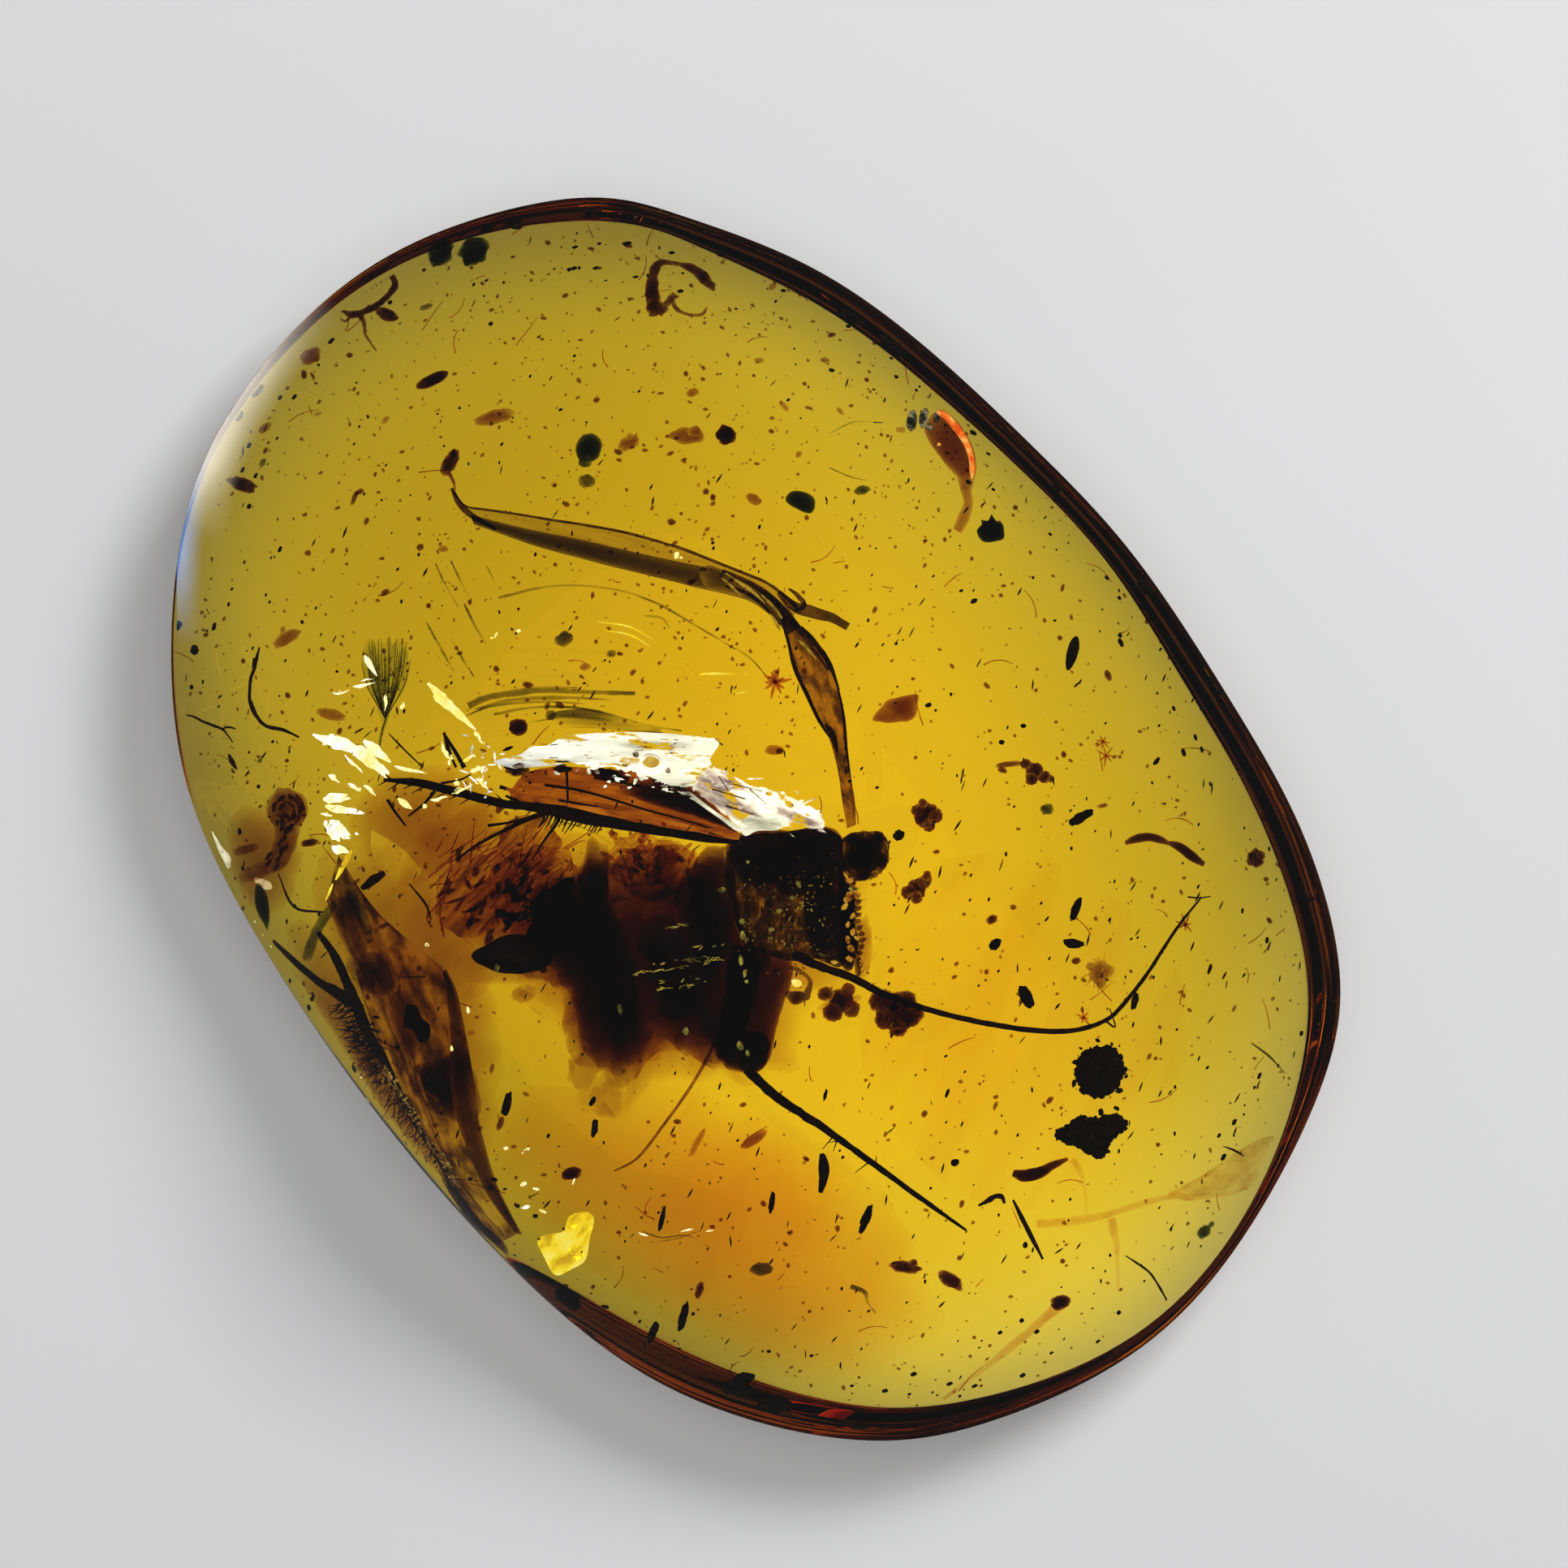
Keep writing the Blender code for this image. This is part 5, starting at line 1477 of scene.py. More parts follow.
    fork = bmesh.new()
    for i, (path, widths) in enumerate((
        ((
            (-11.18, 17.3), (-11, 16.83), (-11.28, 16.37), (-11.74, 16.06), (-12.31, 15.91), (-12.82, 16.17)
        ), (0.09, 0.13, 0.12, 0.14, 0.12, 0.05)),
        (((-12.1, 15.96), (-11.9, 15.55), (-11.8, 15.14), (-11.41, 14.57)), (0.12, 0.07, 0.05, 0.03)),
        (((-12.31, 15.96), (-12.52, 15.7), (-12.72, 15.81)), (0.09, 0.05, 0.03)),
        (((-11.54, 16.27), (-11.44, 15.91), (-11.18, 15.81)), (0.08, 0.06, 0.10)),
    )):
        limb(fork, path, widths, z=FORK_HEIGHT, per_span=5, rough=0.4, grain=3, seed=65 + i)
    lump(fork, (-11.18, 15.81, FORK_HEIGHT), (0.42, 0.20, 0.16), -30, rough=0.2, detail=3, seed=66)
    for i in range(12):
        start = Vector((-12.8243, 16.1653)).lerp(Vector((-11.1281, 17.0699)), i / 11)
        limb(fork, (
            start, start + Vector((-0.08, 0.22)), start + Vector((-0.10, 0.4 + 0.1 * (i % 3)))
        ), (0.03, 0.012), z=FORK_HEIGHT - 0.2, sides=4, per_span=2)
    add_piece(fork, "forked_fragment", BROWN_LITTER, ("forked_fragment",))

    curve = bmesh.new()
    limb(curve, (
        (11.36, -0.85), (11.72, -0.72), (12.16, -0.67), (12.52, -0.75), (12.77, -0.85)
    ), (0.07, 0.13, 0.14, 0.12, 0.07), sides=10, rough=0.12, seed=70)
    limb(curve, (
        (12.72, -0.82), (13.13, -0.95), (13.54, -1.21), (13.96, -1.46)
    ), (0.06, 0.15, 0.17, 0.08), sides=10, rough=0.12, seed=71)
    add_piece(curve, "curved_fragment", BROWN_LITTER, ("curved_fragment",))


def wing_and_leg():
    """The brown see-through wing at the lower left, and the spiny leg that lies along it."""
    wing = bmesh.new()
    left = (
        (-12.57, -2.24), (-12.28, -2.88), (-11.74, -3.78), (-11.39, -4.81), (-11.03, -5.83),
        (-10.56, -7.12), (-9.89, -8.4), (-9.23, -9.64), (-8.71, -10.77), (-8.35, -12), (-7.89, -13.29),
    )
    right = (
        (-12.16, -0.85), (-11.59, -1.72), (-10.82, -2.7), (-9.74, -3.68), (-8.76, -4.55), (-8.3, -5.71),
        (-7.99, -6.99), (-7.81, -8.4), (-7.56, -9.79), (-7.22, -10.97), (-6.73, -12.31),
    )
    sheet(wing, left, right, 0.12, lanes=16, per_span=6, sag=-0.1, wrinkle=0.05, grain=0.9, seed=80)
    add_piece(wing, "wing_blade", WING, ("wing_blade",))
    margin = bmesh.new()
    outer = (
        (-8.71, -4.5), (-8.38, -5.19), (-8.1, -6.4), (-7.89, -7.58), (-7.74, -8.71), (-7.5, -9.84),
        (-7.2, -10.92), (-6.66, -12.41),
    )
    inner = (
        (-8.79, -4.6), (-8.64, -5.45), (-8.51, -6.66), (-8.48, -7.84), (-8.3, -8.82), (-7.94, -9.95),
        (-7.56, -11.08), (-6.91, -12.31),
    )
    sheet(margin, outer, inner, 0.34, z=PARTING + 0.06, lanes=6, per_span=6, wrinkle=0.02, grain=2, seed=81)
    for i, (outline, thick) in enumerate((
        ((
            (-8.76, -6.91), (-8.15, -7.02), (-7.84, -7.63), (-7.79, -8.61), (-8.4, -8.71), (-9.23, -8.4),
            (-9.74, -7.63), (-9.35, -7.12),
        ), 0.30),
        ((
            (-8.92, -10.46), (-8.46, -10.97), (-7.84, -12.31), (-7.17, -13.03), (-7.63, -13.75),
            (-8.2, -13.29), (-8.76, -12),
        ), 0.36),
        ((
            (-11.8, -4.09), (-11.03, -3.78), (-10.46, -4.24), (-10.25, -4.93), (-10.77, -5.22),
            (-11.44, -4.81),
        ), 0.12),
        ((
            (-12.31, -2.49), (-11.64, -2.18), (-11.28, -3.01), (-11.13, -3.78), (-11.64, -3.98),
            (-12.16, -3.26),
        ), 0.12),
        ((
            (-10.46, -5.27), (-10, -5.01), (-9.53, -5.37), (-9.23, -6.4), (-9.53, -7.02), (-10.15, -6.25)
        ), 0.10),
    )):
        pad(margin, outline, PARTING - 0.08, thick, per_span=5, rough=0.2, grain=1.5, edge=0.9, seed=82 + i)
    for i, (path, wide) in enumerate((
        (((-12.05, -1), (-11.54, -1.88), (-10.77, -2.8), (-9.61, -3.78), (-8.76, -4.5)), 0.03),
        (((-11.74, -3.78), (-10.77, -5.19), (-9.74, -7.38), (-8.71, -9.95), (-7.89, -12.52)), 0.06),
        (((-8.51, -10.43), (-8.04, -11.28), (-7.63, -12), (-7.27, -12.57)), 0.07),
        (((-10.77, -3.78), (-10.25, -4.81), (-9.87, -5.58)), 0.04),
        (((-9.74, -6.55), (-9.23, -8.15), (-8.66, -9.95)), 0.05),
        (((-11.39, -4.91), (-10.56, -6.76), (-9.61, -8.66)), 0.04),
        (((-9.23, -4.81), (-8.71, -6.09), (-8.46, -7.12)), 0.03),
        (((-10.46, -4.55), (-9.74, -4.7), (-8.92, -4.7)), 0.03),
    )):
        widths = (0.4 * wide, wide, 0.5 * wide) if len(path) == 3 else (wide, 0.5 * wide)
        limb(margin, path, widths, z=PARTING + 0.06, sides=5, rough=0.45, grain=2.5, seed=3 + i)
    draw = random.Random(83)
    for i in range(70):
        along = draw.random()
        place = Vector((-11.28, -3.52)).lerp(Vector((-8.46, -10.46)), along) + astray(draw, 0.9, 0.5)
        lump(
            margin, (*place, PARTING - 0.05), (draw.uniform(0.06, 0.24), draw.uniform(0.03, 0.09), 0.05),
            draw.gauss(-60, 35), rough=0.4, grain=2.0, detail=1, seed=i,
        )
    add_piece(margin, "wing_margin", WING_DARK, ("wing_blade",))
    chip = bmesh.new()
    pad(chip, (
        (-9.84, -5.47), (-9.53, -5.53), (-9.43, -5.83), (-9.17, -6.09), (-9.15, -6.5), (-9.43, -6.55),
        (-9.64, -6.25), (-9.95, -6.14), (-9.89, -5.83),
    ), PARTING + 0.2, 0.16, rough=0.15, grain=3, seed=85)
    add_piece(chip, "wing_chip", BLACK, ("wing_blade",))

    leg, hairs = bmesh.new(), bmesh.new()
    limb(leg, (
        (-14.8, -3.68), (-14.08, -4.16), (-13.08, -4.75), (-12.31, -5.06), (-11.69, -5.37)
    ), (0.08, 0.13, 0.14, 0.19, 0.22), sides=10, per_span=6, rough=0.18, grain=3, seed=86)
    limb(
        leg,
        (
            (-12.88, -3.26), (-12.28, -3.98), (-11.85, -4.78), (-11.51, -5.45), (-11.08, -6.32),
            (-10.61, -6.99), (-10.2, -7.79), (-9.74, -8.61), (-9.23, -9.43), (-8.82, -10.25),
            (-8.61, -11.13),
        ),
        (0.08, 0.16, 0.17, 0.22, 0.20, 0.17, 0.14, 0.14, 0.13, 0.12, 0.06), heights=(0.08,) * 11, sides=10,
        per_span=6, rough=0.2, grain=3, seed=87,
    )
    draw = random.Random(14)
    spine = smooth_rows((
        (-11.85, -5.22), (-11.08, -6.4), (-10.61, -7.09), (-10.2, -7.84), (-9.74, -8.66), (-9.23, -9.48),
        (-8.71, -10.72),
    ), 12)
    # The rows of the spine, from its top, down to which every bristle is as dark as the leg, two grow from
    # each row, and they are long.
    dark_to, crowded_to, long_to = 14, 36, 40
    for i, (x, y) in enumerate(spine):
        start = Vector((x, y))
        for _ in range(2 if i < crowded_to else 1):
            turn = math.radians(draw.gauss(200 if i < crowded_to else 235, 14))
            reach = draw.uniform(0.6, 1.25) if i < long_to else draw.uniform(0.4, 0.9)
            end = start + reach * heading(turn)
            if share_at(*end) > BRISTLE_REACH:
                end = start.lerp(end, 0.45)
            middle = start.lerp(end, 0.5) + Vector((0.04, -0.05))
            thick = draw.uniform(0.018, 0.04)
            chosen = leg if i < dark_to or draw.random() < 0.3 else hairs
            limb(
                chosen, (start, middle, end), (thick, 0.3 * thick), z=PARTING + draw.uniform(-0.15, 0.15),
                sides=4, per_span=2,
            )
    for i in range(16):
        place = Vector((-11.28, -5.63)) + Vector((draw.uniform(-0.7, 0.5), draw.uniform(-1.4, 0.2)))
        lump(
            leg, (*place, PARTING), (draw.uniform(0.1, 0.22), 0.05, 0.05), draw.uniform(-15, 10), detail=1,
            seed=i,
        )
    add_piece(leg, "spiny_leg", DARK_BROWN, ("spiny_leg",))
    for _ in range(260):
        along = draw.uniform(0.05, 1.0)
        x, y = spine[int(along * (len(spine) - 1))]
        start = Vector((x, y)) + Vector((draw.uniform(-0.5, 0), draw.uniform(-0.4, 0.1)))
        turn = math.radians(draw.gauss(228, 18))
        end = start + draw.uniform(0.3, 1.3) * heading(turn)
        if share_at(*end) > HAIR_REACH:
            continue
        limb(
            hairs, (start, start.lerp(end, 0.5) + Vector((0.03, 0)), end), (0.025, 0.01),
            z=PARTING + draw.uniform(-0.6, 0.8), sides=4, per_span=2,
        )
    add_piece(hairs, "spiny_leg_hairs", LEG_HAIR, ("spiny_leg",))
    # A straw-coloured band along the leg, with painted glints in its colour.
    beads = bmesh.new()
    band = smooth_rows((
        (-10.69, -7.27), (-10.46, -7.68), (-10, -8.35), (-9.53, -9.07), (-9.1, -9.74), (-8.79, -10.36),
        (-8.64, -10.97),
    ), 12)
    for i, (x, y) in enumerate(band):
        for side in (-0.1, 0.0, 0.1):
            place = (x + side + draw.gauss(0, 0.04), y + draw.uniform(-0.09, 0.09))
            size = (draw.uniform(0.02, 0.10), draw.uniform(0.015, 0.035), 0.03)
            lump(
                beads, (*place, PARTING + 0.35), size, draw.choice((-50, 35)) + draw.gauss(0, 14),
                rough=0.5, detail=1, seed=i,
            )
    lump(beads, (-10.67, -8.04, PARTING + 0.4), (0.16, 0.09, 0.04), 50, rough=0.5, grain=2.0)
    lump(beads, (-10.77, -7.74, PARTING + 0.4), (0.12, 0.05, 0.04), 70, rough=0.5, grain=2.0)
    add_piece(beads, "spiny_leg_glints", STRAW_GLINT, ("spiny_leg",))

    shards = bmesh.new()
    pad(shards, (
        (-15.34, -2.03), (-15.09, -1.88), (-14.83, -2.34), (-14.88, -3.06), (-15.16, -3.44), (-15.45, -3.01)
    ), 4.2, 0.22, rough=0.08, seed=90)
    pad(shards, (
        (-12.41, -2.34), (-12.7, -2.54), (-13.24, -3.26), (-13.65, -4.03), (-13.6, -4.29), (-13.24, -4.09),
        (-12.82, -3.26), (-12.31, -2.54),
    ), 4.4, 0.08, rough=0.1, seed=91)
    pad(shards, (
        (-12.16, -1.21), (-11.54, -2.24), (-11.08, -3.26), (-11.28, -3.42), (-11.74, -2.75), (-12.16, -1.88)
    ), 4.7, 0.06, rough=0.1, seed=92)
    add_piece(shards, "green_shards", GREEN_LITTER)


def clouds():
    """Thin mottled tints in the resin: a painted brown shade round the wing and body, and orange towards the
    lower right.
    """
    # Painted brown shade round the wing and body.
    brown = bmesh.new()
    for i, (outline, z) in enumerate((
        ((
            (-9.23, 0.33), (-7.17, 0.59), (-5.63, 0.08), (-5.11, -1.21), (-5.63, -3.01), (-6.66, -4.29),
            (-7.94, -5.32), (-9.23, -4.55), (-10, -2.75), (-10, -0.95),
        ), 3.2),
        ((
            (-12.82, -1.21), (-11.54, -0.44), (-9.74, -1.21), (-8.46, -3.01), (-7.68, -4.81),
            (-7.17, -7.38), (-7.68, -9.95), (-9.23, -9.69), (-10.77, -7.38), (-12.31, -4.81),
            (-13.34, -2.75),
        ), 4.9),
        ((
            (-14.37, -3.01), (-12.82, -3.26), (-11.28, -5.32), (-9.74, -7.63), (-8.46, -9.95), (-8.2, -12),
            (-9.23, -10.97), (-11.03, -9.17), (-12.82, -6.6), (-14.37, -4.55),
        ), 4.6),
        ((
            (-15.91, 0.33), (-14.88, 0.72), (-13.6, 0.08), (-13.34, -1.21), (-14.11, -2.49),
            (-15.39, -2.49), (-16.17, -1.21),
        ), 3.4),
        ((
            (-11.28, 1.36), (-9.23, 1.88), (-7.68, 1.36), (-7.17, 0.08), (-8.2, -1.21), (-9.74, -1.98),
            (-11.28, -1.46), (-11.8, 0.08),
        ), 4.7),
    )):
        pad(brown, outline, z, 0.45, rings=9, rough=0.12, grain=1.2, edge=1.1, seed=200 + i)
    add_piece(brown, "brown_shade_clouds", BROWN_SHADE_CLOUD)
    orange = bmesh.new()
    pad(orange, (
        (-7.68, -8.4), (-4.09, -7.63), (-0.49, -8.15), (3.11, -9.95), (5.17, -12.52), (5.68, -15.6),
        (3.62, -17.4), (0.03, -16.63), (-3.57, -14.31), (-6.14, -11.74),
    ), 3.2, 1.7, rings=9, rough=0.08, grain=0.8, edge=1.2, seed=210)
    pad(orange, (
        (4.14, -2.24), (6.71, -1.21), (9.79, -1.72), (12.88, -4.29), (13.39, -7.89), (11.85, -10.97),
        (8.76, -12), (5.68, -10.46), (3.62, -7.38), (3.11, -4.29),
    ), 3.4, 0.3, rings=9, rough=0.08, grain=0.8, edge=1.2, seed=211)
    add_piece(orange, "orange_clouds", ORANGE_CLOUD)
    wedge = bmesh.new()
    pad(wedge, (
        (13, -11.54), (14.16, -10.97), (15.45, -10.25), (16.68, -9.89), (16.47, -10.72), (16.11, -11.54),
        (14.93, -11.64), (13.78, -11.67),
    ), 3.4, 0.5, rings=8, rough=0.04, edge=1.0, seed=212)
    add_piece(wedge, "orange_wedge", ORANGE_WEDGE)


# ---------------------------------------------------------------- crumbs


def blot(mesh, x, y, size, spreads, seed, thick=0.35):
    """A crumb of several joined lumps: one in the middle and others at (x, y, share of size) round it."""
    lump(
        mesh, (x, y, PARTING), (size, size, size * thick + 0.05), 30 * seed, rough=0.28, grain=2.2,
        detail=4, seed=seed,
    )
    for i, (dx, dy, share) in enumerate(spreads):
        near = (x + dx, y + dy, PARTING + 0.02 * i)
        lump(
            mesh, near, (share, 0.9 * share, share * thick + 0.05), 40 * i, rough=0.3, grain=2.0, detail=3,
            seed=seed + i,
        )


def sealed_crumbs():
    """The larger crumbs, each in place of its own CAD solid."""

    def crumb(number, material, *builds):
        mesh = bmesh.new()
        for build in builds:
            build(mesh)
        add_piece(mesh, f"crumb_{number:02}", material, (f"crumb_{number:02}",))

    def oval(mesh, place, length, width, turn, rough, seed):
        lump(
            mesh, (*place, PARTING), (length / 2, width / 2, max(0.14, width * 0.36)), turn, rough=rough,
            grain=1.8, detail=4, seed=seed,
        )

    def pod(mesh, place, length, width, turn, seed):
        """A pellet drawn out to a point at both ends."""
        ahead = Vector((math.cos(math.radians(turn)), math.sin(math.radians(turn)))) * length / 2
        path = [Vector(place) + ahead * share for share in (-1, -0.6, -0.1, 0.4, 0.8, 1)]
        limb(
            mesh, path, [width / 2 * k for k in (0.25, 0.8, 1, 0.95, 0.6, 0.2)], sides=10, rough=0.15,
            grain=2.5, seed=seed,
        )

    crumb(
        1, GREEN_LITTER, lambda m: oval(m, (-4.83, 11.26), 0.92, 0.76, 70, rough=0.1, seed=1),
        lambda m: lump(m, (-4.93, 10.87, PARTING), (0.2, 0.2, 0.15), detail=3, seed=2),
    )
    crumb(
        2, BROWN_LITTER, lambda m: pod(m, (-9.59, 13.52), 1.05, 0.42, 25, seed=2),
        lambda m: lump(m, (-9.92, 13.39, PARTING), (0.16, 0.12, 0.1)),
    )
    crumb(
        3, BROWN_LITTER, lambda m: oval(m, (-8.94, 10.92), 0.85, 0.42, 62, rough=0.3, seed=3),
        lambda m: limb(m, ((-8.97, 10.61), (-8.82, 10.31), (-8.76, 10.05)), (0.07, 0.03)),
    )
    crumb(4, BROWN_SOFT, lambda m: oval(m, (-7.66, 12.26), 1.15, 0.45, 12, rough=0.25, seed=4))
    crumb(
        5, BROWN_LITTER, lambda m: oval(m, (-15.65, 10.56), 1.1, 0.42, -20, rough=0.3, seed=5),
        lambda m: lump(m, (-15.34, 10.46, PARTING), (0.2, 0.12, 0.1), -30, detail=3),
    )
    crumb(
        6, BROWN_SOFT, lambda m: oval(m, (-2.03, 11.59), 1.02, 0.5, 0, rough=0.25, seed=6),
        lambda m: lump(m, (-1.82, 11.74, PARTING + 0.08), (0.2, 0.15, 0.15), 0, rough=0.3, detail=3),
    )

    def angular(mesh):
        pad(mesh, (
            (0.93, 9.64), (1.05, 9.84), (1.36, 9.89), (1.72, 9.74), (1.8, 9.46), (1.67, 9.2), (1.36, 9.28),
            (1.05, 9.46),
        ), PARTING, 0.25, rough=0.08, grain=2.5, edge=0.4, seed=7)

    crumb(7, GREEN_LITTER, angular)

    def thorny(mesh):
        pad(mesh, (
            (6.89, 8.79), (7.09, 9.02), (7.07, 9.17), (7.3, 9.15), (7.43, 9.38), (7.56, 9.17), (7.79, 9.07),
            (7.81, 8.76), (7.76, 8.56), (7.45, 8.46), (7.09, 8.46),
        ), PARTING, 0.36, per_span=3, rough=0.08, grain=3.0, edge=0.4, seed=8)

    crumb(8, GREEN_LITTER, thorny)
    crumb(9, BLACK_LITTER, lambda m: pod(m, (9.82, 5.01), 1.15, 0.36, 72, seed=9))
    lobed = (
        (3.7, 3.03), (4.01, 3.5), (4.5, 3.62), (4.96, 3.68), (5.01, 3.26), (4.81, 2.9), (4.27, 2.85),
        (3.88, 2.88),
    )
    crumb(10, BROWN_SOFT, lambda m: pad(m, lobed, PARTING, 0.25, rough=0.15, grain=2.5, edge=0.4, seed=10))
    crumb(11, BROWN_LITTER, lambda m: blot(
        m, 8.56, 1.26, 0.28, ((-0.28, 0.25, 0.18), (0.3, -0.15, 0.2), (0.5, -0.2, 0.12), (-0.1, -0.2, 0.2)),
        11,
    ))
    crumb(12, BROWN_LITTER, lambda m: blot(
        m, 5.35, 0.08, 0.36, ((-0.25, 0.15, 0.2), (0.3, -0.05, 0.22), (0.1, -0.3, 0.2), (-0.1, 0.35, 0.14)),
        12,
    ))
    crumb(13, BROWN_LITTER, lambda m: blot(
        m, 5.14, -2.03, 0.30, ((0.25, 0.2, 0.2), (-0.25, -0.1, 0.22), (0.3, 0.36, 0.14), (0.0, -0.25, 0.2)),
        13,
    ))
    crumb(14, BROWN_LITTER, lambda m: blot(
        m, 15.83, -1.21, 0.28, ((0.2, 0.1, 0.16), (-0.2, -0.1, 0.16)), 14
    ))

    def fringed(mesh):
        blot(
            mesh, 10.64, -4.55, 0.34, ((0.25, 0.05, 0.2), (-0.3, 0.2, 0.14), (0.05, -0.32, 0.16)), 15,
            thick=0.7,
        )
        draw = random.Random(15)
        for _ in range(22):
            turn = draw.uniform(0, 2 * math.pi)
            start = Vector((10.64, -4.55)) + 0.25 * heading(turn)
            end = start + draw.uniform(0.15, 0.4) * heading(turn + 0.5)
            bristle(mesh, start, end, (0.05, 0.02), sides=5, per_span=2)

    crumb(15, DEEP_RED, fringed)
    crumb(
        16, BLACK_LITTER, lambda m: oval(m, (8.4, -5.27), 0.72, 0.36, -62, rough=0.25, seed=16),
        lambda m: lump(m, (8.33, -5.06, PARTING), (0.12, 0.1, 0.1)),
    )

    def clod(mesh, rim, seed, thick):
        """A black clod with a crumbly edge."""
        pad(mesh, rim, PARTING, thick, per_span=7, rough=0.13, grain=3.5, edge=0.35, seed=seed)
        edge = closed_spline(rim, 4)
        draw = random.Random(seed)
        for i, point in enumerate(edge):
            size = draw.uniform(0.06, 0.15)
            lump(
                mesh, (*point, PARTING + draw.uniform(-0.1, 0.1)), (size, size, size), rough=0.5, grain=1.8,
                seed=i,
            )
            if i % 3 == 0:
                apart = point + astray(draw, 0.12, 0.12)
                size = draw.uniform(0.03, 0.09)
                lump(
                    mesh, (*apart, PARTING), (1.5 * size, size, size), draw.uniform(0, 180), rough=0.6,
                    grain=1.8, seed=i,
                )

    first_clod = (
        (9.97, -7.61), (10.07, -7.17), (10.36, -6.94), (10.77, -6.84), (11.13, -6.99), (11.33, -7.32),
        (11.36, -7.68), (11.13, -7.99), (10.85, -8.25), (10.43, -8.25), (10.15, -7.99),
    )
    crumb(17, BLACK_LITTER, lambda m: clod(m, first_clod, 17, 0.5))
    second_clod = (
        (9.41, -9.43), (9.79, -9.2), (10.1, -8.97), (10.51, -9.1), (10.95, -8.97), (11.33, -9.05),
        (11.51, -9.28), (11.21, -9.51), (10.97, -9.74), (10.77, -10.15), (10.46, -10.05), (10.1, -9.79),
        (9.74, -9.69),
    )
    crumb(18, BLACK_LITTER, lambda m: clod(m, second_clod, 18, 0.45))
    crumb(19, BROWN_LITTER, lambda m: limb(
        m, ((8.07, -10.61), (8.4, -10.69), (8.82, -10.64), (9.28, -10.43), (9.74, -10.23)),
        (0.12, 0.19, 0.19, 0.14, 0.06), sides=10, per_span=5, rough=0.2, grain=3, seed=19,
    ))
    crumb(20, BLACK_LITTER, lambda m: limb(
        m, ((2.36, -9.92), (2.42, -10.25), (2.42, -10.67), (2.34, -11.1)), (0.07, 0.15, 0.14, 0.06),
        sides=10, rough=0.15, seed=20,
    ))
    crumb(21, BROWN_SOFT, lambda m: pod(m, (0.33, -9.46), 0.95, 0.34, 32, seed=21))
    crumb(
        22, BROWN_LITTER, lambda m: oval(m, (4.88, -13.49), 0.98, 0.36, -12, rough=0.3, seed=22),
        lambda m: lump(m, (5.11, -13.39, PARTING), (0.15, 0.14, 0.12), detail=3),
    )
    crumb(23, BROWN_LITTER, lambda m: oval(m, (6.27, -13.96), 0.9, 0.42, -35, rough=0.3, seed=23))
    crumb(24, BROWN_LITTER, lambda m: oval(m, (9.79, -14.91), 0.66, 0.5, 0, rough=0.3, seed=24))


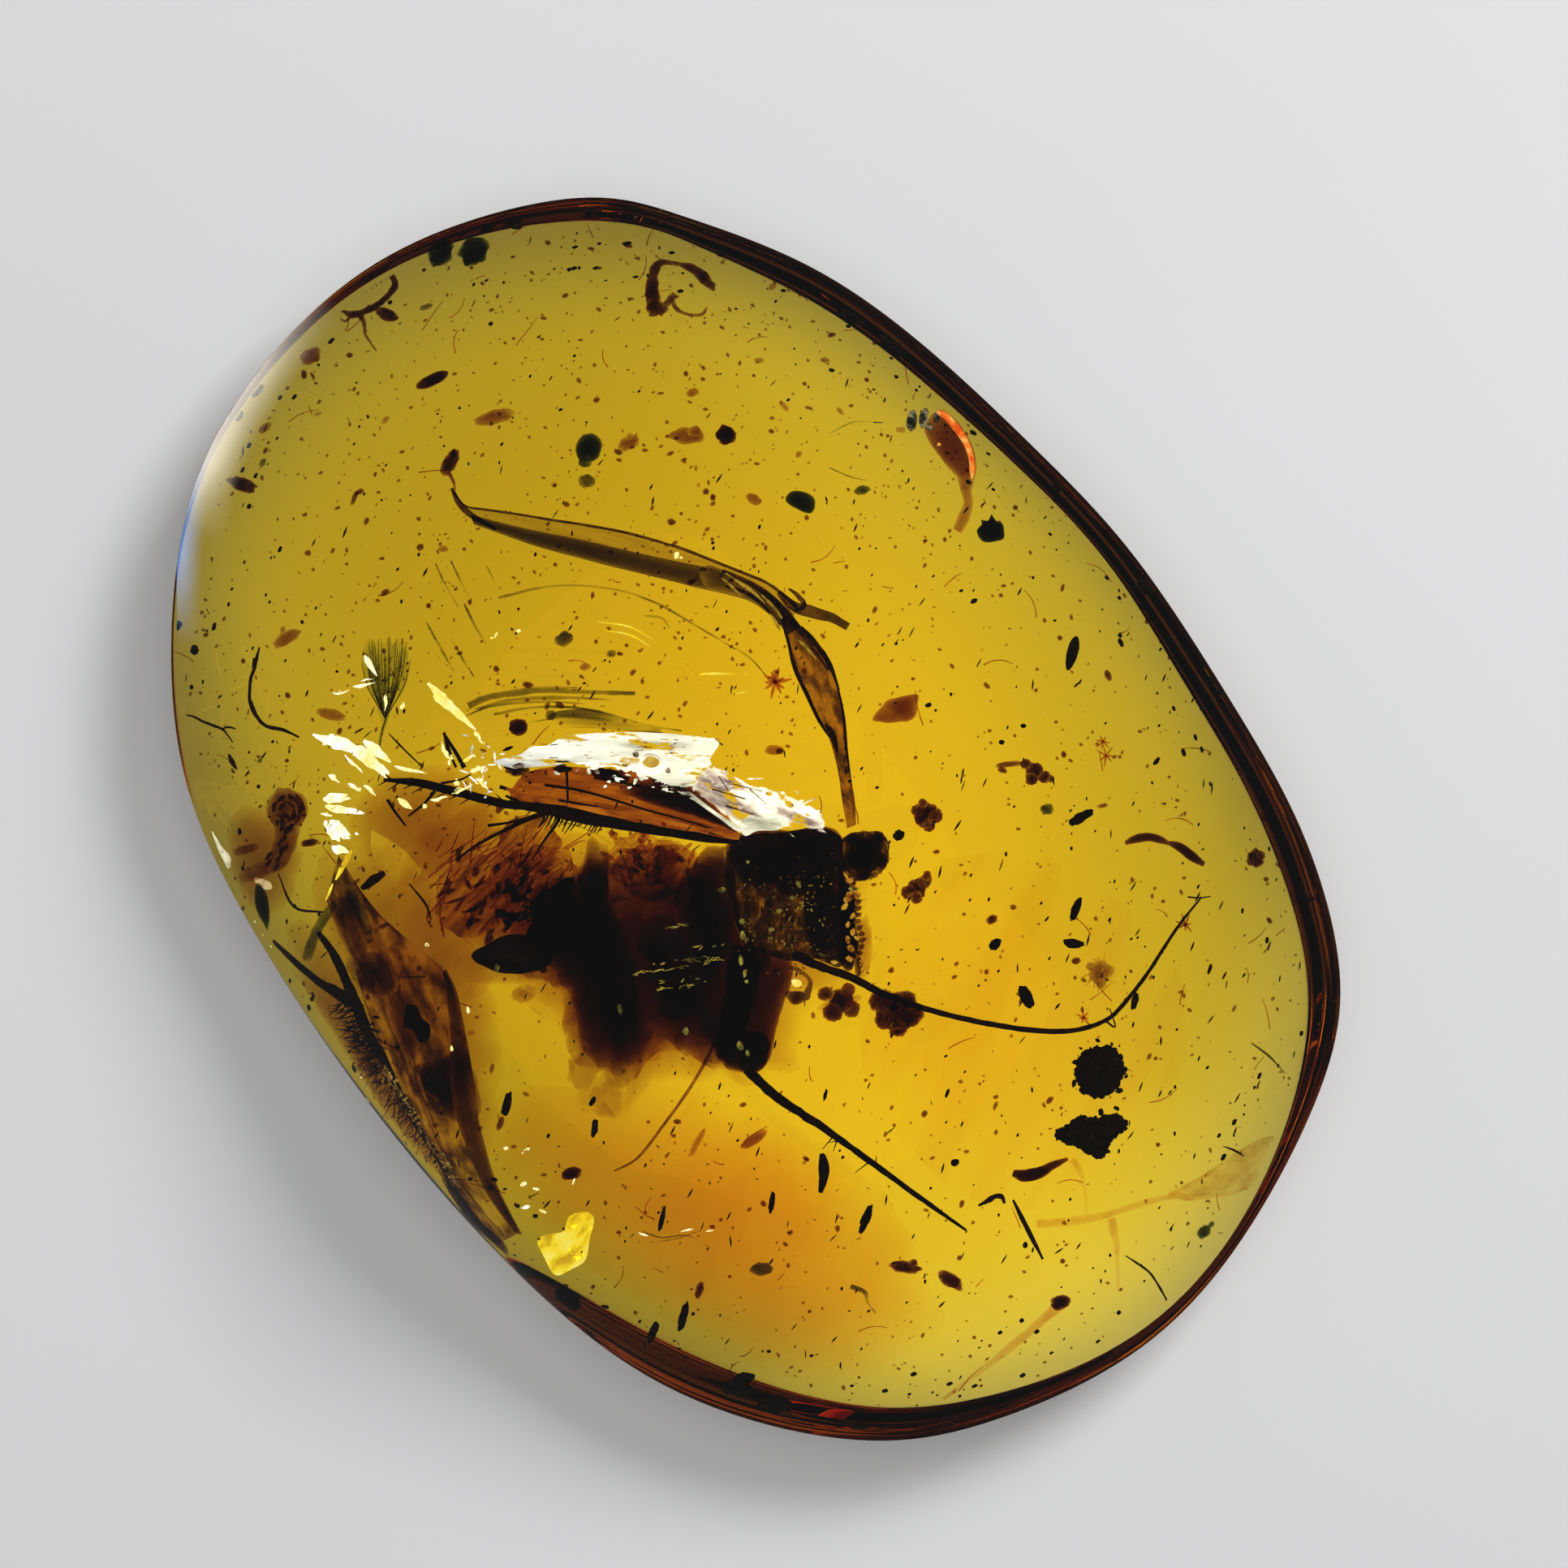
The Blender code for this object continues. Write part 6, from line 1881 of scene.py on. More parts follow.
# Crumbs too small for a solid of their own: place, full length and width, direction, and which litter.
SMALL_CRUMBS = (
    ((-9.48, 17.53), 1.05, 0.74, 78, 1), ((-8.48, 17.6), 1.05, 0.86, 70, 1),
    ((-8.92, 18.32), 0.4, 0.3, 20, 0), ((-13.39, 14.37), 0.7, 0.55, 30, 2),
    ((-11.77, 9.84), 0.45, 0.16, 70, 0), ((-11.49, 9.2), 0.25, 0.16, 70, 0),
    ((-0.85, 11.64), 0.62, 0.6, 0, 0), ((-3.65, 11.41), 0.68, 0.42, 30, 2),
    ((-3.96, 11.08), 0.28, 0.16, -30, 0), ((0.1, 9.79), 0.5, 0.32, -30, 2),
    ((-4.86, 10.25), 0.5, 0.4, 0, 3), ((3.21, 9.92), 0.5, 0.3, 15, 1), ((-5.83, 10.15), 0.22, 0.18, 0, 2),
    ((-2.36, 9.07), 0.25, 0.2, -30, 0), ((-1.67, 10.77), 0.15, 0.15, 0, 2),
    ((-1.46, 9.89), 0.2, 0.2, -40, 0), ((-1.16, 9.82), 0.18, 0.22, 0, 0),
    ((-1.75, 10.02), 0.12, 0.15, 0, 2), ((-1.82, 13.06), 0.4, 0.28, 20, 2),
    ((0.59, 16.45), 0.35, 0.2, 60, 2), ((0.21, 14.06), 0.32, 0.2, 20, 2), ((3.5, 13.54), 0.16, 0.16, 0, 0),
    ((2.47, 12.28), 0.3, 0.16, -50, 2), ((1.29, 11), 0.25, 0.16, 60, 2), ((0.93, 12.59), 0.4, 0.18, -55, 2),
    ((1.64, 13.42), 0.16, 0.14, 0, 0), ((2.29, 14.24), 0.3, 0.2, 0, 2), ((10.82, 4.24), 0.36, 0.22, -70, 0),
    ((7.86, 1.57), 0.85, 0.18, 5, 0), ((9.02, 0.21), 0.42, 0.32, 0, 1), ((9.92, -0.13), 0.82, 0.3, 28, 4),
    ((10.69, 0.28), 0.34, 0.14, 10, 0), ((9.79, -2.75), 0.65, 0.26, 68, 4),
    ((9.95, -3.7), 0.62, 0.26, -10, 4), ((7.48, -2.96), 0.36, 0.28, 30, 0), ((7.5, -3.7), 0.4, 0.3, 45, 4),
    ((4.6, -0.46), 0.34, 0.3, 20, 4), ((8.25, 2.72), 0.18, 0.14, 0, 4), ((7.48, 2.13), 0.18, 0.14, 0, 4),
    ((7.12, 2.49), 0.14, 0.12, 0, 0), ((11.69, -5.4), 0.5, 0.22, 78, 4), ((10, -4.21), 0.3, 0.2, 10, 0),
    ((17.37, -2.54), 0.85, 0.2, 8, 0), ((15.86, -1.98), 0.2, 0.15, 0, 0),
    ((-15.27, -0.64), 1.1, 0.3, 15, 2), ((-13.67, 5.76), 0.95, 0.4, 28, 2),
    ((-12.31, 3.44), 0.95, 0.34, -12, 2), ((-13.85, 4.01), 0.22, 0.18, -40, 0),
    ((-14.8, 2.03), 0.2, 0.16, 0, 1), ((-13.9, 2.03), 0.16, 0.14, 0, 0),
    ((-10.61, -3.11), 0.4, 0.16, 20, 0), ((-11.51, -1.67), 0.3, 0.14, 40, 0),
    ((-6.99, -8.22), 0.66, 0.2, 80, 4), ((-7.12, -8.71), 0.4, 0.16, 70, 0),
    ((-7.35, -7.27), 0.3, 0.12, 75, 0), ((-7.94, -6.32), 0.2, 0.16, 0, 2),
    ((-5.53, 5.6), 0.55, 0.42, 20, 3), ((-6.81, 2.98), 0.55, 0.48, 0, 0), ((-4.09, 5.17), 0.3, 0.22, 10, 3),
    ((-4.88, 4.78), 0.32, 0.24, 20, 2), ((-5.89, 3.32), 0.32, 0.3, 0, 3), ((0.82, 2.21), 0.55, 0.3, 0, 2),
    ((0.98, 2.16), 0.24, 0.2, 0, 0), ((-1.72, -14.88), 1.05, 0.24, 78, 4),
    ((-2.75, -15.7), 0.9, 0.26, 70, 4), ((-4.65, -9.07), 0.55, 0.2, 82, 4),
    ((3.65, -11.87), 0.9, 0.24, 72, 4), ((-2.44, -11.74), 0.8, 0.16, 80, 4),
    ((0.9, -11.33), 0.62, 0.18, 82, 4), ((-1.46, -9.53), 0.9, 0.22, 62, 2),
    ((-5.29, -10.41), 0.6, 0.42, 10, 0), ((6.3, -10.2), 0.26, 0.22, 20, 4),
    ((0.59, -13.54), 0.7, 0.42, 5, 3), ((-1.23, -13.98), 0.55, 0.24, 75, 0),
    ((-5.45, -14.78), 1.0, 0.7, -50, 0), ((14.11, -12.72), 0.5, 0.42, 40, 1),
    ((14.39, -12.52), 0.25, 0.2, 40, 1), ((8.56, -12.93), 0.16, 0.2, 0, 4),
    ((11.62, -17.09), 0.35, 0.14, 30, 0), ((3.62, -11.9), 0.4, 0.2, 60, 4),
    ((-10.61, -8.12), 0.22, 0.12, 60, 2), ((-7.04, 1.8), 0.38, 0.22, -20, 4),
    ((-5.47, 1.67), 0.5, 0.16, 5, 4), ((-4.09, 1.49), 0.75, 0.3, -5, 3), ((-3.32, 2.13), 0.2, 0.22, 0, 4),
    ((-7.09, 2.34), 0.3, 0.1, 20, 4), ((-4.73, -8.2), 0.3, 0.14, 60, 4), ((2.42, -8.15), 0.35, 0.1, 78, 4),
    ((6.07, -8.15), 0.3, 0.1, 70, 4), ((7.48, -8.53), 0.3, 0.12, 70, 0),
    ((12.23, -7.12), 0.26, 0.14, 60, 0), ((14.16, -4.55), 0.3, 0.12, 70, 4),
    ((14.93, -5.73), 0.26, 0.12, 60, 0), ((9.53, 7.02), 0.3, 0.12, 70, 0),
    ((-9.82, 15.7), 0.42, 0.2, 20, 3), ((-10.9, 12.21), 0.3, 0.2, 40, 2), ((-14.8, 12.21), 0.5, 0.3, 30, 2),
    ((-14.85, 11.13), 0.3, 0.2, 60, 3), ((-13.18, 12.62), 0.3, 0.16, 10, 2), ((-9.12, 8.3), 0.3, 0.2, 0, 2),
    ((-9.82, 8.38), 0.24, 0.2, 30, 0), ((6.71, 6.5), 0.24, 0.14, 30, 4), ((3.62, 6.25), 0.24, 0.14, 60, 0),
    ((12.23, 1.49), 0.3, 0.14, 50, 4), ((5.42, 3.42), 0.2, 0.14, 20, 4),
)


def small_crumbs():
    litter = (BROWN_LITTER, GREEN_LITTER, BROWN_SOFT, CRACK_SHADE, BLACK_LITTER)
    names = ("brown", "green", "soft", "faint", "black")
    meshes = [bmesh.new() for _ in litter]
    draw = random.Random(31)
    for i, ((x, y), length, width, turn, kind) in enumerate(SMALL_CRUMBS):
        bottom, top = stone_heights(x, y)
        z = bottom + (top - bottom) * draw.uniform(0.35, 0.7)
        sizes = (length / 2, width / 2, 0.4 * width)
        lump(
            meshes[kind], (x, y, z), sizes, turn, draw.uniform(-12, 12), rough=0.3, grain=2.0, detail=3,
            seed=i,
        )
        if length > 0.6 and i % 2:
            nub = Vector((x, y)) + 0.3 * length * heading(2.0 * i)
            lump(
                meshes[kind], (*nub, z), (0.3 * width, 0.25 * width, 0.2 * width), 30 * i, rough=0.3, seed=i
            )
    for name, material, mesh in zip(names, litter, meshes):
        add_piece(mesh, f"small_crumbs_{name}", material)


def scatter(seed, count):
    """Places spread evenly over the stone and through its depth."""
    draw = random.Random(seed)
    found = []
    while len(found) < count:
        x, y = draw.uniform(-18.5, 19), draw.uniform(-19.8, 20)
        if share_at(x, y) > SPECK_REACH:
            continue
        bottom, top = stone_heights(x, y)
        found.append((x, y, bottom + (top - bottom) * draw.uniform(0.12, 0.86)))
    return found, draw


def dust():
    """Fine specks, splinters and hairs all through the amber."""
    specks, fine, dark, splinters, hairs = (bmesh.new() for _ in range(5))
    places, draw = scatter(1, 1700)
    for i, place in enumerate(places):
        # More of them lie towards the upper left.
        upper_left = place[1] - 0.6 * place[0] > 4
        if not upper_left and draw.random() < 0.45:
            continue
        size = draw.uniform(0.03, 0.075) * (1.5 if draw.random() < 0.12 else 1)
        stretch = draw.uniform(1.0, 1.8)
        lump(
            specks, place, (size * stretch, size, 0.8 * size), draw.uniform(0, 180), rough=0.3, detail=1,
            seed=i,
        )
    places, draw = scatter(5, 1900)
    for i, place in enumerate(places):
        # Fewer of them lie towards the lower right.
        if place[1] - 0.6 * place[0] < 2 and draw.random() < 0.6:
            continue
        size = draw.uniform(0.018, 0.04)
        lump(
            fine, place, (size * draw.uniform(1.0, 2.2), size, size), draw.gauss(60, 40), rough=0.3,
            detail=1, seed=i,
        )
    places, draw = scatter(2, 420)
    for i, place in enumerate(places):
        size = draw.uniform(0.02, 0.05)
        lump(
            dark, place, (size * draw.uniform(1, 2), size, size), draw.gauss(65, 25), rough=0.3, detail=1,
            seed=i,
        )
    places, draw = scatter(3, 330)
    for x, y, z in places:
        # Fewer of them lie at the upper left.
        if y > 5 and x < 2 and draw.random() < 0.6:
            continue
        turn = math.radians(draw.gauss(66, 16))
        half = draw.uniform(0.05, 0.18) * Vector((math.cos(turn), math.sin(turn), draw.uniform(-0.3, 0.3)))
        middle = Vector((x, y, z))
        thick = draw.uniform(0.018, 0.042)
        limb(
            splinters, (middle - half, middle, middle + half), (0.4 * thick, thick, 0.3 * thick), sides=5,
            per_span=2,
        )
    places, draw = scatter(4, 90)
    for x, y, z in places:
        turn, bend = draw.uniform(0, math.pi), draw.uniform(-0.8, 0.8)
        reach = draw.uniform(0.3, 1.1)
        path = []
        for _ in range(4):
            path.append((x, y, z))
            x += reach / 3 * math.cos(turn)
            y += reach / 3 * math.sin(turn)
            turn += bend / 2
        limb(hairs, path, (0.022, 0.012), sides=4, per_span=3)
    add_piece(specks, "specks", SPECK)
    add_piece(fine, "fine_specks", BROWN_LITTER)
    add_piece(dark, "dark_specks", BLACK_LITTER)
    add_piece(splinters, "splinters", DARK_BROWN)
    add_piece(hairs, "fine_hairs", FIBRE_RED)


# ---------------------------------------------------------------- flaws in the amber and painted glints


def fractures():
    """Flat cracks just under the polished face, whose white shine is a painted glow."""
    white = bmesh.new()
    outline = (
        (-7.68, 1.88), (-7.32, 2.03), (-6.86, 2.13), (-6.5, 2.36), (-6.04, 2.39), (-5.63, 2.65),
        (-4.78, 2.75), (-3.57, 2.8), (-2.21, 2.75), (-1.46, 2.67), (-0.87, 2.57), (-0.9, 2.24),
        (-1.08, 1.98), (-1.03, 1.72), (-1.31, 1.46), (-1.57, 1.41), (-1.77, 1.05), (-2.08, 1.11),
        (-2.24, 1.41), (-2.54, 1.31), (-2.75, 1.57), (-3.06, 1.46), (-3.32, 1.72), (-3.62, 1.57),
        (-4.03, 1.75), (-4.6, 1.7), (-4.96, 1.85), (-5.47, 1.77), (-5.89, 1.93), (-6.37, 1.85),
        (-6.86, 1.93), (-6.99, 1.7), (-7.38, 1.77),
    )
    pad(white, outline, FLAW_HEIGHT, 0.04, rough=0.02, grain=2.5, edge=0.3, seed=101)
    band = (
        (-2.18, 1.31), (-1.88, 1.11), (-1.52, 0.85), (-0.95, 0.41), (-0.39, 0.03), (-0.03, -0.23),
        (-0.28, -0.21), (-0.64, 0.05), (-1.21, 0.46), (-1.72, 0.8), (-2.08, 1),
    )
    pad(white, band, FLAW_HEIGHT - 0.1, 0.03, per_span=3, rough=0.03, grain=3, edge=0.3, seed=102)
    pad(white, (
        (-0.18, -0.08), (0.23, 0.28), (0.64, 0.33), (1.11, 0.08), (1, -0.21), (0.39, -0.23), (0.03, -0.39)
    ), FLAW_HEIGHT - 0.1, 0.03, per_span=3, rough=0.05, grain=3, edge=0.3, seed=104)
    draw = random.Random(102)
    for i in range(60):
        place = Vector((-5.89, 1.8)).lerp(Vector((-1.46, 1.21)), draw.random() ** 0.7)
        place += astray(draw, 0.1, 0.16)
        size = (draw.uniform(0.03, 0.13), draw.uniform(0.012, 0.06), 0.03)
        lump(
            white, (*place, FLAW_HEIGHT - 0.05), size, draw.gauss(-20, 50), rough=0.9, grain=1.1, detail=3,
            seed=i,
        )
    for i in range(26):
        place = Vector((-8.1, 1.67)) + astray(draw, 0.36, 0.34)
        size = (draw.uniform(0.03, 0.16), draw.uniform(0.01, 0.035), 0.03)
        lump(white, (*place, FLAW_HEIGHT - 0.15), size, draw.gauss(-40, 45), rough=0.5, grain=1.6, seed=i)
    add_piece(white, "white_fracture_painted_glow", WHITE_GLOWING_CRACK)
    streaked = bmesh.new()
    tail = (
        (-1.11, 1.72), (-0.85, 1.44), (-0.36, 1.31), (0.28, 1.13), (0.93, 0.98), (1.59, 0.69), (2.08, 0.39),
        (2.42, 0), (2.08, -0.15), (1.11, -0.18), (0.28, -0.23), (-0.18, -0.1), (-0.69, 0.33), (-1.23, 0.75),
        (-1.62, 1.05), (-1.41, 1.41),
    )
    pad(streaked, tail, FLAW_HEIGHT - 0.12, 0.04, rough=0.06, grain=2.5, edge=0.3, seed=103)
    for i in range(70):
        place = Vector((-1, 1.41)).lerp(Vector((2.24, 0.08)), draw.random()) + astray(draw, 0.15, 0.26)
        size = (draw.uniform(0.05, 0.26), draw.uniform(0.015, 0.05), 0.03)
        lump(
            streaked, (*place, FLAW_HEIGHT - 0.02), size, draw.gauss(-16, 22), rough=0.5, grain=1.6, seed=i
        )
    add_piece(streaked, "streaked_fracture_painted_glow", STREAKED_GLOWING_CRACK)
    dark = bmesh.new()
    for i, (path, widths) in enumerate((
        (((-2.29, 1.05), (-1.52, 0.54)), (0.02, 0.01667)), (((-0.36, 1.21), (0.54, 0.98)), (0.02, 0.015)),
        (((-1, 1.05), (0.03, 0.75)), (0.03, 0.0225)), (((-0.59, 0.54), (0.28, 0.28)), (0.03, 0.0225)),
        (((0.15, 1.05), (0.67, 0.59)), (0.02, 0.015)), (((-0.8, 1.46), (-0.49, 0.98)), (0.02, 0.015)),
        (((-0.9, 2.6), (-0.67, 2.39)), (0.025, 0.02083)), (((-3.42, 2.18), (-3.32, 2.03)), (0.05, 0.0375)),
    )):
        limb(dark, path, widths, (0.02, 0.015), FLAW_HEIGHT + 0.03, sides=6, rough=0.5, grain=4, seed=i)
    for _ in range(26):
        x, y = draw.uniform(-6.8, -1.4), draw.uniform(2.0, 2.7)
        lump(
            dark, (x, y, FLAW_HEIGHT + 0.04), (draw.uniform(0.03, 0.2), draw.uniform(0.008, 0.022), 0.02),
            draw.uniform(-9, 9), rough=0.4, detail=1,
        )
    for x, y, wide, tall in (
        (-4.39, 1.62, 0.22, 0.07), (-3.83, 1.59, 0.16, 0.06), (-3.32, 2.11, 0.10, 0.08),
        (-5.58, 1.77, 0.16, 0.05), (-2.34, 1.62, 0.08, 0.08), (-6.91, 1.77, 0.2, 0.08),
    ):
        lump(dark, (x, y, FLAW_HEIGHT + 0.05), (wide, tall, 0.03), 0, rough=0.5, grain=1.6)
    add_piece(dark, "fracture_edges", FRACTURE_EDGE)
    # A small golden window in the crack, its brightness a painted glow.
    window = bmesh.new()
    pad(window, (
        (-3.14, 1.93), (-2.98, 2.06), (-2.75, 2.03), (-2.6, 1.9), (-2.67, 1.75), (-2.9, 1.7), (-3.08, 1.77)
    ), FLAW_HEIGHT + 0.08, 0.02, per_span=3, edge=0.3)
    add_piece(window, "fracture_window_painted_glow", FRACTURE_WINDOW_GLOW)
    ring = bmesh.new()
    rim = (
        (-3.19, 1.9), (-2.98, 2.11), (-2.7, 2.06), (-2.54, 1.88), (-2.67, 1.67), (-2.98, 1.64),
        (-3.16, 1.77),
    )
    limb(ring, rim, (0.05,) * 7, (0.02,) * 7, FLAW_HEIGHT + 0.1, sides=6, rough=0.3, grain=3)
    add_piece(ring, "fracture_ring", WHITE_GLOWING_CRACK)


def glints():
    # Painted golden glints: slivers and specks that glow.
    gold = bmesh.new()
    draw = random.Random(17)

    def stroke(start, end, wide, splits):
        """A ragged sliver of painted glint, with thinner ones beside it."""
        start, end = Vector(start), Vector(end)
        for k in range(splits):
            shift = astray(draw, 0.06, 0.06) * (k > 0)
            from_share, to_share = (0.0, 1.0) if k == 0 else sorted((draw.random(), draw.random()))
            shares = [from_share + (to_share - from_share) * t for t in (0, 0.3, 0.6, 1)]
            path = [start.lerp(end, share) + shift + astray(draw, 0.02, 0.02) for share in shares]
            size = wide if k == 0 else wide * draw.uniform(0.25, 0.6)
            limb(
                gold, path, (0.25 * size, size, 0.8 * size, 0.15 * size), (0.02,) * 4, GLINT_HEIGHT,
                sides=6, rough=0.45, grain=4.0, seed=k,
            )

    for start, end, wide, splits in (
        ((-9.71, 4.32), (-8.22, 2.88), 0.15, 3), ((-13.44, 2.75), (-12, 2.18), 0.11, 7),
        ((-12.82, 2.7), (-11.54, 1.93), 0.17, 8), ((-12.16, 2.39), (-10.92, 1.57), 0.22, 9),
        ((-11.74, 2.54), (-10.85, 1.88), 0.16, 7), ((-11.54, 2.08), (-11.03, 1.41), 0.13, 4),
        ((-10.74, 1.75), (-9.71, 1.54), 0.06, 2), ((-11.72, 5.17), (-11.31, 4.55), 0.10, 2),
        ((-12.8, 4.03), (-12.21, 4.11), 0.04, 2), ((-12.13, 4.19), (-11.36, 4.34), 0.05, 2),
        ((-11.05, 4.01), (-11.03, 3.47), 0.05, 1), ((-10.56, 3.52), (-10.46, 3.73), 0.06, 1),
        ((-10.64, 0.8), (-10.18, 0.44), 0.11, 2), ((-9.82, 0.59), (-9.71, 0.51), 0.07, 1),
        ((-13.08, 0.75), (-12.26, 0.87), 0.13, 4), ((-13.03, 0.54), (-11.74, 0.31), 0.13, 5),
        ((-13.06, 0.03), (-12.21, -0.44), 0.20, 7), ((-12.98, -0.08), (-12.57, -0.54), 0.18, 5),
        ((-12.8, -0.75), (-12.31, -0.9), 0.13, 3), ((-12.85, 1.54), (-12.57, 1.26), 0.05, 2),
        ((-12.26, 1.21), (-11.85, 1), 0.07, 2), ((-11.72, 1.16), (-11.36, 0.9), 0.06, 1),
        ((-12.39, 2.08), (-11.77, 1.52), 0.05, 3), ((-9.23, 2.26), (-8.94, 1.98), 0.07, 2),
        ((-8.84, 1.31), (-8.71, 1.16), 0.07, 2), ((-8.25, 2.83), (-8.04, 2.54), 0.08, 3),
        ((-8.56, 1.93), (-8.25, 2.13), 0.06, 3), ((-8.4, 1.59), (-7.94, 1.72), 0.06, 4),
        ((-8.2, 1.36), (-7.79, 1.11), 0.05, 3), ((-8.94, 0.95), (-8.28, 1.21), 0.05, 3),
        ((-9.59, 0.72), (-9.07, 0.85), 0.05, 2), ((-9.25, 2.52), (-9.07, 2.03), 0.05, 2),
    ):
        stroke(start, end, wide, splits)
    for x, y, wide, tall, turn in (
        (-11.98, -0.31, 0.06, 0.05, 0), (-7.61, 5.76, 0.10, 0.04, 60), (-6.91, 5.89, 0.08, 0.05, 0),
        (-7.74, 5.68, 0.05, 0.03, 0), (-2.13, 8.17, 0.11, 0.08, 70), (-2, 8.1, 0.05, 0.04, 10),
        (-12.93, 0.28, 0.2, 0.05, -8), (-12.62, -0.18, 0.15, 0.08, -30), (-11.98, -7.94, 0.05, 0.04, 0),
        (-11.95, -8.79, 0.04, 0.12, 0), (-6.73, -10.05, 0.16, 0.05, 40), (-7.35, -10, 0.08, 0.06, 0),
        (-6.84, -11.13, 0.12, 0.07, 30), (-6.45, -11.28, 0.10, 0.05, -10), (-6.78, -11.87, 0.16, 0.06, 20),
        (-6.25, -12, 0.12, 0.05, -25), (-5.29, -11.03, 0.12, 0.03, 70), (-1.77, -12.57, 0.20, 0.03, 15),
        (-3.14, -12.72, 0.16, 0.03, -20), (-1.08, -12.59, 0.12, 0.03, 10), (-8.94, -6.91, 0.05, 0.09, 0),
        (-15.75, -3.08, 0.05, 0.04, 0), (-15.45, -3.52, 0.05, 0.04, 0), (-15.09, -3.88, 0.05, 0.05, 0),
        (1.59, -4.88, 0.17, 0.10, -20), (-9.02, 1.88, 0.04, 0.08, 10), (-9.71, -3.75, 0.07, 0.06, 0),
        (-8.4, -5.73, 0.05, 0.11, 5),
    ):
        _, top = stone_heights(x, y)
        lump(
            gold, (x, y, min(GLINT_HEIGHT, top - 0.5)), (wide, tall, 0.035), turn, rough=0.5, grain=1.4,
            seed=int(40 * wide),
        )
    add_piece(gold, "golden_glints", GOLD_GLINT)
    # Thin golden streaks of painted glow.
    bands = bmesh.new()
    for i, (path, widths) in enumerate((
        (((-12.03, -0.8), (-12.21, -1.11), (-12.39, -1.41), (-12.59, -1.72)), (0.05, 0.09, 0.08, 0.03)),
        (((-12.7, -1.85), (-12.82, -2.11), (-12.98, -2.39)), (0.02, 0.05, 0.02)),
        (((-2.13, 4.42), (-1.26, 4.55), (0, 4.5)), (0.01, 0.035, 0.01)),
        (((-4.52, 6.14), (-3.57, 5.99), (-2.85, 5.6)), (0.01, 0.03, 0.01)),
        (((-4.34, 5.89), (-3.52, 5.73), (-2.9, 5.37)), (0.01, 0.025, 0.01)),
        (((-1.08, 3.85), (-0.49, 3.91), (0, 3.98)), (0.01, 0.025, 0.01)),
    )):
        limb(bands, path, widths, [0.3 * w for w in widths], STREAK_HEIGHT, rough=0.4, grain=3, seed=i)
    add_piece(bands, "golden_streaks", YELLOW_GLOW)
    # A painted highlight on the cut edge at the left, as two pale chips.
    pale = bmesh.new()
    pad(pale, (
        (-16.99, -0.23), (-16.78, -0.44), (-16.53, -0.39), (-16.22, -0.69), (-15.96, -0.95),
        (-16.06, -1.26), (-16.37, -1.36), (-16.63, -1.11), (-16.88, -0.75),
    ), 3.2, 0.14, per_span=3, rough=0.25, grain=2.5, seed=130)
    pad(pale, (
        (-15.14, -1.57), (-14.83, -1.57), (-14.49, -1.67), (-14.42, -1.88), (-14.78, -1.93), (-15.03, -1.8)
    ), 3.4, 0.07, per_span=3, rough=0.2, seed=131)
    add_piece(pale, "cut_edge_highlights", CUT_EDGE_HIGHLIGHT)
    # A yellow facet at the lower left, its brightness a painted glow.
    facet = bmesh.new()
    pad(facet, (
        (-6.09, -13), (-6.17, -12.52), (-5.78, -12.26), (-5.4, -12.13), (-5.27, -11.64), (-4.75, -11.54),
        (-4.55, -11.9), (-4.68, -12.52), (-4.75, -13.18), (-5.22, -13.54), (-5.71, -13.85), (-5.94, -13.44),
    ), 3.9, 0.06, per_span=3, rough=0.05, edge=0.3, seed=132)
    add_piece(facet, "yellow_painted_glow", YELLOW_GLOW)


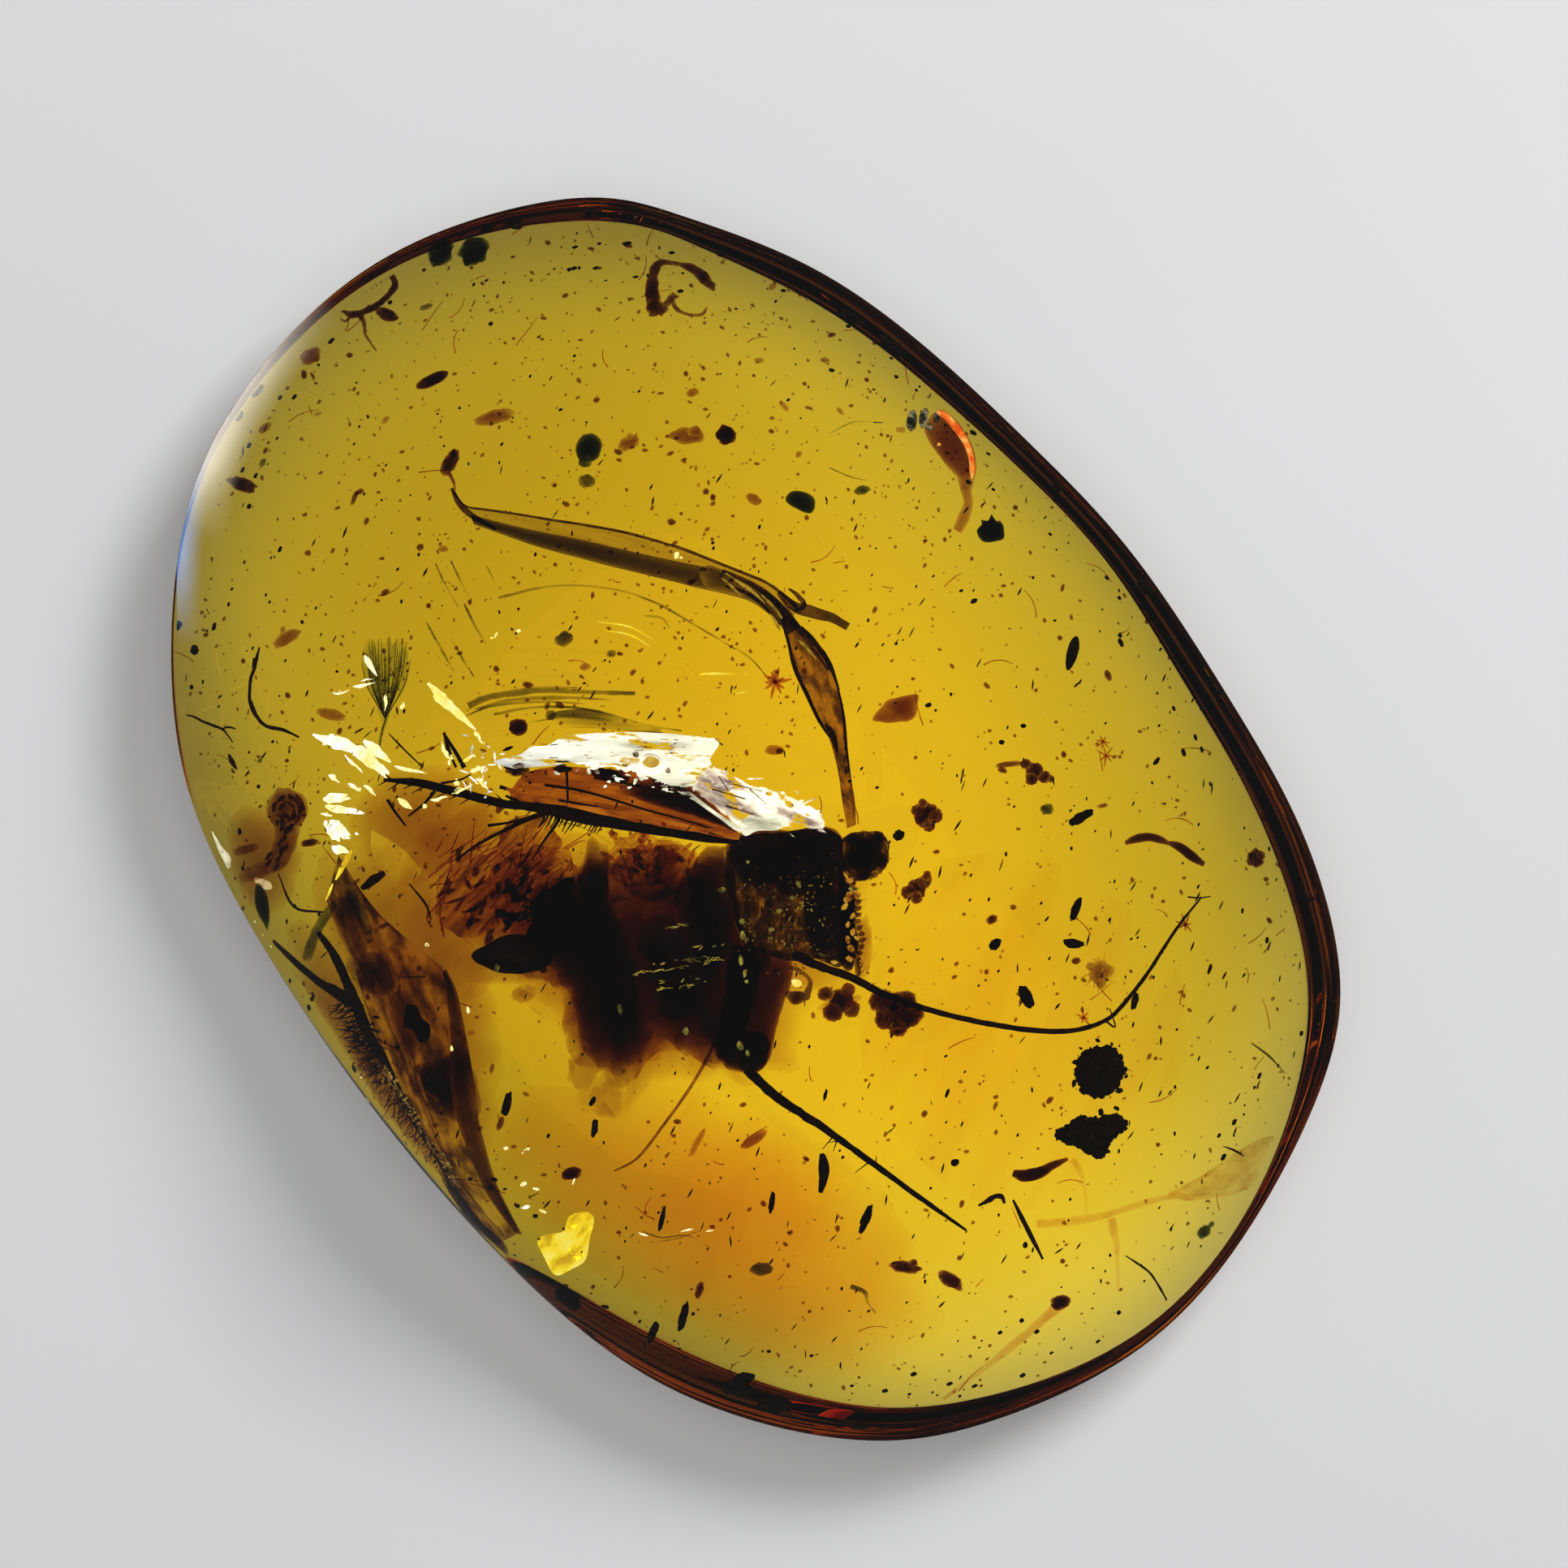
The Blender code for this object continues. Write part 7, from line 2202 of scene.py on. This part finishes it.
def flow_lines():
    """Arcs where one flow of resin met the next, and a painted shadow just above the white fracture."""
    lines = bmesh.new()
    for i, (path, wide, z) in enumerate((
        ((
            (-7.53, 6.89), (-6.19, 7.2), (-4.96, 7.25), (-3.73, 7.07), (-2.67, 6.68), (-1.95, 6.27),
            (-1.23, 5.83), (-0.36, 5.29),
        ), 0.05, 7.0),
        (((-3.11, 6.32), (-2.57, 6.25), (-2.31, 5.91)), 0.05, 6.8),
        ((
            (-8.4, 3.62), (-7.79, 3.88), (-7.04, 3.98), (-6.19, 4.06), (-4.78, 4.01), (-3.37, 3.98)
        ), 0.13, 6.6),
        ((
            (-7.61, 3.37), (-6.55, 3.55), (-5.32, 3.55), (-4.27, 3.37), (-3.01, 3.01), (-1.95, 2.83)
        ), 0.05, 6.4),
        (((-9.48, 7.97), (-9.17, 7.32), (-8.76, 6.63)), 0.035, 7),
        (((-9, 8.04), (-8.66, 7.35), (-8.33, 6.73)), 0.035, 7),
        (((-8.58, 6.73), (-8.25, 6.07), (-7.89, 5.47)), 0.045, 7),
        (((-9.74, 6.19), (-9.33, 5.47), (-8.87, 4.68)), 0.045, 7),
        (((-8.94, 5.65), (-8.61, 5.06), (-8.25, 4.5)), 0.035, 7),
        (((-7.89, 7.86), (-7.74, 7.56), (-7.61, 7.25)), 0.03, 7),
        (((15.68, -6.84), (16.37, -7.32), (17.01, -7.92)), 0.04, 4),
        (((-0.36, 5.29), (0.15, 4.91), (0.54, 4.45)), 0.03, 6),
        (((-3.14, -12.52), (-2.54, -12.72), (-1.77, -12.64), (-1.08, -13)), 0.03, 6),
        (((-2.93, -12.9), (-2.16, -12.77), (-1.31, -12.46)), 0.03, 6),
        (((3.26, -14.08), (3.68, -14.26), (3.78, -14.62), (4.03, -14.98)), 0.08, 4),
        ((
            (-3.06, -1.98), (-2.67, -1.85), (-2.24, -2.03), (-2.13, -2.34), (-2.49, -2.6), (-2.9, -2.54)
        ), 0.05, 5.2),
        (((2.57, 12.03), (3.37, 12.46), (4.29, 12.49)), 0.03, 6),
        (((2.47, 10.87), (3.11, 10.61), (3.68, 10.51)), 0.025, 6),
        (((-5.63, 0.08), (-4.73, -0.23), (-3.83, -0.95), (-3.42, -1.98)), 0.035, 5),
        (((-4.7, 0.13), (-3.83, -0.44), (-3.06, -1.21)), 0.03, 5),
    )):
        widths = (0.6 * wide, wide, 0.4 * wide) if len(path) == 3 else (wide, 0.5 * wide)
        limb(lines, path, widths, z=z, sides=6, per_span=6, rough=0.35, grain=3, seed=i)
    add_piece(lines, "flow_lines", CRACK_SHADE)
    # A painted shadow just above the white fracture, in the faint dark matter of the flow lines.
    shade = bmesh.new()
    pad(shade, (
        (-5.94, 3.32), (-5.11, 3.5), (-4.09, 3.32), (-2.93, 2.98), (-2.67, 2.83), (-3.83, 2.85),
        (-4.86, 2.96), (-5.63, 3.03),
    ), SHADE_HEIGHT, 0.05, rough=0.03, grain=2.5, edge=1.0)
    for i, (path, wide) in enumerate((
        (((-8.2, 3.52), (-7.17, 3.78), (-5.63, 3.85), (-4.09, 3.78)), 0.07),
        (((-8.46, 3.32), (-7.56, 3.65), (-6.14, 3.73), (-4.86, 3.65)), 0.05),
        (((-6.55, 3.11), (-5.37, 3.26), (-4.09, 3.11), (-3.06, 2.88)), 0.06),
        (((-5.63, 2.96), (-4.34, 2.93), (-2.54, 2.75)), 0.05),
        (((-7.94, 3.93), (-6.66, 4.14), (-5.11, 4.14)), 0.04),
    )):
        limb(
            shade, path, (0.2 * wide, wide, wide, 0.1 * wide)[: len(path)], z=SHADE_HEIGHT, sides=6,
            per_span=6, rough=0.3, grain=3, seed=i,
        )
    add_piece(shade, "fracture_painted_shadow", CRACK_SHADE)
    star = bmesh.new()
    draw = random.Random(2)
    for i in range(10):
        turn = 2 * math.pi * (i + draw.uniform(-0.3, 0.3)) / 10
        start = Vector((0.8, 4.24))
        end = start + draw.uniform(0.25, 0.5) * heading(turn)
        limb(
            star, ((*start, 5.5), (*((start + end) / 2), 5.5), (*end, 5.4)), (0.05, 0.07, 0.02), sides=5,
            per_span=2, rough=0.3,
        )
    for x, y in ((10.18, -5.91), (13.36, -3.24), (10.85, 1.82), (10.77, 2.26)):
        for i in range(7):
            turn = 2 * math.pi * (i + draw.uniform(-0.3, 0.3)) / 7
            end = Vector((x, y)) + draw.uniform(0.15, 0.38) * heading(turn)
            limb(star, (
                (x, y, 4.4), (*((Vector((x, y)) + end) / 2), 4.4), (*end, 4.4)
            ), (0.03, 0.03, 0.012), sides=4, per_span=2)
    add_piece(star, "red_stars", FIBRE_RED)
    veins = bmesh.new()
    for i, (path, wide, z) in enumerate((
        ((
            (8.82, -12.18), (10.46, -12.1), (11.72, -11.85), (13.13, -11.56), (13.78, -11.69),
            (15.11, -11.67), (15.86, -11.56),
        ), 0.15, 3.3),
        (((9.84, -10.23), (10.13, -10.67), (10.31, -11.36), (10.38, -12)), 0.10, 3.7),
        (((11.18, -12.18), (11.44, -13.18), (11.62, -14.67)), 0.15, 3.6),
        (((9.79, -14.83), (8.76, -15.81), (7.61, -16.83), (6.19, -18.07)), 0.20, 3.4),
        (((13.13, -11.56), (14.16, -11.13), (15.45, -10.36), (16.37, -10)), 0.10, 3.8),
    )):
        widths = np.linspace(wide, 0.4 * wide, len(path))
        limb(veins, path, widths, 1.3 * widths, z, sides=10, per_span=6, rough=0.3, grain=1.6, seed=i)
    add_piece(veins, "resin_veins", VEIN)
    cracks = bmesh.new()
    for i, (path, wide, z) in enumerate((
        (((11.8, -13.49), (12.31, -13.85), (12.77, -14.24), (13.18, -14.88), (13.49, -15.45)), 0.035, 4.0),
        (((8.15, -11.49), (8.64, -12.46), (9.17, -13.47)), 0.075, 4.6),
        (((15.01, -10.18), (15.39, -10.33), (15.73, -10.54)), 0.035, 4.5),
        (((14.93, -12.98), (15.27, -13.06)), 0.03, 3.6),
        (((7.09, -11.64), (7.38, -11.49), (7.58, -11.36), (7.79, -11.39), (7.89, -11.59)), 0.08, 4.6),
        ((
            (-14.8, 5.5), (-14.91, 5.11), (-15.01, 4.75), (-15.11, 4.5), (-15.14, 3.83), (-14.93, 3.42),
            (-14.55, 3.08), (-14.01, 2.98), (-13.44, 2.75),
        ), 0.06, 3.9),
        ((
            (-17.63, 3.44), (-17.19, 3.37), (-16.76, 3.21), (-16.09, 3.01), (-15.88, 2.83), (-15.68, 2.6)
        ), 0.04, 3.4),
        (((-16.14, 3.01), (-15.81, 3.06), (-15.55, 3.01)), 0.03, 3.4),
        (((-15.96, 2.21), (-15.83, 1.98), (-15.68, 1.77)), 0.09, 3.9),
        (((-9.02, 2.85), (-8.92, 2.39), (-8.66, 1.77)), 0.06, 4.6),
        (((-14.98, 5.17), (-15.03, 4.86)), 0.09, 3.9), (((-15.11, 3.88), (-14.88, 3.37)), 0.08, 3.9),
        (((-10.67, 2.83), (-10.25, 2.39), (-9.61, 1.77)), 0.03, 4.5),
        (((-14.37, -1.46), (-13.85, -2.49), (-12.72, -2.65)), 0.05, 4.3),
        (((-11.44, -1.93), (-11.08, -1.67), (-10.72, -1.44)), 0.16, 4.3),
        (((-9.95, -1.82), (-9.43, -2.49), (-9.23, -3.01)), 0.04, 4.3),
        (((-13.54, 6.3), (-13.49, 6.19)), 0.10, 5.0), (((-10.05, -4.7), (-9.33, -4.7)), 0.04, 4.4),
    )):
        widths = [wide if 0 < k < len(path) - 1 else 0.5 * wide for k in range(len(path))]
        limb(cracks, path, widths, z=z, sides=6, per_span=5, rough=0.35, grain=3.5, seed=i)
    add_piece(cracks, "dark_hairlines", DARK_BROWN)


def rim_litter():
    """Dark chips and specks caught along the thick edges."""
    chips = bmesh.new()
    draw = random.Random(44)
    for i, (x, y, length, width, turn) in enumerate((
        (2.98, 15.65, 0.8, 0.4, -30), (4.39, 14.67, 1.0, 0.5, -30), (9.56, 10.31, 0.3, 0.3, 0),
        (9.95, 10.61, 0.5, 0.5, -40), (12.36, 7.27, 0.6, 0.4, -50), (0.08, -17.09, 0.7, 0.4, 20),
        (-0.18, -17.5, 0.9, 0.6, -10), (0.98, -18.09, 1.0, 0.6, 10), (1.52, -19.2, 0.8, 0.5, 0),
        (3.62, -18.89, 0.6, 0.3, 20), (-15.24, 13.47, 0.55, 0.5, 0), (-15.75, 12.67, 0.4, 0.35, 0),
        (-17.58, 6.25, 0.4, 0.3, 0), (-16.86, 5.47, 0.3, 0.3, 0), (-7.17, 18.43, 0.3, 0.2, 0),
        (-1, 17.55, 0.3, 0.2, -20),
    )):
        bottom, top = stone_heights(x, y)
        z = bottom + (top - bottom) * 0.45
        lump(
            chips, (x, y, z), (length / 2, width / 2, 0.14), turn, rough=0.35, grain=2, detail=3,
            seed=140 + i,
        )
    for _ in range(160):
        direction = draw.uniform(0, 2 * math.pi)
        reach = draw.uniform(0.80, 0.93)
        radius = REACHES[step_at(math.cos(direction), math.sin(direction))]
        x, y = reach * radius * math.cos(direction), reach * radius * math.sin(direction)
        bottom, top = stone_heights(x, y)
        size = draw.uniform(0.03, 0.09)
        z = bottom + (top - bottom) * draw.uniform(0.3, 0.6)
        lump(
            chips, (x, y, z), (size * draw.uniform(1, 2), size, size), math.degrees(direction) + 90,
            rough=0.3, detail=1,
        )
    add_piece(chips, "rim_litter", BLACK_LITTER)


# ---------------------------------------------------------------- stage


def make_stage():
    data = bpy.data.meshes.new("floor")
    corners = [(x * FLOOR_REACH, y * FLOOR_REACH, 0) for x, y in ((-1, -1), (1, -1), (1, 1), (-1, 1))]
    data.from_pydata(corners, [], [(0, 1, 2, 3)])
    data.materials.append(floor_material())
    floor = bpy.data.objects.new("floor", data)
    floor.location.z = -FLOOR_GAP * MM
    floor.visible_glossy = False
    bpy.context.scene.collection.objects.link(floor)
    world = bpy.data.worlds.new("studio")
    bpy.context.scene.world = world
    world.use_nodes = True
    backdrop = world.node_tree.nodes["Background"]
    backdrop.inputs["Color"].default_value = (*ROOM_COLOUR, 1)
    backdrop.inputs["Strength"].default_value = ROOM_LIGHT


def soft_light(name, place, aim, size, power, colour=(1, 1, 1), mirrored=True, seen_through=True):
    """A soft light of size (width, height) at a plan place, in millimetres, aimed at another.

    One that isn't mirrored leaves no shape of itself on the polished dome."""
    light = bpy.data.lights.new(name, "AREA")
    light.shape = "RECTANGLE"
    light.size, light.size_y = size[0] * MM, size[1] * MM
    light.energy = power
    light.color = colour
    made = bpy.data.objects.new(name, light)
    here, there = TO_ROW @ Vector(place), TO_ROW @ Vector(aim)
    made.location = here
    made.rotation_euler = (there - here).to_track_quat("-Z", "Y").to_euler()
    made.visible_glossy = mirrored
    made.visible_transmission = seen_through
    bpy.context.scene.collection.objects.link(made)
    return made


def fade(light):
    """A light that weakens towards both ends of its width and towards its upper edge."""
    light.data.use_nodes = True
    tree = light.data.node_tree
    across = tree.nodes.new("ShaderNodeSeparateXYZ")
    tree.links.new(tree.nodes.new("ShaderNodeNewGeometry").outputs["Parametric"], across.inputs["Vector"])
    strength = eased(tree, across.outputs["X"], (0.0, 0.4))
    for socket, ends in (("X", (1.0, 0.6)), ("Y", (1.0, 0.0))):
        strength = maths(tree, "MULTIPLY", strength, eased(tree, across.outputs[socket], ends))
    tree.links.new(strength, tree.nodes["Emission"].inputs["Strength"])


def make_camera():
    """Straight above the stone, with the picture's up along the plan's +Y."""
    data = bpy.data.cameras.new("camera")
    data.sensor_width = SENSOR_WIDTH
    data.lens = SENSOR_WIDTH * CAMERA_DISTANCE / PICTURE_WIDTH
    data.clip_start = 0.01
    data.clip_end = 10
    camera = bpy.data.objects.new("camera", data)
    place = TO_ROW @ Vector((*VIEW_CENTRE, WIDEST_LINE + CAMERA_DISTANCE))
    camera.matrix_world = Matrix.Translation(place) @ Matrix.Rotation(-LEAN, 4, "Z")
    bpy.context.scene.collection.objects.link(camera)
    bpy.context.scene.camera = camera


make_camera()
make_stage()
# The window and the blue beside it fade at their ends and upwards, as do their reflections in the stone.
fade(soft_light("window", (-213, 133, 28), (-8, 8, 5), (176, 56), WINDOW_POWER, (1.0, 0.97, 0.86)))
fade(soft_light("blue_window", (-243, 66, 16), (-8, 8, 5), (120, 28), BLUE_WINDOW_POWER, (0.22, 0.44, 1.0)))
soft_light("overhead", (0, 0, 300), (0, 0, 0), (250, 250), OVERHEAD_POWER, mirrored=False)
soft_light("key", (150, 160, 210), (0, 0, 4), (120, 120), KEY_POWER, mirrored=False, seen_through=False)
bpy.context.scene.view_settings.view_transform = "Standard"

add_piece(
    amber_stone(), "amber_stone", amber_material(), ("amber_upper", "amber_lower"), smooth=180,
    inside=False,
)
insect_abdomen()
insect_side_films()
insect_head()
insect_hind_leg()
insect_threads()
insect_glints()
clouds()
leaf()
wing_and_leg()
scraps()
sealed_crumbs()
small_crumbs()
dust()
fractures()
glints()
flow_lines()
rim_litter()
